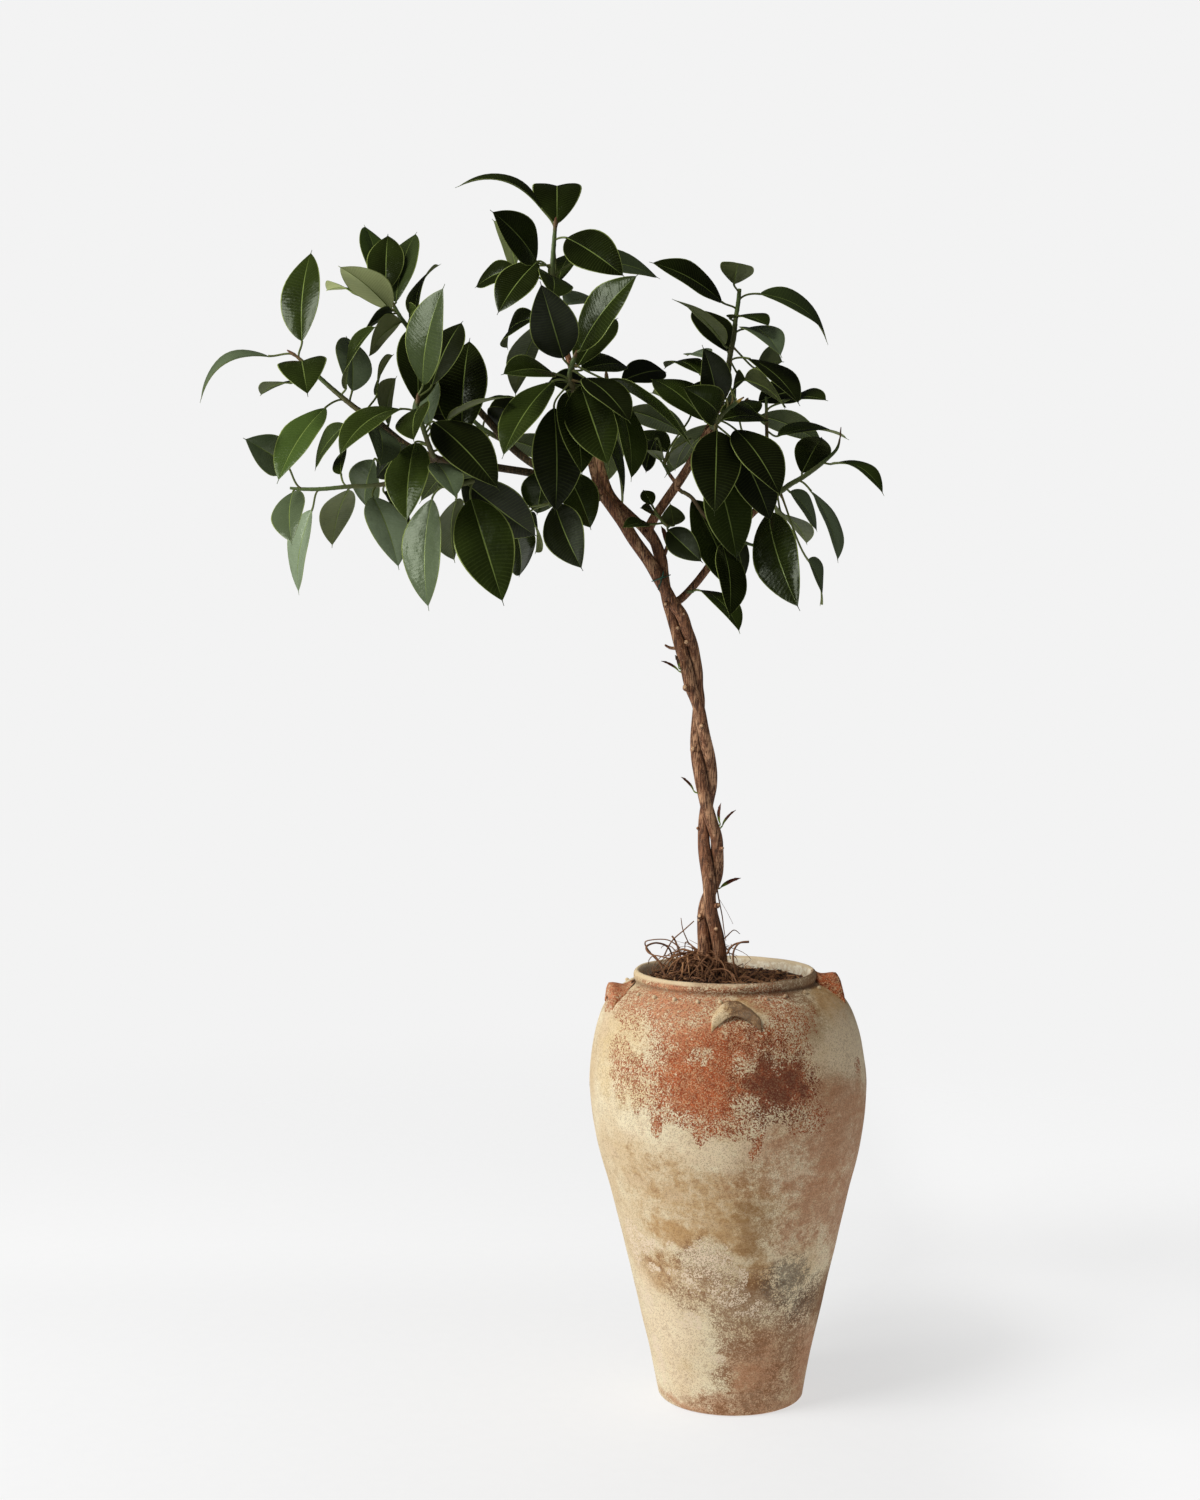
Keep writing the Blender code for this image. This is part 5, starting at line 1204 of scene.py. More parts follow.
def bark_material():
    """Thin brown bark with long fissures, pale corky specks, pale cut ends, and painted shade in the
    cleft between the two stems.
    """
    n = Nodes("brown_bark")
    along, cut = n.mark("along"), n.mark("cut")
    fibres = n.noise(460.0, 5.0, 0.65, squash=(1.0, 1.0, 0.09))
    broad = n.noise(45.0, 4.0, squash=(1.0, 1.0, 0.4))
    cracks = n.noise(240.0, 4.0, 0.6, squash=(1.0, 1.0, 0.12), distortion=0.6)
    specks = n.noise(520.0, 2.0, 0.4, squash=(1.0, 1.0, 1.6))
    colour = n.mix(n.step(fibres, 0.36, 0.62), BARK_DARK, BARK_MID)
    colour = n.mix(n.step(n.plus(fibres, broad), 0.98, 1.22), colour, BARK_PALE)
    colour = n.mix(n.times(n.step(cracks, 0.34, 0.44, 1.0, 0.0), 0.75), colour, BARK_FISSURE_AND_SHADE)
    colour = n.mix(n.step(specks, 0.66, 0.72), colour, BARK_CORK)
    rings = n.math("PINGPONG", n.plus(n.times(along, 55.0), broad), 0.5)
    colour = n.mix(n.step(rings, 0.0, 0.06, 0.5, 0.0), colour, BARK_DARK)
    young = n.times(n.mark("young"), n.step(fibres, 0.3, 0.7, 1.0, 0.75))
    colour = n.mix(young, colour, BARK_YOUNG)
    # painted shade: bark in the cleft along the other stem takes the fissure colour
    colour = n.mix(n.times(n.mark("deep"), 0.95), colour, BARK_FISSURE_AND_SHADE)
    colour = n.mix(cut, colour, n.mix(n.step(specks, 0.4, 0.6), BARK_CUT, BARK_PALE))
    height = n.plus(fibres, n.times(n.step(specks, 0.6, 0.75), 0.5))
    height = n.plus(height, n.times(n.step(cracks, 0.32, 0.46), 0.8))
    normal = n.bump(height, 0.0014, 0.8)
    return n.finish(colour, n.step(broad, 0.3, 0.7, 0.68, 0.85), normal)


SOIL_DARK, SOIL_BROWN = hue(30, 20, 15), hue(104, 69, 48)
SOIL_TAN, SOIL_ROOT = hue(196, 144, 98), hue(174, 124, 88)
TIE_GREEN, TIE_WORN = hue(20, 74, 62), hue(48, 118, 98)


def soil_material():
    """Damp bark and coir: dark crumbs, tan chips and brown fibres, by each piece's own tone."""
    n = Nodes("potting_mix")
    tone, fibre = n.mark("tone"), n.mark("fibre")
    crumbs = n.noise(260.0, 6.0, 0.7)
    grain = n.noise(1100.0, 3.0, 0.6)
    colour = n.mix(n.step(crumbs, 0.40, 0.66), SOIL_DARK, SOIL_BROWN)
    colour = n.mix(n.step(tone, 0.35, 1.0, 0.0, 0.8), colour, SOIL_TAN)
    colour = n.mix(n.times(fibre, n.step(grain, 0.25, 0.7, 0.95, 0.5)), colour, SOIL_ROOT)
    colour = n.mix(n.step(n.times(fibre, tone), 0.5, 0.9), colour, SOIL_TAN)
    normal = n.bump(n.plus(crumbs, grain), 0.0022, 0.9)
    return n.finish(colour, n.step(grain, 0.3, 0.7, 0.72, 0.95), normal)


def tie_material():
    """Soft green plastic, scuffed and a little ribbed."""
    n = Nodes("plant_tie")
    worn = n.noise(240.0, 4.0, 0.6)
    colour = n.mix(n.step(worn, 0.4, 0.7), TIE_GREEN, TIE_WORN)
    rough = n.step(worn, 0.3, 0.7, 0.38, 0.55)
    return n.finish(colour, rough, n.bump(n.noise(1500.0, 2.0), 0.0002, 0.5))


# The jar's surface. Each patch is where the front view shows its middle, half its width and half
# its height there, how soft its edge is, and how much it covers.
CLAY_PATCHES = {
    "red": [
        (719, 1082, 94, 45, 0.9, 1.0), (700, 1040, 66, 24, 1.1, 0.9),
        (768, 1048, 48, 28, 1.3, 0.78), (791, 1090, 28, 34, 1.1, 1.0),
        (668, 1002, 58, 28, 1.3, 0.72), (732, 995, 74, 16, 1.2, 0.70),
        (779, 1013, 40, 20, 1.4, 0.56), (638, 1056, 34, 44, 1.2, 0.50),
        (646, 1088, 24, 22, 1.1, 0.50), (658, 1124, 5, 14, 0.8, 0.74),
        (703, 1132, 7, 13, 0.8, 0.70), (753, 1138, 5, 18, 0.9, 0.74),
        (716, 1127, 22, 7, 0.9, 0.62), (856, 1062, 6, 11, 1.0, 0.50),
        (806, 1124, 22, 18, 1.3, 0.46), (612, 996, 14, 12, 0.9, 0.62),
    ],
    "blush": [
        (664, 1000, 60, 26, 1.2, 1.0), (732, 992, 60, 16, 1.2, 0.9),
        (690, 1020, 30, 12, 1.3, 0.6),
    ],
    "dark": [
        (779, 1086, 40, 34, 1.3, 1.0), (770, 1118, 38, 18, 1.3, 0.9),
        # the thin band at (735, 990) just under the lip is painted shade
        (766, 1040, 42, 20, 1.4, 0.45), (735, 990, 130, 5, 1.2, 0.7),
    ],
    "yellow": [
        (621, 1037, 20, 26, 1.1, 0.9), (633, 1083, 24, 20, 1.1, 0.8),
        (606, 1058, 12, 34, 1.1, 0.7),
    ],
    "olive": [
        (810, 1018, 20, 24, 1.3, 0.85), (750, 1180, 20, 26, 1.3, 0.4),
        (757, 1226, 20, 40, 1.3, 0.8), (836, 1290, 34, 34, 1.1, 1.3),
    ],
    "ochre": [
        (700, 1200, 92, 46, 1.3, 0.72), (697, 1212, 60, 24, 1.3, 0.5),
        (740, 1234, 36, 26, 1.2, 0.9), (659, 1270, 36, 22, 1.1, 0.8),
        (680, 1236, 46, 14, 1.1, 0.8), (757, 1270, 20, 20, 1.1, 0.8),
        (640, 1160, 30, 30, 1.3, 0.3), (834, 1002, 26, 24, 1.2, 0.85),
        (744, 1006, 30, 14, 1.2, 0.7),
    ],
    "grey": [
        (836, 1052, 24, 24, 1.2, 0.8), (822, 1069, 36, 9, 1.2, 0.7), (605, 1022, 5, 13, 0.9, 0.6),
        (609, 1148, 8, 9, 1.0, 0.5), (634, 1178, 16, 5, 1.0, 0.4), (672, 1196, 12, 10, 1.1, 0.4),
    ],
    "pink": [
        (842, 1107, 32, 40, 1.1, 1.0), (838, 1148, 38, 30, 1.1, 1.0),
        (770, 1404, 60, 16, 1.1, 1.0), (822, 1200, 34, 44, 1.2, 0.9),
        (779, 1148, 38, 22, 1.3, 0.7), (702, 1409, 100, 8, 0.9, 0.9),
        (864, 1120, 40, 50, 1.0, 0.85), (852, 1190, 44, 56, 1.0, 0.90),
        (806, 1350, 30, 40, 1.0, 0.95), (800, 1392, 30, 20, 1.0, 0.9),
        (786, 1176, 56, 30, 1.3, 0.6), (800, 1228, 40, 24, 1.3, 0.6),
        (762, 1366, 62, 42, 1.2, 1.0), (800, 1330, 24, 30, 1.2, 0.7),
        (668, 998, 60, 18, 1.3, 0.5), (735, 1402, 92, 16, 1.2, 0.9),
    ],
    "pale": [
        (668, 1330, 32, 32, 1.1, 0.9), (676, 1370, 28, 26, 1.2, 0.6),
        (652, 1303, 18, 12, 1.0, 0.8), (709, 1151, 46, 16, 1.3, 0.7),
        (718, 1139, 20, 12, 1.1, 0.6), (823, 1256, 9, 9, 0.9, 0.6), (803, 1177, 20, 5, 1.1, 0.5),
        # the patch at (850, 1040) lightens the jar's right edge as painted light
        (645, 1130, 26, 16, 1.3, 0.4), (850, 1040, 20, 28, 1.2, 1.0),
        (648, 1296, 12, 40, 1.1, 0.8), (658, 1345, 14, 40, 1.1, 0.8),
    ],
    "brown": [
        (745, 1296, 36, 18, 1.2, 0.8), (724, 1323, 20, 10, 1.0, 0.8),
        (768, 1312, 30, 20, 1.2, 0.8), (808, 1306, 16, 28, 1.1, 0.9),
        (744, 1345, 40, 16, 1.2, 0.75), (718, 1277, 26, 18, 1.3, 0.5),
        (785, 1341, 18, 20, 1.2, 0.6), (720, 1376, 18, 20, 1.1, 0.5),
        (770, 1386, 28, 12, 1.2, 0.5), (722, 1410, 28, 4, 1.0, 0.6),
        (660, 1266, 30, 16, 1.3, 0.35), (706, 1276, 34, 30, 1.2, 1.0),
        (744, 1302, 46, 32, 1.2, 1.2), (712, 986, 40, 8, 1.2, 0.6),
        (790, 1345, 28, 36, 1.3, 0.75), (735, 1402, 84, 12, 1.3, 0.55),
        (686, 1288, 30, 22, 1.3, 0.62), (774, 987, 72, 9, 1.1, 1.0),
        (834, 1290, 34, 34, 1.0, 1.0),
    ],
    "lime": [
        (709, 1263, 30, 18, 1.2, 0.50), (690, 1280, 13, 14, 1.2, 0.52),
        (727, 1305, 14, 6, 1.1, 0.58), (739, 1318, 12, 5, 1.1, 0.60),
        (727, 1293, 26, 14, 1.3, 0.42), (649, 1246, 15, 6, 1.2, 0.60),
        (653, 1268, 8, 5, 1.2, 0.56), (674, 1246, 6, 6, 1.2, 0.56), (672, 1272, 9, 5, 1.2, 0.56),
        (744, 1272, 9, 11, 1.2, 0.50), (715, 1356, 12, 5, 1.2, 0.56),
        (758, 1312, 24, 10, 1.3, 0.42), (688, 1320, 20, 8, 1.2, 0.40),
        (633, 1240, 8, 22, 1.2, 0.42), (646, 1300, 10, 14, 1.2, 0.46),
        (660, 1360, 8, 24, 1.2, 0.40),
    ],
    "stain": [
        (788, 1280, 26, 22, 1.4, 1.0), (804, 1302, 22, 26, 1.4, 0.6),
        (785, 1268, 20, 9, 1.1, 0.8),
    ],
}
# Where the slip is left on the red
CLAY_HOLES = [
    (699, 1057, 12, 10, 1.1, 0.75), (740, 1067, 15, 9, 1.0, 0.85), (741, 1106, 13, 11, 1.0, 0.85),
    (638, 1040, 24, 16, 1.1, 0.8), (641, 1089, 26, 20, 1.1, 0.6), (768, 1057, 20, 9, 1.2, 0.3),
    (721, 1033, 9, 9, 0.9, 0.4), (738, 1006, 27, 13, 1.0, 1.0), (716, 1018, 9, 12, 1.0, 0.7),
    (762, 1018, 9, 12, 1.0, 0.7),
]
# How much of each kind the lugs have, and how much painted shade their right sides have besides
LUG_WASH = [{"red": 1.2, "dark": 0.35}, {"red": 0.3, "ochre": 0.8},
            {"red": 0.80, "yellow": 0.5, "blush": 0.5},
            {"red": 0.06, "ochre": 0.32, "yellow": 0.50}]
LUG_PAINTED_SHADE = [{}, {}, {}, {"brown": 1.4, "ochre": 0.6, "stain": 0.45}]
OTHER_WASH = 0.3                  # and how much of the other kinds, of what the wall has there
JAR_GIRTH = 0.2250                # metres round the jar to one radian, at its widest
CLAY_SEED = 4                     # of the noise that bends and frays the patches' edges
CLAY_WARP = Vector((7.3, 1.9, 4.1))       # where that noise starts
CLAY_BEND, BEND_WAVES = 0.018, 8.0        # how far it bends them, and its waves to the metre
CLAY_FRAY, FRAY_WAVES = 0.011, 34.0       # how far it frays them
BACK_BEND, BEND_DEPTH = 0.12, 0.12        # how much more behind, in full from that depth on
BACK_DEPTH = 0.15                 # from this depth on, the next two shift and lift them in full
BACK_SHIFT, BACK_LIFT, LIFT_WAVES = 0.14, 0.11, 6.0
HOLE_COVER = 0.78                 # how much of the red a hole takes away
BACK_CLEAN = 0.8                  # and how much of the stain the back is without
CLAY = {"cream": hue(240, 228, 194), "sand": hue(221, 198, 158), "red": hue(190, 96, 52),
        "red_deep": hue(162, 78, 42), "red_dark": hue(98, 48, 28), "fleck": hue(214, 176, 130),
        "blush": hue(208, 138, 100), "ochre": hue(188, 144, 86), "yellow": hue(228, 204, 154),
        "olive": hue(154, 116, 68), "grey": hue(224, 199, 162), "pink": hue(184, 125, 86),
        "pale": hue(236, 215, 180), "brown": hue(128, 84, 46), "lime": hue(234, 213, 184),
        # the dust colour below also paints the shade in the groove under the lip
        "stain": hue(70, 62, 52), "rim": hue(226, 204, 168), "dust_and_shade": hue(108, 76, 50),
        # the inside colour is painted light: the clay brightened nearly to white
        "inside": hue(255, 246, 222)}


def seen_on_jar(across, down):
    """The turn from the front, the height and the distance of what the front view shows."""
    turn, level = 0.0, 0.4
    for _ in range(12):
        depth = -fine_radius(level) * math.cos(turn)
        spot = seen(across, down, depth)
        level = spot.z
        share = (spot.x - jar_lean(level)) / fine_radius(level)
        turn = math.asin(max(-0.985, min(0.985, share)))
    return turn, level, spot.y - VIEWPOINT.y


def clay_patch(across, down, half_wide, half_high, soft, most):
    """A patch on the unrolled jar: its middle, half its size, its edge's softness, its cover."""
    turn, level, far = seen_on_jar(across, down)
    unit = far / VIEW_FOCAL
    wide = half_wide * unit * min(2.0, 1.0 / max(0.2, math.cos(turn)))
    return turn * JAR_GIRTH, level, wide, half_high * unit, soft, most


def patch_cover(patch, across, height):
    """A patch's cover from 0 to 1 at a place on the unrolled jar."""
    middle, level, wide, high, soft, most = patch
    far = math.hypot((across - middle) / wide, (height - level) / high)
    share = limited((1.0 + 0.6 * soft - far) / (1.2 * soft))
    return most * share * share * (3.0 - 2.0 * share)


def clay_marks(point, patches, holes):
    """How much of each kind of patch covers a point of the upright jar."""
    radius = math.hypot(point.x, point.y)
    behind = limited(point.y / BACK_DEPTH)
    drift = CLAY_BEND + BACK_BEND * limited(point.y / BEND_DEPTH)
    bend = noise.noise_vector(point * BEND_WAVES + CLAY_WARP) * drift
    fray = noise.noise_vector(point * FRAY_WAVES + CLAY_WARP) * CLAY_FRAY
    across = math.asin(max(-1.0, min(1.0, point.x / max(radius, MILLI)))) * JAR_GIRTH
    across += bend.x + fray.x - BACK_SHIFT * behind
    height = point.z + bend.y + fray.y + BACK_LIFT * behind * math.cos(LIFT_WAVES * point.x)
    marks = {name: max(patch_cover(patch, across, height) for patch in rows)
             for name, rows in patches.items()}
    for patch in holes:
        marks["red"] *= 1.0 - HOLE_COVER * patch_cover(patch, across, height)
    marks["stain"] *= 1.0 - BACK_CLEAN * behind
    return marks


def clay_material():
    """Worn slip over orange clay, with lime crust, stains, fine grain and throwing lines, a painted
    lit inside, and painted shade under the lip.
    """
    n = Nodes("worn_slip")
    marks = {name: n.mark(name) for name in CLAY_PATCHES}
    cloud = n.step(n.noise(9.0, 5.0, 0.6), 0.34, 0.66)
    patchy = n.step(n.noise(46.0, 5.0, 0.62), 0.34, 0.66)
    mottle = n.step(n.noise(130.0, 4.0, 0.65), 0.34, 0.66)
    speckle = n.step(n.cells(540.0), 0.24, 0.76)
    freckle = n.step(n.cells(760.0), 0.24, 0.76)
    grain = n.noise(950.0, 2.0, 0.6)
    smear = n.step(n.noise(13.0, 6.0, 0.68, squash=(1.0, 1.0, 3.6), distortion=0.8), 0.34, 0.68)
    turning = n.noise(7.0, 3.0, 0.5, squash=(0.4, 0.4, 26.0))
    fine_lines = n.step(n.noise(30.0, 4.0, 0.6, squash=(0.5, 0.5, 14.0)), 0.35, 0.65)

    def cover(name, soft, large, middling, small, most=1.0, level=0.5):
        """A patch's share with an edge that is broken up by noise of three sizes."""
        drift = 0.0
        for value, amount in ((patchy, large), (mottle, middling), (speckle, small)):
            drift = n.plus(drift, n.times(n.math("SUBTRACT", value, 0.5), amount))
        value = n.plus(marks[name], n.times(drift, n.step(marks[name], 0.0, 0.3)))
        return n.times(n.step(value, level - soft, level + soft), most)

    colour = n.mix(cloud, CLAY["cream"], CLAY["sand"])
    colour = n.mix(n.times(fine_lines, 0.16), colour, CLAY["ochre"])
    for name, soft, large, middling, small, most in (
            ("yellow", 0.5, 0.6, 0.3, 0.2, 0.75), ("ochre", 0.5, 0.45, 0.25, 0.1, 0.9),
            ("pink", 0.5, 0.45, 0.25, 0.3, 0.85), ("olive", 0.5, 0.35, 0.2, 0.3, 0.8),
            ("grey", 0.5, 0.7, 0.3, 0.2, 0.7), ("pale", 0.5, 0.7, 0.3, 0.1, 0.8),
            ("brown", 0.45, 0.6, 0.6, 0.9, 0.80), ("stain", 0.55, 0.7, 0.6, 0.8, 0.78)):
        colour = n.mix(cover(name, soft, large, middling, small, most), colour, CLAY[name])
    colour = n.mix(n.times(smear, 0.20), colour, CLAY["pale"])
    thin = n.times(n.step(n.plus(mottle, patchy), 1.25, 1.9), 0.22)
    colour = n.mix(thin, colour, CLAY["brown"])
    worn = n.math("MAXIMUM", marks["pink"], n.math("MAXIMUM", marks["brown"], marks["red"]))
    dots = n.step(n.plus(freckle, n.times(worn, 0.35)), 0.88, 1.02)
    colour = n.mix(n.times(dots, 0.42), colour, CLAY["brown"])

    body = n.mix(patchy, CLAY["red"], CLAY["red_deep"])
    body = n.mix(n.times(marks["blush"], 0.9), body, CLAY["blush"])
    body = n.mix(cover("dark", 0.5, 0.5, 0.3, 0.2, 0.85), body, CLAY["red_dark"])
    body = n.mix(n.times(n.step(speckle, 0.50, 0.95), 0.5), body, CLAY["red_dark"])
    flecks = n.times(n.step(freckle, 0.74, 0.86), n.step(mottle, 0.0, 0.8, 0.30, 0.75))
    flecks = n.times(flecks, n.step(marks["dark"], 0.3, 1.0, 1.0, 0.3))
    body = n.mix(flecks, body, CLAY["fleck"])
    bare = cover("red", 0.08, 0.32, 0.26, 0.72, level=0.40)
    colour = n.mix(bare, colour, body)
    crust = cover("lime", 0.06, 0.6, 0.9, 1.1, 0.95, 0.54)
    colour = n.mix(crust, colour, CLAY["lime"])
    rim = n.times(n.mark("rim"), n.step(n.plus(patchy, speckle), 0.2, 0.9, 0.7, 1.0))
    rim = n.times(rim, n.step(marks["brown"], 0.1, 0.8, 1.0, 0.25))
    colour = n.mix(rim, colour, n.mix(cloud, CLAY["rim"], CLAY["sand"]))
    # painted light: the inner wall is painted nearly white, as if fully lit
    colour = n.mix(n.mark("inside"), colour, n.mix(mottle, CLAY["inside"], CLAY["rim"]))
    pores = n.times(n.step(grain, 0.58, 0.74), n.step(patchy, 0.2, 1.0, 0.20, 0.55))
    colour = n.mix(pores, colour, CLAY["dust_and_shade"])
    # painted shade: the groove under the lip is darkened with the dust colour
    colour = n.mix(n.times(n.mark("hollow"), 0.6), colour, CLAY["dust_and_shade"])

    height = n.plus(n.times(crust, 0.8), n.times(bare, -0.6))
    height = n.plus(height, n.times(speckle, 0.35))
    normal = n.bump(height, 0.0008, 0.6)
    normal = n.bump(n.plus(grain, n.times(mottle, 0.3)), 0.0005, 0.5, normal)
    normal = n.bump(turning, 0.0014, 0.5, normal)
    return n.finish(colour, n.step(grain, 0.3, 0.7, 0.80, 0.93), normal)


# The jar. Its outside as radius and height is a little slimmer than the solid's, and it leans left.
FINE_OUTSIDE = [
    (0.1482, 0.6850), (0.1545, 0.6815), (0.1672, 0.6755), (0.1950, 0.6520), (0.2128, 0.6100),
    (0.2234, 0.5510), (0.2252, 0.5110), (0.2168, 0.4315), (0.1970, 0.3520), (0.1682, 0.2330),
    (0.1458, 0.1330), (0.1322, 0.0740), (0.1190, 0.0060),
]
JAR_LEAN = 0.0097                 # how far its lip is out of line with its foot
LIP_LEAN = 0.0015                 # how much further its lip alone is
LIP_RISE = 0.0020                 # how far its lip stands above the solid's
LIP_PALE_LOSS = 0.80                   # how much of its pale edge fades out at the front right
LIP_BROWN = 1.10                  # and how brown it is there
LIP_FADE_START, LIP_FADE_WIDTH = -0.020, 0.10    # where that starts, and how soon it is full
LIP_LEVEL, LIP_FADE_RADIUS = 0.684, 0.156     # the lip is above the one, and darkens within the other
RIM_RADIUS, RIM_LEVEL, RIM_FADE = 0.153, 0.6945, 0.003    # where the edge is pale, and its fade
UNDER_LIP_RADIUS, UNDER_LIP_LEVELS = 0.144, (0.683, 0.6885)     # the groove round the neck under the lip, darkened as painted shade
INSIDE_LEVEL, INSIDE_RADIUS, INSIDE_DEPTH = 0.680, 0.1395, 0.008    # what counts as the inside, which is painted lit
PAINTED_SHADE_WIDTH = 0.036               # of the change from a lug's left half to its painted shade at the right
NECK_LEVEL, NECK_HEIGHT = 0.655, 0.030    # where the neck starts, and how high it is
FLOOR_ROUND = 0.006               # of the corner between the wall and the floor inside
INSIDE_ROWS = 40
MOUTH_NARROWEST = 0.3             # above this height nothing inside is narrower than the mouth
# Waves of noise that make the jar uneven: how far, waves round, waves up, and where they start
WALL_WAVES = [(0.0012, 1.3, 5.0, (0, 0)), (0.0006, 4.0, 22.0, (0, 0))]
LIP_WAVES = [(0.0012, 2.6, 8.0, (3, 0)), (0.0008, 8.0, 30.0, (0, 5))]
EDGE_WAVES = [(0.0011, 2.2, 0.0, (0, 9))]
EDGE_LEVEL = 0.690                # the lip's edge is uneven above this height
FOOT_LEVEL, FOOT_UNEVEN = 0.002, 0.3      # and the foot less so below this one
JAR_TURNS = 240
JAR_LEVELS = 150
LUG_FINE = 44
# Each lug's turn and half of what it spans, in degrees, the heights of its crest and of its lower
# edge, how far the ends of both droop, and its outer edge's radius in the middle and at the ends
LUGS = [(0.0, 13.0, 0.6950, 0.6715, 0.016, 0.018, 0.1895, 0.1925),
        (94.0, 12.0, 0.6790, 0.6640, 0.022, 0.026, 0.1985, 0.2040),
        (187.0, 13.0, 0.6820, 0.6610, 0.013, 0.015, 0.1965, 0.1970),
        (271.2, 10.9, 0.6762, 0.6605, 0.020, 0.0245, 0.1985, 0.2050)]
# How deep each lug's top dips behind its brow, and how far the brow stands up
LUG_HOLLOWS = [(0.0050, 0.0020), (0.0015, 0.0), (0.0075, 0.0022), (0.0, 0.0)]
# Studs as the front view shows them, and the height and the gap in degrees of the others
STUDS_SEEN = [(639, 995.0), (655, 997.7), (675, 999.8), (698, 1002.3), (720.4, 1002.5),
              (766.6, 999.4), (785, 996.6), (804.5, 992.8), (818.4, 988.5)]
STUD_LEVEL = 0.6735
STUD_STEP = 12.9
STUD_CLEAR = 17.0                 # from the middle of a lug
STUD_TURNS, STUD_LEVELS = 12, 7
STUD_STAND, STUD_LIFT = 0.0012, 0.0008    # its middle's place off the neck, and above its own


def jar_lean(height):
    """How far the jar's middle is from its axis at a height."""
    lip = limited((height - NECK_LEVEL) / NECK_HEIGHT)
    return -JAR_LEAN * (max(0.0, height) / JAR_HEIGHT) ** 1.5 - LIP_LEAN * lip


def slope(high, low):
    """How fast the jar's radius grows downwards from one point of its outside to another."""
    return (low[0] - high[0]) / (high[1] - low[1])


def fine_radius(height):
    """The jar's outside radius on a smooth curve through its profile's points."""
    if height >= FINE_OUTSIDE[0][1]:
        return FINE_OUTSIDE[0][0]
    for before, one, other, after in spans(FINE_OUTSIDE):
        if other[1] <= height <= one[1]:
            span = one[1] - other[1]
            t = (one[1] - height) / span
            start, end = slope(before, other) * span, slope(one, after) * span
            return ((2 * t ** 3 - 3 * t * t + 1) * one[0] + (t ** 3 - 2 * t * t + t) * start
                    + (3 * t * t - 2 * t ** 3) * other[0] + (t ** 3 - t * t) * end)
    return FINE_OUTSIDE[-1][0]


def bezier_chain(spots, cuts):
    """Points along Bezier curves that share their end points, with so many cuts in each."""
    control = [Vector(spot) for spot in spots]
    points = []
    for i, count in enumerate(cuts):
        points += [bezier(control[3 * i:3 * i + 4], k / count)[0] for k in range(count)]
    return points + [control[-1]]


def jar_profile():
    """The jar's whole section from the middle of its floor inside, over the lip, to its foot."""
    rows = [(0.0, JAR_FLOOR), (0.05, JAR_FLOOR)]
    low = fine_radius(JAR_FLOOR) - JAR_WALL
    rows += [(low - FLOOR_ROUND, JAR_FLOOR), (low, JAR_FLOOR + FLOOR_ROUND)]
    rise = JAR_INSIDE_HEIGHTS[0] - JAR_FLOOR - FLOOR_ROUND
    for i in range(1, INSIDE_ROWS):
        z = JAR_FLOOR + FLOOR_ROUND + rise * i / INSIDE_ROWS
        radius = fine_radius(z) - JAR_WALL
        rows.append((max(MOUTH_RADIUS, radius) if z > MOUTH_NARROWEST else radius, z))
    rows = [row for row in rows if row[1] < NECK_LEVEL]
    rows += [(MOUTH_RADIUS + 0.004, 0.664), (MOUTH_RADIUS, 0.672), (MOUTH_RADIUS, 0.682)]
    outer = LIP_RADIUS - 0.0018
    inner, top = MOUTH_RADIUS, JAR_HEIGHT + LIP_RISE
    lip = [(inner, 0.686), (inner - 0.0004, top - 0.002),
           (inner + 0.0035, top + 0.0008), (inner + 0.0075, top - 0.0004)]
    brow = [(inner + 0.0075, top - 0.0004), (outer - 0.0008, top - 0.0022),
            (outer + 0.0004, top - 0.0055), (outer, top - 0.0115)]
    for part in (lip, brow):
        rows += [tuple(spot) for spot in bezier_chain(part, (8,))]
    rows.append((outer - 0.0012, 0.6866))
    top = FINE_OUTSIDE[0][1]
    for i in range(JAR_LEVELS + 1):
        z = top + (FINE_OUTSIDE[-1][1] - top) * i / JAR_LEVELS
        rows.append((fine_radius(z), z))
    rows += [(FOOT_RADIUS + 0.0035, 0.0028), (FOOT_RADIUS + 0.0015, 0.0008), (FOOT_RADIUS, 0.0)]
    rows += [(FOOT_RADIUS * 0.5, 0.0), (0.0, 0.0)]
    return rows


def unevenness(waves, ring, height):
    """How far a place on the jar is off its true shape."""
    off = 0.0
    for size, across, up, start in waves:
        off += size * noise.noise(ring * across + Vector((*start, height * up)))
    return off


def jar_wall():
    """The points and faces of the jar's wall, before it leans."""
    rows = jar_profile()
    points = [Vector((0, 0, rows[0][1]))]
    for radius, z in rows[1:-1]:
        waves = WALL_WAVES + LIP_WAVES if z > LIP_LEVEL else WALL_WAVES
        share = 1.0 if z > FOOT_LEVEL else FOOT_UNEVEN
        for x, y in circle(JAR_TURNS):
            ring = Vector((x, y, 0.0))
            reach = radius + unevenness(waves, ring, z) * share
            rise = unevenness(EDGE_WAVES, ring, z) if z > EDGE_LEVEL else 0.0
            points.append(Vector((ring.x * reach, ring.y * reach, z + rise)))
    points.append(Vector((0, 0, rows[-1][1])))
    return points, turned_faces(len(rows) - 2, JAR_TURNS)


def stud_places(draw):
    """The turn from the front and the height of each stud: those seen, then the others."""
    studs = [seen_on_jar(*place)[:2] for place in STUDS_SEEN]
    turn = math.degrees(studs[-1][0]) + STUD_STEP
    while turn < math.degrees(studs[0][0]) + 360.0 - 0.7 * STUD_STEP:
        if all(abs((turn - 90.0 - lug[0] + 180.0) % 360.0 - 180.0) > STUD_CLEAR for lug in LUGS):
            studs.append((math.radians(turn + draw.uniform(-1.0, 1.0)), STUD_LEVEL))
        turn += STUD_STEP
    return studs


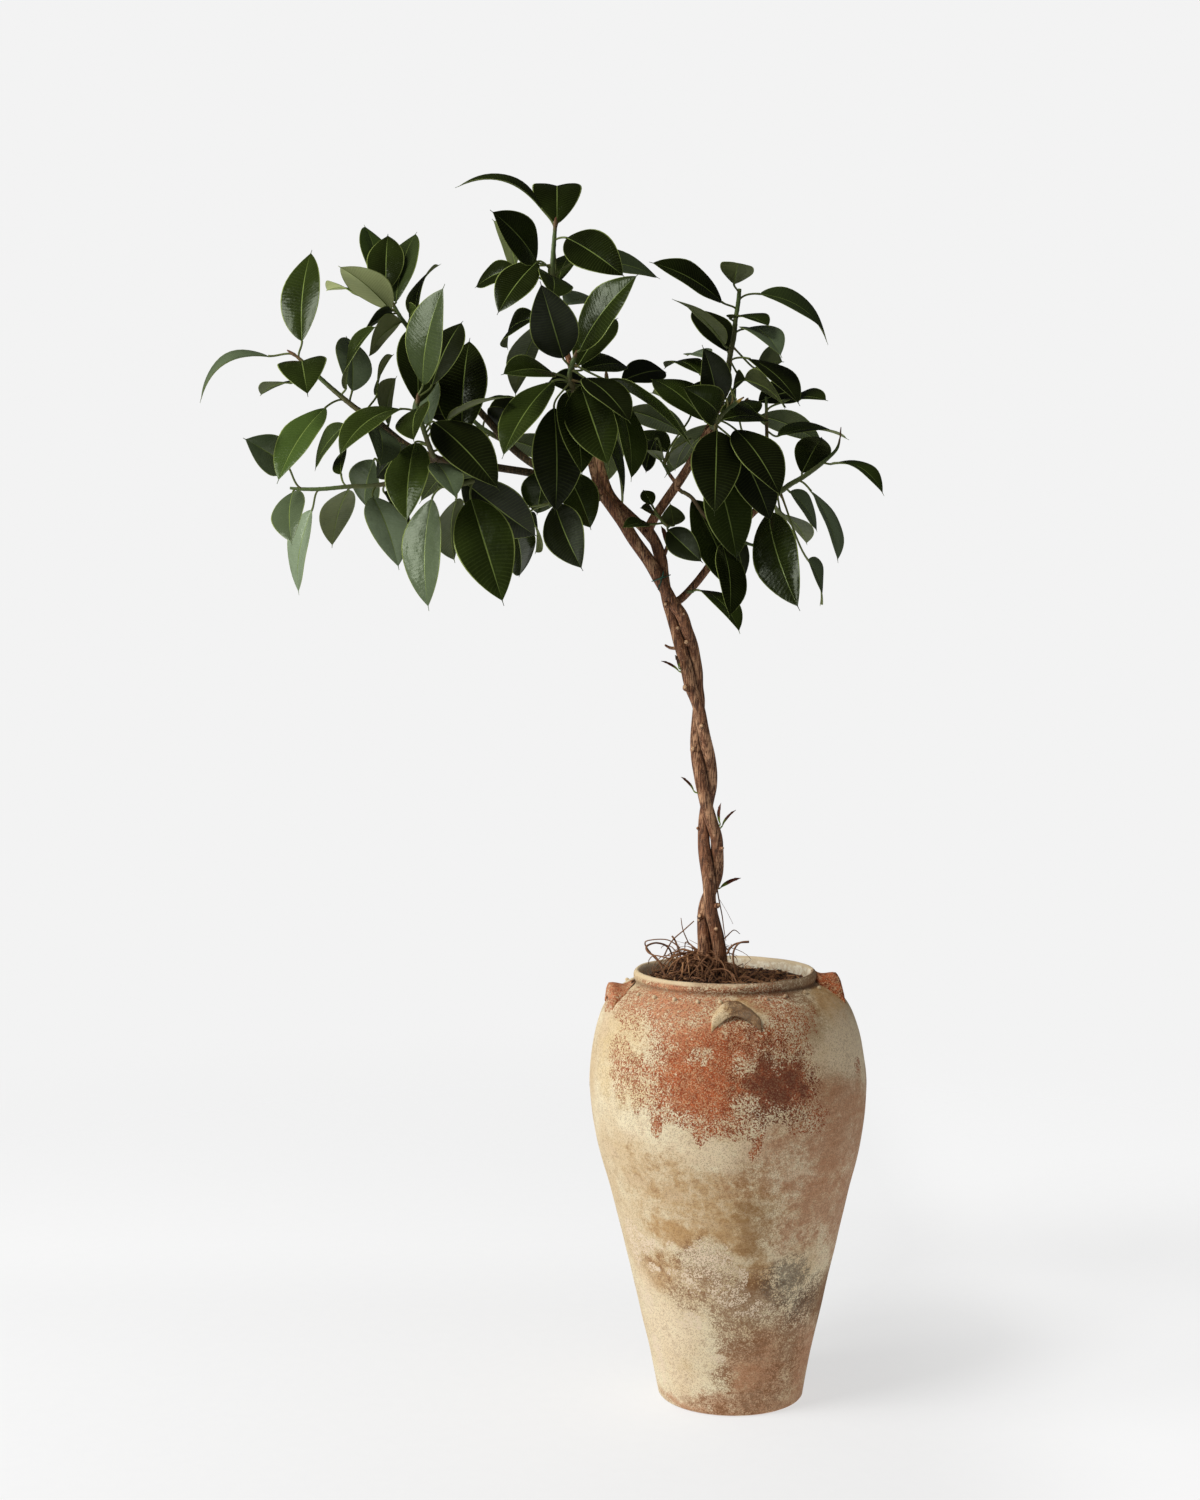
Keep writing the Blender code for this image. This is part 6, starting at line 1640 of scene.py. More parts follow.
def make_jar():
    """The jar's wall, lugs and studs in place of the solid."""
    noise.seed_set(CLAY_SEED)
    shape = Shape("rim", "hollow", "inside", *CLAY_PATCHES)
    clay = ({name: [clay_patch(*row) for row in rows] for name, rows in CLAY_PATCHES.items()},
            [clay_patch(*row) for row in CLAY_HOLES])
    add_clay(shape, clay, *jar_wall())
    for k, (lug, wash, shade) in enumerate(zip(LUGS, LUG_WASH, LUG_PAINTED_SHADE)):
        add_clay(shape, clay, *lug_body(lug, k), wash, shade, 0.0)
    draw = random.Random(STUD_SEED)
    for turn, level in stud_places(draw):
        add_clay(shape, clay, *stud_body(turn - math.pi / 2, level, draw), rim=1.0)
    shape.piece("jar_fine", clay_material(), "fired_clay", "jar")


def add_clay(shape, clay, points, faces, wash=None, shade=None, rim=None):
    """Adds a body of the jar with the patches that cover it.

    A lug has a wash of its own, and painted shade besides at its right side. rim is how pale the body
    is, where it isn't the wall, whose edge alone is pale.
    """
    marks = {name: [] for name in [*CLAY_PATCHES, "rim", "hollow", "inside"]}
    for point in points:
        for name, value in clay_marks(point, *clay).items():
            if wash:
                value = wash.get(name, OTHER_WASH * value)
                # painted shade: a lug's right side gets more brown, ochre and stain
                value += shade.get(name, 0.0) * limited(0.5 + point.x / PAINTED_SHADE_WIDTH)
            marks[name].append(value)
        radius = math.hypot(point.x, point.y)
        limit = fine_radius(point.z) - INSIDE_DEPTH if point.z < INSIDE_LEVEL else INSIDE_RADIUS
        edge = limited((point.z - RIM_LEVEL) / RIM_FADE) if radius < RIM_RADIUS else 0.0
        # towards the front right the lip's pale edge fades and the lip turns brown
        if rim is None and point.y < 0.0 and radius < LIP_FADE_RADIUS and point.z > LIP_LEVEL:
            worn = limited((point.x - LIP_FADE_START) / LIP_FADE_WIDTH)
            edge *= 1.0 - LIP_PALE_LOSS * worn
            marks["brown"][-1] = max(marks["brown"][-1], LIP_BROWN * worn)
        hollow = (UNDER_LIP_RADIUS < radius < RIM_RADIUS
                  and UNDER_LIP_LEVELS[0] < point.z < UNDER_LIP_LEVELS[1])
        marks["rim"].append(edge if rim is None else rim)
        marks["inside"].append(1.0 if radius < limit else 0.0)
        marks["hollow"].append(1.0 if hollow else 0.0)
    leaning = [Vector((point.x + jar_lean(point.z), point.y, point.z)) for point in points]
    shape.add(leaning, faces, **marks)


def lug_section(lug, number, s):
    """A lug's section as radius and height, at the place s along it from -1 to 1."""
    _, _, crest, foot, droop, foot_droop, reach, end_reach = lug
    uneven = 0.0008 * math.sin(3.0 * s + number)
    top = crest - droop * abs(s) ** 2.4 + uneven
    low = foot - foot_droop * abs(s) ** 1.75 + uneven
    wall = fine_radius(low)
    edge = max(wall + 0.0006, reach + (end_reach - reach) * s * s)
    stand = edge - wall
    brow = max(fine_radius(top - 0.002) + 0.001, edge - 0.0045 - 0.25 * stand)
    start = fine_radius(top + 0.002) - 0.001
    dip, crown = (part * max(0.0, 1.0 - s * s) for part in LUG_HOLLOWS[number])
    swell = min(1.0, stand / 0.010)
    rise = [(start, top + 0.002 + 0.3 * dip),
            (start + 0.35 * (brow - start), top + 0.0010 - 1.6 * dip),
            (brow - 0.35 * (brow - start), top + 0.0006 + crown), (brow, top - 0.0022 + crown)]
    face = [(brow + 0.6 * (edge - brow), top - 0.0050 + 0.4 * crown),
            (edge - 0.0006, low + 0.45 * (top - low)), (edge, low + 0.0022)]
    roll = [(edge + 0.0002, low - 0.0006), (edge - 0.0018, low - 0.0012),
            (edge - 0.0030, low + 0.0006)]
    under = [(wall + 0.002, low + 0.009 * swell), (wall - 0.002, low + 0.007 * swell),
             (wall - 0.008, low + 0.003)]
    return bezier_chain(rise + face + roll + under, (7, 8, 5, 6))


def lug_body(lug, number):
    """One ear lug: a thick ledge off the shoulder whose ends droop into it, undercut beneath."""
    turn, half = lug[:2]
    points = []
    for i in range(LUG_FINE + 1):
        s = 2.0 * i / LUG_FINE - 1.0
        angle = math.radians(turn + s * half)
        section = lug_section(lug, number, s)
        for spot in section:
            bend = 0.0009 * noise.noise(Vector((s * 4 + number * 9, spot.y * 90, 1.7)))
            points.append(Vector((math.cos(angle) * (spot.x + bend),
                                  math.sin(angle) * (spot.x + bend), spot.y + bend)))
    return points, tube_faces(LUG_FINE + 1, len(section))


def stud_body(angle, level, draw):
    """One pressed stud, a small ball half sunk in the neck. No two are quite the same size."""
    size = STUD_RADIUS * draw.uniform(0.9, 1.1)
    reach = fine_radius(level) + STUD_STAND
    centre = Vector((reach * math.cos(angle), reach * math.sin(angle), level + STUD_LIFT))
    points = []
    for i in range(1, STUD_LEVELS):
        up = math.pi * i / STUD_LEVELS
        points += [centre + size * Vector((math.sin(up) * x, math.sin(up) * y, math.cos(up)))
                   for x, y in circle(STUD_TURNS)]
    rings = STUD_LEVELS - 1
    faces = turned_over(ring_quads(rings, STUD_TURNS))
    faces.append(tuple(range(STUD_TURNS)))
    faces.append(tuple(reversed(range((rings - 1) * STUD_TURNS, rings * STUD_TURNS))))
    return points, faces


# The soil
SOIL_TURNS = 180
SOIL_LEVELS = 70
MOUND_PLACE, MOUND_HEIGHT, MOUND_RADIUS = (-0.052, 0.006), 0.015, 0.040    # on top of the heap
SOIL_CHIPS, SOIL_FIBRES, NEST_ROOTS, STRAY_ROOTS = 1300, 520, 150, 60
SOIL_EDGE_DROP = 0.004            # how much lower the soil is at the wall
CORNER_RISE, CORNER_CUT = 0.010, 0.008    # of the cut corner at the soil's foot
CHIP_REACH = 0.130                # chips and fibres start this close to the jar's middle
ROOT_REACH = 0.131                # and every thin root ends this close to it
NEST_REACH = 0.112                # and those of the nest start this close
FEET_PLACE, FEET_ROOM = -0.035, 0.024     # chips and fibres keep off this place by the stems
CHIP_SIDES = 6


def soil_top(x, y):
    """The height of the fine soil at a place, without its chips."""
    edge = MOUTH_RADIUS - GAP
    fade = limited((edge - math.hypot(x - jar_lean(SOIL_LEVEL), y)) / SOIL_FADE)
    crumbs = 0.0022 * noise.noise(Vector((x, y, 2.0)) * 130.0)
    crumbs += 0.0012 * noise.noise(Vector((x, y, 4.0)) * 400.0)
    off = math.hypot(x - MOUND_PLACE[0], y - MOUND_PLACE[1]) / MOUND_RADIUS
    mound = MOUND_HEIGHT * math.exp(-1.6 * off * off)
    return SOIL_LEVEL + (soil_height(x, y) + crumbs + mound) * fade


def soil_block():
    """The points and faces of the soil without its chips and roots."""
    edge = MOUTH_RADIUS - GAP
    lean = jar_lean(SOIL_LEVEL)
    points = [Vector((lean, 0, soil_top(lean, 0)))]
    for i in range(1, SOIL_LEVELS + 1):
        radius = edge * i / SOIL_LEVELS
        drop = SOIL_EDGE_DROP if i == SOIL_LEVELS else 0.0
        for cosine, sine in circle(SOIL_TURNS):
            x, y = lean + radius * cosine, radius * sine
            points.append(Vector((x, y, soil_top(x, y) - drop)))
    heights = JAR_INSIDE_HEIGHTS[1:] + [JAR_FLOOR + CORNER_RISE]
    low = [(edge, JAR_INSIDE_HEIGHTS[0])]
    low += [(fine_radius(z) - JAR_WALL - GAP, z) for z in heights]
    low += [(low[-1][0] - CORNER_CUT, JAR_FLOOR + GAP)]
    for radius, z in low:
        points += [Vector((jar_lean(z) + radius * cosine, radius * sine, z))
                   for cosine, sine in circle(SOIL_TURNS)]
    points.append(Vector((0, 0, JAR_FLOOR + GAP)))
    return points, turned_over(turned_faces(SOIL_LEVELS + len(low), SOIL_TURNS))


def make_soil():
    """The soil with its crumbs, bark chips, coir fibres and roots in place of the solid."""
    shape = Shape("tone", "fibre")
    shape.add(*soil_block())
    draw = random.Random(SOIL_SEED)
    for path in root_paths() + [seen_path(row) for row in AIR_ROOTS]:
        shape.tube(path_along(path, 0.003), 8, bark_relief(2.0, 0.5),
                   tone=draw.uniform(0.0, 0.5), fibre=1.0)
    for count, add in ((SOIL_CHIPS, add_chip), (SOIL_FIBRES, add_fibre),
                       (NEST_ROOTS, add_nest_root), (STRAY_ROOTS, add_stray)):
        for _ in range(count):
            add(shape, draw)
    shape.piece("soil_fine", soil_material(), "potting_mix", "soil")


def soil_spot(draw):
    """A place on the soil, by chance, clear of the stems."""
    while True:
        angle, radius = draw.uniform(0, 2 * math.pi), CHIP_REACH * math.sqrt(draw.random())
        x, y = jar_lean(SOIL_LEVEL) + radius * math.cos(angle), radius * math.sin(angle)
        if math.hypot(x - FEET_PLACE, y) > FEET_ROOM:
            return x, y


def on_soil(x, y, lift=0.0):
    """The point on the soil there, or a little above it."""
    return Vector((x, y, soil_top(x, y) + lift))


def heading(turn, rise):
    """The direction that is turned round the vertical and rises by these angles."""
    return Vector((math.cos(turn) * math.cos(rise), math.sin(turn) * math.cos(rise),
                   math.sin(rise)))


def add_chip(shape, draw):
    """Adds one chip of bark, an uneven splinter that lies on the soil."""
    x, y = soil_spot(draw)
    long = draw.uniform(0.004, 0.009) if draw.random() < 0.7 else draw.uniform(0.009, 0.016)
    wide, thick = long * draw.uniform(0.25, 0.55), draw.uniform(0.0010, 0.0028)
    turn, rise = draw.uniform(0, 2 * math.pi), draw.uniform(-0.45, 0.45)
    ahead = heading(turn, rise)
    side = Vector((-math.sin(turn), math.cos(turn), draw.uniform(-0.5, 0.5))).normalized()
    up = ahead.cross(side).normalized()
    centre = on_soil(x, y, 0.0010)
    points = []
    for end in (-1, 1):
        for cosine, sine in circle(CHIP_SIDES):
            size = draw.uniform(0.6, 1.1)
            points.append(centre + ahead * end * long * draw.uniform(0.36, 0.55)
                          + side * wide * 0.5 * size * cosine + up * thick * 0.5 * size * sine)
    shape.add(points, tube_faces(2, CHIP_SIDES), tone=draw.random() ** 1.5)


def fibre_path(start, turn, rise, long, radius, curl, draw, stations=7, droop=0.0):
    """A thin curling fibre from a start point, which bends down by droop at each step."""
    path, point = [], start.copy()
    lean = jar_lean(SOIL_LEVEL)
    for i in range(stations):
        share = i / (stations - 1)
        path.append((point.copy(), radius * (1.0 - 0.6 * share)))
        turn += curl * draw.uniform(0.2, 1.0)
        rise += draw.uniform(-0.35, 0.25) - droop
        point += heading(turn, rise) * (long / (stations - 1))
        far = math.hypot(point.x - lean, point.y)
        if far > ROOT_REACH:
            point.x = lean + (point.x - lean) * ROOT_REACH / far
            point.y *= ROOT_REACH / far
        lowest = soil_top(point.x, point.y) - 0.0002
        if point.z < lowest:
            point.z = lowest
            rise = max(rise, -0.2)
    return path


def add_fibre(shape, draw):
    """Adds one coir fibre that lies on the soil."""
    path = fibre_path(on_soil(*soil_spot(draw)), draw.uniform(0, 2 * math.pi),
                      draw.uniform(-0.1, 0.4), draw.uniform(0.012, 0.036),
                      draw.uniform(0.0004, 0.0010), draw.uniform(-0.6, 0.6), draw)
    shape.tube(path, 5, tone=draw.random(), fibre=1.0)


def add_nest_root(shape, draw):
    """Adds one woody root of the nest that lies over the heap, round the stems' feet."""
    angle, far = draw.uniform(0, 2 * math.pi), abs(draw.gauss(0, 0.030))
    x = HEAP_PLACE[0] + 0.016 + 1.15 * far * math.cos(angle)
    y = HEAP_PLACE[1] + far * math.sin(angle)
    if math.hypot(x - jar_lean(SOIL_LEVEL), y) > NEST_REACH:
        return
    away = math.atan2(y - MOUND_PLACE[1], x - MOUND_PLACE[0])
    turn = away + draw.uniform(-1.5, 1.5)
    radius = draw.uniform(0.0008, 0.0013) if draw.random() < 0.6 else draw.uniform(0.0013, 0.0021)
    path = fibre_path(on_soil(x, y, draw.uniform(0.0, 0.004)), turn, draw.uniform(0.1, 0.7),
                      draw.uniform(0.030, 0.085), radius, draw.uniform(-0.35, 0.35), draw, 10, 0.14)
    shape.tube(path, 6, tone=draw.uniform(0.0, 0.85), fibre=1.0)


def add_stray(shape, draw):
    """Adds one thin root that stands out of the nest."""
    angle, far = draw.uniform(0, 2 * math.pi), abs(draw.gauss(0, 0.022))
    x = HEAP_PLACE[0] + 0.010 + far * math.cos(angle)
    y = HEAP_PLACE[1] + far * math.sin(angle)
    path = fibre_path(on_soil(x, y), draw.uniform(0, 2 * math.pi), draw.uniform(0.3, 1.0),
                      draw.uniform(0.020, 0.050), draw.uniform(0.0004, 0.0008),
                      draw.uniform(-0.5, 0.5), draw, 9, 0.08)
    shape.tube(path, 5, tone=draw.uniform(0.0, 0.6), fibre=1.0)


# The wood. The roots in the air are rows of across, down, depth and radius, with the last two in
# millimetres, and the cut scars are across, down and radius.
AIR_ROOTS = [
    [(716, 882, -3, 1.3), (719, 900, -8, 1.1), (722, 915, -10, 1.0), (724, 930, -12, 0.8),
     (726, 941, -12, 0.4)],
    [(718, 897, -8, 0.4), (727, 912, -8, 0.3), (733, 924, -8, 0.3)],
    [(727, 954, -12, 1.8), (731, 947, -14, 1.7), (738, 943, -14, 1.4), (749, 942.5, -12, 0.9)],
    [(719, 944, -10, 1.2), (727, 936, -6, 1.0), (734, 930, -2, 0.8), (740, 934, 2, 0.5)],
    [(672, 972, 6, 1.5), (655, 958, -2, 1.4), (645, 944, -8, 1.2), (651, 940, -10, 1.0),
     (668, 940, -12, 1.0), (680, 948, -14, 1.2)],
    [(694, 921, -4, 0.9), (684, 930, -6, 1.0), (672, 941, -6, 1.1), (664, 956, -4, 1.2)],
    [(689, 944, 4, 1.1), (683, 930, 0, 0.9), (681, 918, -2, 0.6)],
]
SCARS_A = [(687, 688, 4.8), (677, 629, 4.2), (712, 822, 3.2), (716, 906, 3.8),
           (717, 964, 5.0), (716, 930, 4.2), (720, 849, 2.8), (702, 727, 4.4)]
SCARS_B = [(688, 643, 4.8), (668, 605, 4.2), (709, 887, 3.0),
           (694, 750, 4.6), (683, 615, 3.0), (688, 660, 3.2), (701, 917, 4.4)]
SLIT_ROWS = (832.0, 848.0)        # where daylight shows between the stems
SLIT_FILL, GAP_FILL = 0.45, 1.1   # how much the stems swell there and elsewhere, of half the gap
SLIT_ROOM = 0.009                 # stems further apart than this have parted
CLEFT = 0.0030                    # bark is painted dark as shade this close to the other stem
KNOB_RISE = 0.0030                # how far a scar stands out of its stem
YOUNG_BRANCHES = ("shoot_far_left", "shoot_upper_left", "shoot_left_front", "shoot_left_bare",
                  "shoot_left_low")


def closed_path(rows, others):
    """A stem's path, swollen towards the other stem where they would leave a slit between them."""
    path, out = seen_path(rows), []
    other = path_along(seen_path(others), 0.006)
    for (_, down, _, _), (place, radius) in zip(rows, path):
        near, near_radius = min(other, key=lambda spot: (spot[0] - place).length)
        gap = (near - place).length - radius - near_radius
        if 0.0 < gap < SLIT_ROOM:
            share = SLIT_FILL if SLIT_ROWS[0] < down < SLIT_ROWS[1] else GAP_FILL
            share *= min(1.0, (SLIT_ROOM - gap) / (0.35 * SLIT_ROOM))
            place = place + (near - place).normalized() * gap * 0.25 * share
            radius += gap * 0.25 * share
        out.append((place, radius))
    return out


def crevice(point, other):
    """How far a point lies into the cleft along the other stem, from 0 to 1, for the painted shade
    there.
    """
    gap = min((place - point).length - radius for place, radius in other)
    return limited(1.0 - (gap - 0.0004) / CLEFT)


def add_scar(shape, row, path, seed):
    """Adds the knob and the pale face where a twig was cut from the front of a stem."""
    across, down, size = row
    size *= MILLI
    sight = (seen(across, down, 0) - VIEWPOINT).normalized()
    centre, radius = min(path, key=lambda spot: (spot[0] - VIEWPOINT).cross(sight).length)
    foot = VIEWPOINT + sight * ((centre - VIEWPOINT).dot(sight) - 0.5 * radius)
    side = sight.cross(Vector((0, 0, 1))).normalized()
    lean = (seen(across, down, 0) - centre).dot(side) / radius
    out = (-sight + side * max(-0.9, min(0.9, lean)) * 0.8 + Vector((0, 0, 0.25))).normalized()
    top = foot + out * (0.5 * radius + KNOB_RISE)
    knob = [(foot, size * 1.25), (foot + out * 0.4 * radius, size * 1.25), (top, size * 0.82)]
    shape.tube(path_along(knob, 0.001), BRANCH_SIDES, bark_relief(seed))
    cap = [(top - out * 0.0004, size * 0.66), (top + out * 0.0003, size * 0.6)]
    shape.tube(cap, BRANCH_SIDES, along=0.0, cut=1.0)


def make_stem(name, rows, others, branches, stubs, scars, seed, material):
    """One woody stem with its branches, stubs and cut scars in place of its solid."""
    shape = Shape("along", "cut", "young", "deep")
    path = closed_path(rows, others)
    place, radius = path[0]
    foot = [(Vector((place.x, place.y, HOLE_BOTTOM)), radius),
            (Vector((place.x, place.y, place.z - FOOT_STRAIGHT)), radius)]
    trunk = path_along(foot + path, WOOD_STEP)
    points, faces, share = tube_body(trunk, STEM_SIDES, bark_relief(seed))
    other = path_along(closed_path(others, rows), 0.003)
    # the cleft along the other stem is marked for painted shade
    shape.add(points, faces, along=share, deep=[crevice(point, other) for point in points])
    for i, (twig, branch) in enumerate(branches.items()):
        shape.tube(path_along(wooden_path(branch), WOOD_STEP), BRANCH_SIDES,
                   bark_relief(seed + 3.7 * i, 0.8), young=0.9 if twig in YOUNG_BRANCHES else 0.0)
    for i, stub in enumerate(stubs):
        fine = path_along(seen_path(stub), SHOOT_STEP)
        shape.tube(fine, BRANCH_SIDES, bark_relief(seed - 2.1 * i, 0.8))
        (before, _), (end, radius) = fine[-2:]
        ahead = (end - before).normalized()
        cap = [(end - ahead * 0.0002, radius * 0.86), (end + ahead * 0.0003, radius * 0.86)]
        shape.tube(cap, BRANCH_SIDES, along=0.0, cut=1.0)
    for i, scar in enumerate(scars):
        add_scar(shape, scar, trunk, seed + 1.3 * i)
    shape.piece(name + "_fine", material, "bark", name)


SPROUT_SLIM, SPROUT_SCALE = 0.6, 0.7      # a sprout's blade and stalk, of a leaf's
# The sprout that stands upright, with the same columns as the roots, and the tip of its bud
UPRIGHT_SPROUT = [(697, 746, 12, 1.6), (696.5, 738, 12, 1.5), (698, 732, 12, 1.2)]
UPRIGHT_TIP = (699, 727, 12, 0.4)


def make_sprouts(material):
    """The small reddish sprouts on the stems."""
    shape = Shape(*LEAF_MARKS)
    draw = random.Random(SPROUT_SEED)
    for rows, sprouts in ((STEM_A, SPROUTS_A), (STEM_B, SPROUTS_B)):
        line = smooth([point for point, _ in seen_path(rows)], 4)
        for row in sprouts:
            form = leaf_form(line, leaf_place(line, row, set()), row)
            slim = form._replace(width=SPROUT_SLIM * form.width)
            leaf_body(shape, slim, draw, SPROUT_SCALE)
    shape.tube(path_along(seen_path(UPRIGHT_SPROUT), SHOOT_STEP), STALK_SIDES, kind=STALK)
    shape.tube(seen_path([UPRIGHT_SPROUT[-1], UPRIGHT_TIP]), STALK_SIDES, kind=BLADE)
    shape.piece("side_sprouts", material, "leaf")


TIE_FINE = 0.0009                 # the fine tie's radius
TIE_TURNS, TIE_SIDES = 48, 10
# Its knot and tails, as millimetres right, back and up from the knot's place, and thickness
TIE_TAILS = [[(-2, 0.2, -1.2, 1.1), (-0.5, -1.2, 0, 1.7), (1.4, 0.2, 1.4, 1.1)],
             [(0, -0.5, 0, 1.0), (2.2, -2.5, 5, 1.0), (3.0, -2.0, 11, 0.9)],
             [(0, -0.5, 0, 1.0), (-1.0, -2.6, -6, 1.0), (-3.0, -2.6, -12, 1.0),
              (-5.6, -1.6, -19, 0.8)]]


def make_tie():
    """The green tie in place of its solid: a loop round both stems with two tails."""
    spots = []
    height = seen(*TIE_PLACE, 0).z
    for rows in (STEM_A, STEM_B):
        line = smooth([point for point, _ in seen_path(rows)], 8)
        spot = min(range(1, len(line) - 1), key=lambda i: abs(line[i].z - height))
        spots.append((line[spot], (line[spot + 1] - line[spot - 1]).normalized()))
    (first, along_a), (second, along_b) = spots
    along = (along_a + along_b).normalized()
    across = second - first
    across -= along * across.dot(along)
    half = across.length / 2
    across.normalize()
    over = along.cross(across)
    middle = (first + second) / 2
    reach = TIE_ROOM + TIE_RADIUS
    loop = []
    for x, y in circle(TIE_TURNS):
        push = half * max(-1.0, min(1.0, x * 3.0))
        loop.append(middle + across * (push + reach * x) + over * reach * y)
    points = []
    for centre in loop:
        out = (centre - middle).normalized()
        points += [centre + (out * x + along * y) * TIE_FINE for x, y in circle(TIE_SIDES)]
    count = len(points)
    faces = [(a, d % count, c % count, b) for a, b, c, d in ring_quads(TIE_TURNS + 1, TIE_SIDES)]
    shape = Shape()
    shape.add(points, faces)
    knot = min(loop, key=lambda point: point.y + 0.4 * abs(point.x - middle.x))
    for rows in TIE_TAILS:
        path = [(knot + Vector(place) * MILLI, TIE_FINE * size) for *place, size in rows]
        shape.tube(path_along(path, 0.001), TIE_SIDES)
    shape.piece("tie_fine", tie_material(), "plant_tie", "tie")


# The studio
SUN_TOWARDS = math.radians(37.0)  # how far in front of the left the light comes from
SUN_HEIGHT = math.radians(50.0)
SUN_STRENGTH = 1.45
SUN_SIZE = math.radians(18.0)
BACKDROP = 0.896                  # the photo's plain background, as linear light
FILL = 0.22                       # what lights matt surfaces from all round
GLEAM = 0.015                     # and what glossy ones reflect
PANEL_PLACE = Vector((-2.8, -0.7, 2.0))    # the soft panel at the left
PANEL_AIM = Vector((-0.2, 0.0, 1.3))
PANEL_SIZE = (1.1, 2.3)
PANEL_POWER = 54.0
FLOOR_ALBEDO, FLOOR_GLOW = 0.31, 0.612
FLOOR_LIFT, FLOOR_RISE = 0.095, 0.045      # more at the right and behind, where the crown shades it
FLOOR_CLEAR, FLOOR_END = 1.5, 3.4         # how far out it starts to fade, and is gone
FLOOR_TURNS = 96
FLOOR_SPECK, SPECK_SHARE = (0.6, 0.6, 0.6), 0.02
WHITE = (1.0, 1.0, 1.0)
SENSOR = 36.0                     # height of the camera's sensor, in millimetres


def make_backdrop():
    """The plain backdrop, which the camera sees brighter than it lights the plant."""
    world = bpy.data.worlds.new("studio")
    bpy.context.scene.world = world
    world.use_nodes = True
    tree = world.node_tree
    sky = tree.nodes["Background"]
    path = tree.nodes.new("ShaderNodeLightPath")
    level = tree.nodes.new("ShaderNodeMix")
    level.inputs[2].default_value, level.inputs[3].default_value = FILL, GLEAM
    tree.links.new(path.outputs["Is Glossy Ray"], level.inputs[0])
    shown = tree.nodes.new("ShaderNodeMix")
    shown.inputs[3].default_value = BACKDROP
    tree.links.new(path.outputs["Is Camera Ray"], shown.inputs[0])
    tree.links.new(level.outputs[0], shown.inputs[2])
    tree.links.new(shown.outputs[0], sky.inputs["Strength"])
    sky.inputs["Color"].default_value = (*WHITE, 1.0)


def make_lights():
    """The key light, high at the left in front, and the soft panel at the left."""
    sun = bpy.data.lights.new("key", "SUN")
    sun.energy = SUN_STRENGTH
    sun.angle = SUN_SIZE
    key = new_object("key", sun)
    towards = Vector((-math.cos(SUN_TOWARDS) * math.cos(SUN_HEIGHT),
                      -math.sin(SUN_TOWARDS) * math.cos(SUN_HEIGHT), math.sin(SUN_HEIGHT)))
    key.rotation_euler = towards.to_track_quat("Z", "Y").to_euler()
    key.visible_glossy = False
    soft = bpy.data.lights.new("panel", "AREA")
    soft.shape = "RECTANGLE"
    soft.size, soft.size_y = PANEL_SIZE
    soft.energy = PANEL_POWER
    panel = new_object("panel", soft)
    panel.location = PANEL_PLACE
    panel.rotation_euler = (PANEL_PLACE - PANEL_AIM).to_track_quat("Z", "Y").to_euler()
    panel.visible_camera = False


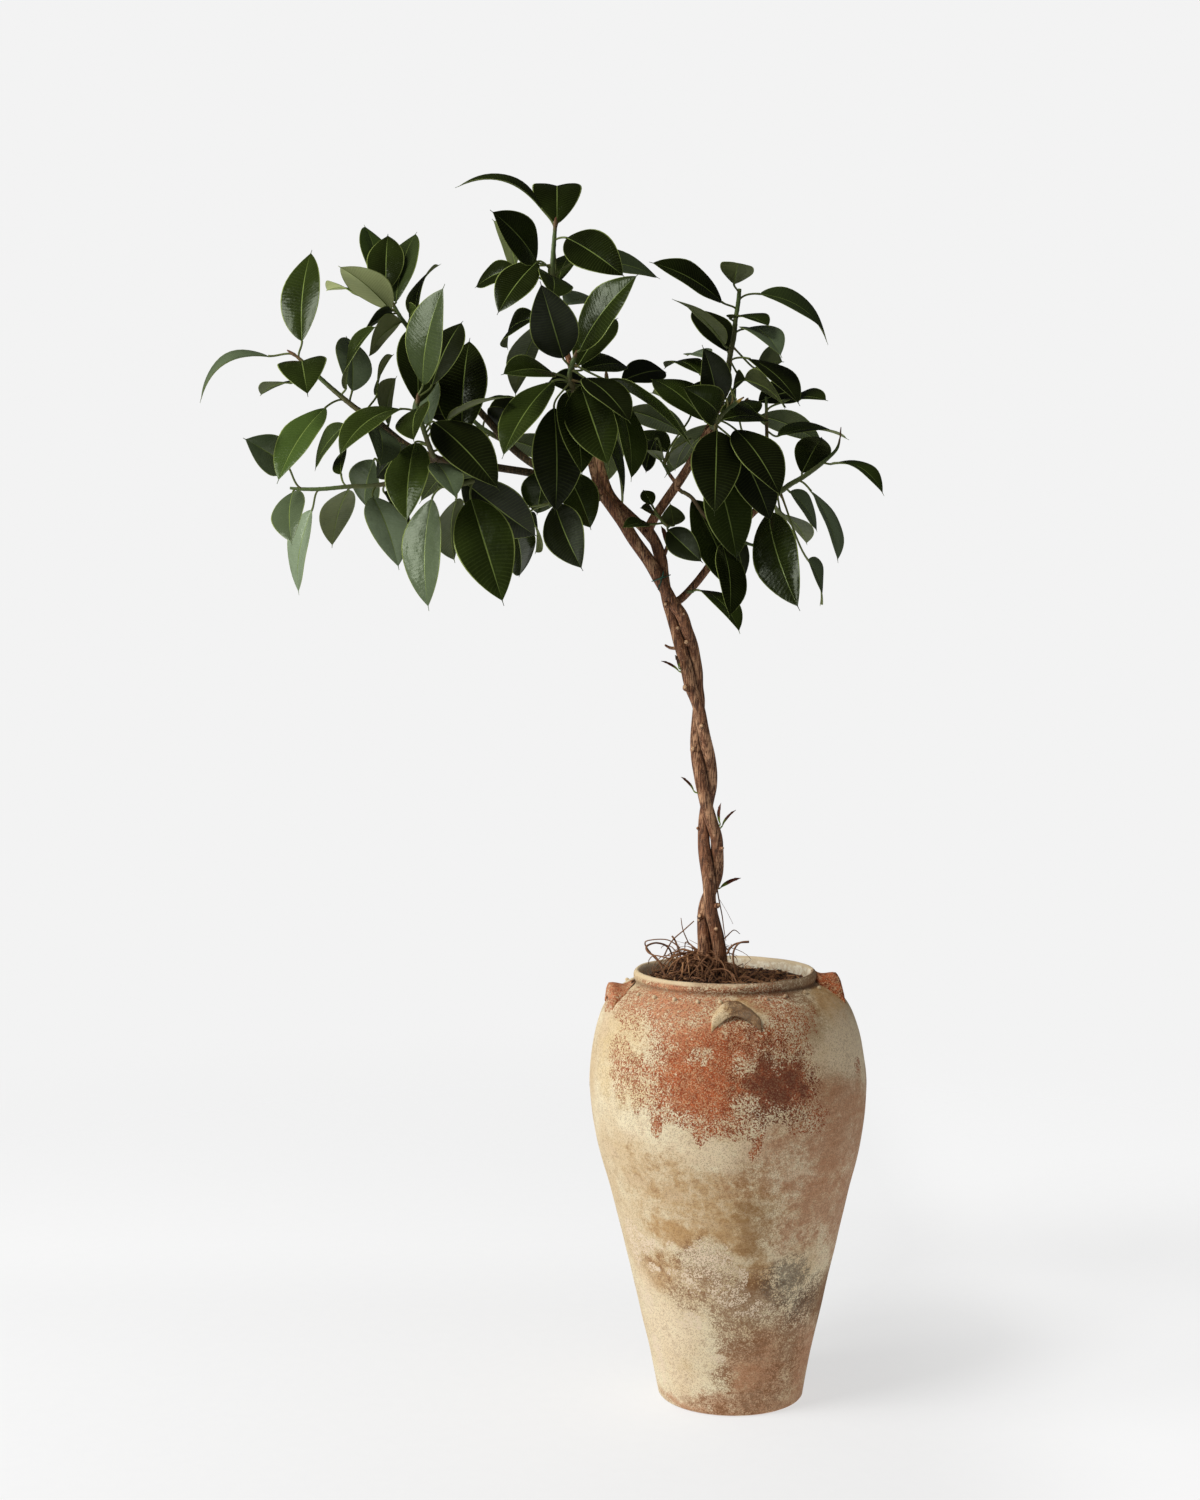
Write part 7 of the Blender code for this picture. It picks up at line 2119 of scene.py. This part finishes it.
def floor_material():
    """A pale floor that glows a little, more where the crown shades it, and fades out."""
    n = Nodes("pale_floor")
    place = n.node("TexCoord", "Object")
    length = n.node("VectorMath", "Value", {"operation": "LENGTH"}, vector=place)
    speck = n.step(n.noise(40.0, 3.0), 0.3, 0.7, 0.0, SPECK_SHARE)
    n.put(n.shader.inputs["Base Color"], n.mix(speck, (FLOOR_ALBEDO,) * 3, FLOOR_SPECK))
    n.put(n.shader.inputs["Roughness"], 1.0)
    n.put(n.shader.inputs["Specular IOR Level"], 0.0)
    n.put(n.shader.inputs["Emission Color"], WHITE)
    right = n.node("SeparateXYZ", "X", vector=place)
    back = n.node("SeparateXYZ", "Y", vector=place)
    lift = n.math("MAXIMUM", n.step(right, 0.20, 0.65, 0.0, FLOOR_LIFT),
                  n.step(back, 0.4, 0.9, 0.0, FLOOR_RISE))
    n.put(n.shader.inputs["Emission Strength"], n.plus(FLOOR_GLOW, lift))
    clear = n.tree.nodes.new("ShaderNodeBsdfTransparent")
    blend = n.tree.nodes.new("ShaderNodeMixShader")
    n.put(blend.inputs[0], n.step(length, FLOOR_CLEAR, FLOOR_END))
    n.put(blend.inputs[1], n.shader.outputs[0])
    n.put(blend.inputs[2], clear.outputs[0])
    n.put(n.tree.nodes["Material Output"].inputs[0], blend.outputs[0])
    return n.material


def make_floor():
    """The floor under the plant."""
    reach = FLOOR_END * 1.05
    mesh = bpy.data.meshes.new("floor")
    mesh.from_pydata([(reach * x, reach * y, 0.0) for x, y in circle(FLOOR_TURNS)], [],
                     [tuple(range(FLOOR_TURNS))])
    mesh.materials.append(floor_material())
    floor = new_object("floor", mesh)
    floor.location.z = -MILLI


def make_camera():
    """The camera at the place that the front view is seen from."""
    lens = bpy.data.cameras.new("camera")
    lens.sensor_fit = "VERTICAL"
    lens.sensor_height = SENSOR
    lens.lens = SENSOR * VIEW_FOCAL / (2.0 * VIEW_CENTRE[1])
    camera = new_object("camera", lens)
    camera.location = VIEWPOINT
    camera.rotation_euler = (math.radians(90.0) - VIEW_TILT, 0.0, 0.0)
    bpy.context.scene.camera = camera


def make_studio():
    """The backdrop, the lights, the floor and the camera."""
    bpy.context.scene.view_settings.view_transform = "Standard"
    make_backdrop()
    make_lights()
    make_floor()
    make_camera()


def main():
    """Makes every fine piece."""
    make_studio()
    make_jar()
    make_soil()
    bark = bark_material()
    make_stem("stem_a", STEM_A, STEM_B, BRANCHES_A, STUBS_A, SCARS_A, 1.0, bark)
    make_stem("stem_b", STEM_B, STEM_A, BRANCHES_B, STUBS_B, SCARS_B, 40.0, bark)
    make_tie()
    make_sprouts(leaf_material("young_sprout", 0.85))

    branches = {**BRANCHES_A, **BRANCHES_B}
    rows = {**LEAVES, **{name: back_rows(name) for name in BACK_SHOOTS}}
    shoots = {name: (stem_line(name, branches[name]), shoot_path(name, branches[name]), rows[name])
              for name in rows}
    wooden = [STEM_A, STEM_B, *STUBS_A, *STUBS_B]
    wood = [body(tube_rings(seen_path(path))) for path in wooden]
    wood += [body(tube_rings(wooden_path(branch))) for branch in branches.values()]
    forms = clear_forms(shoots, wood)
    waxy = leaf_material("waxy_leaf")
    draw = random.Random(LEAF_SEED)
    for name, (_, path, _) in shoots.items():
        make_shoot(name, path, forms[name], rows[name], waxy, draw)


main()
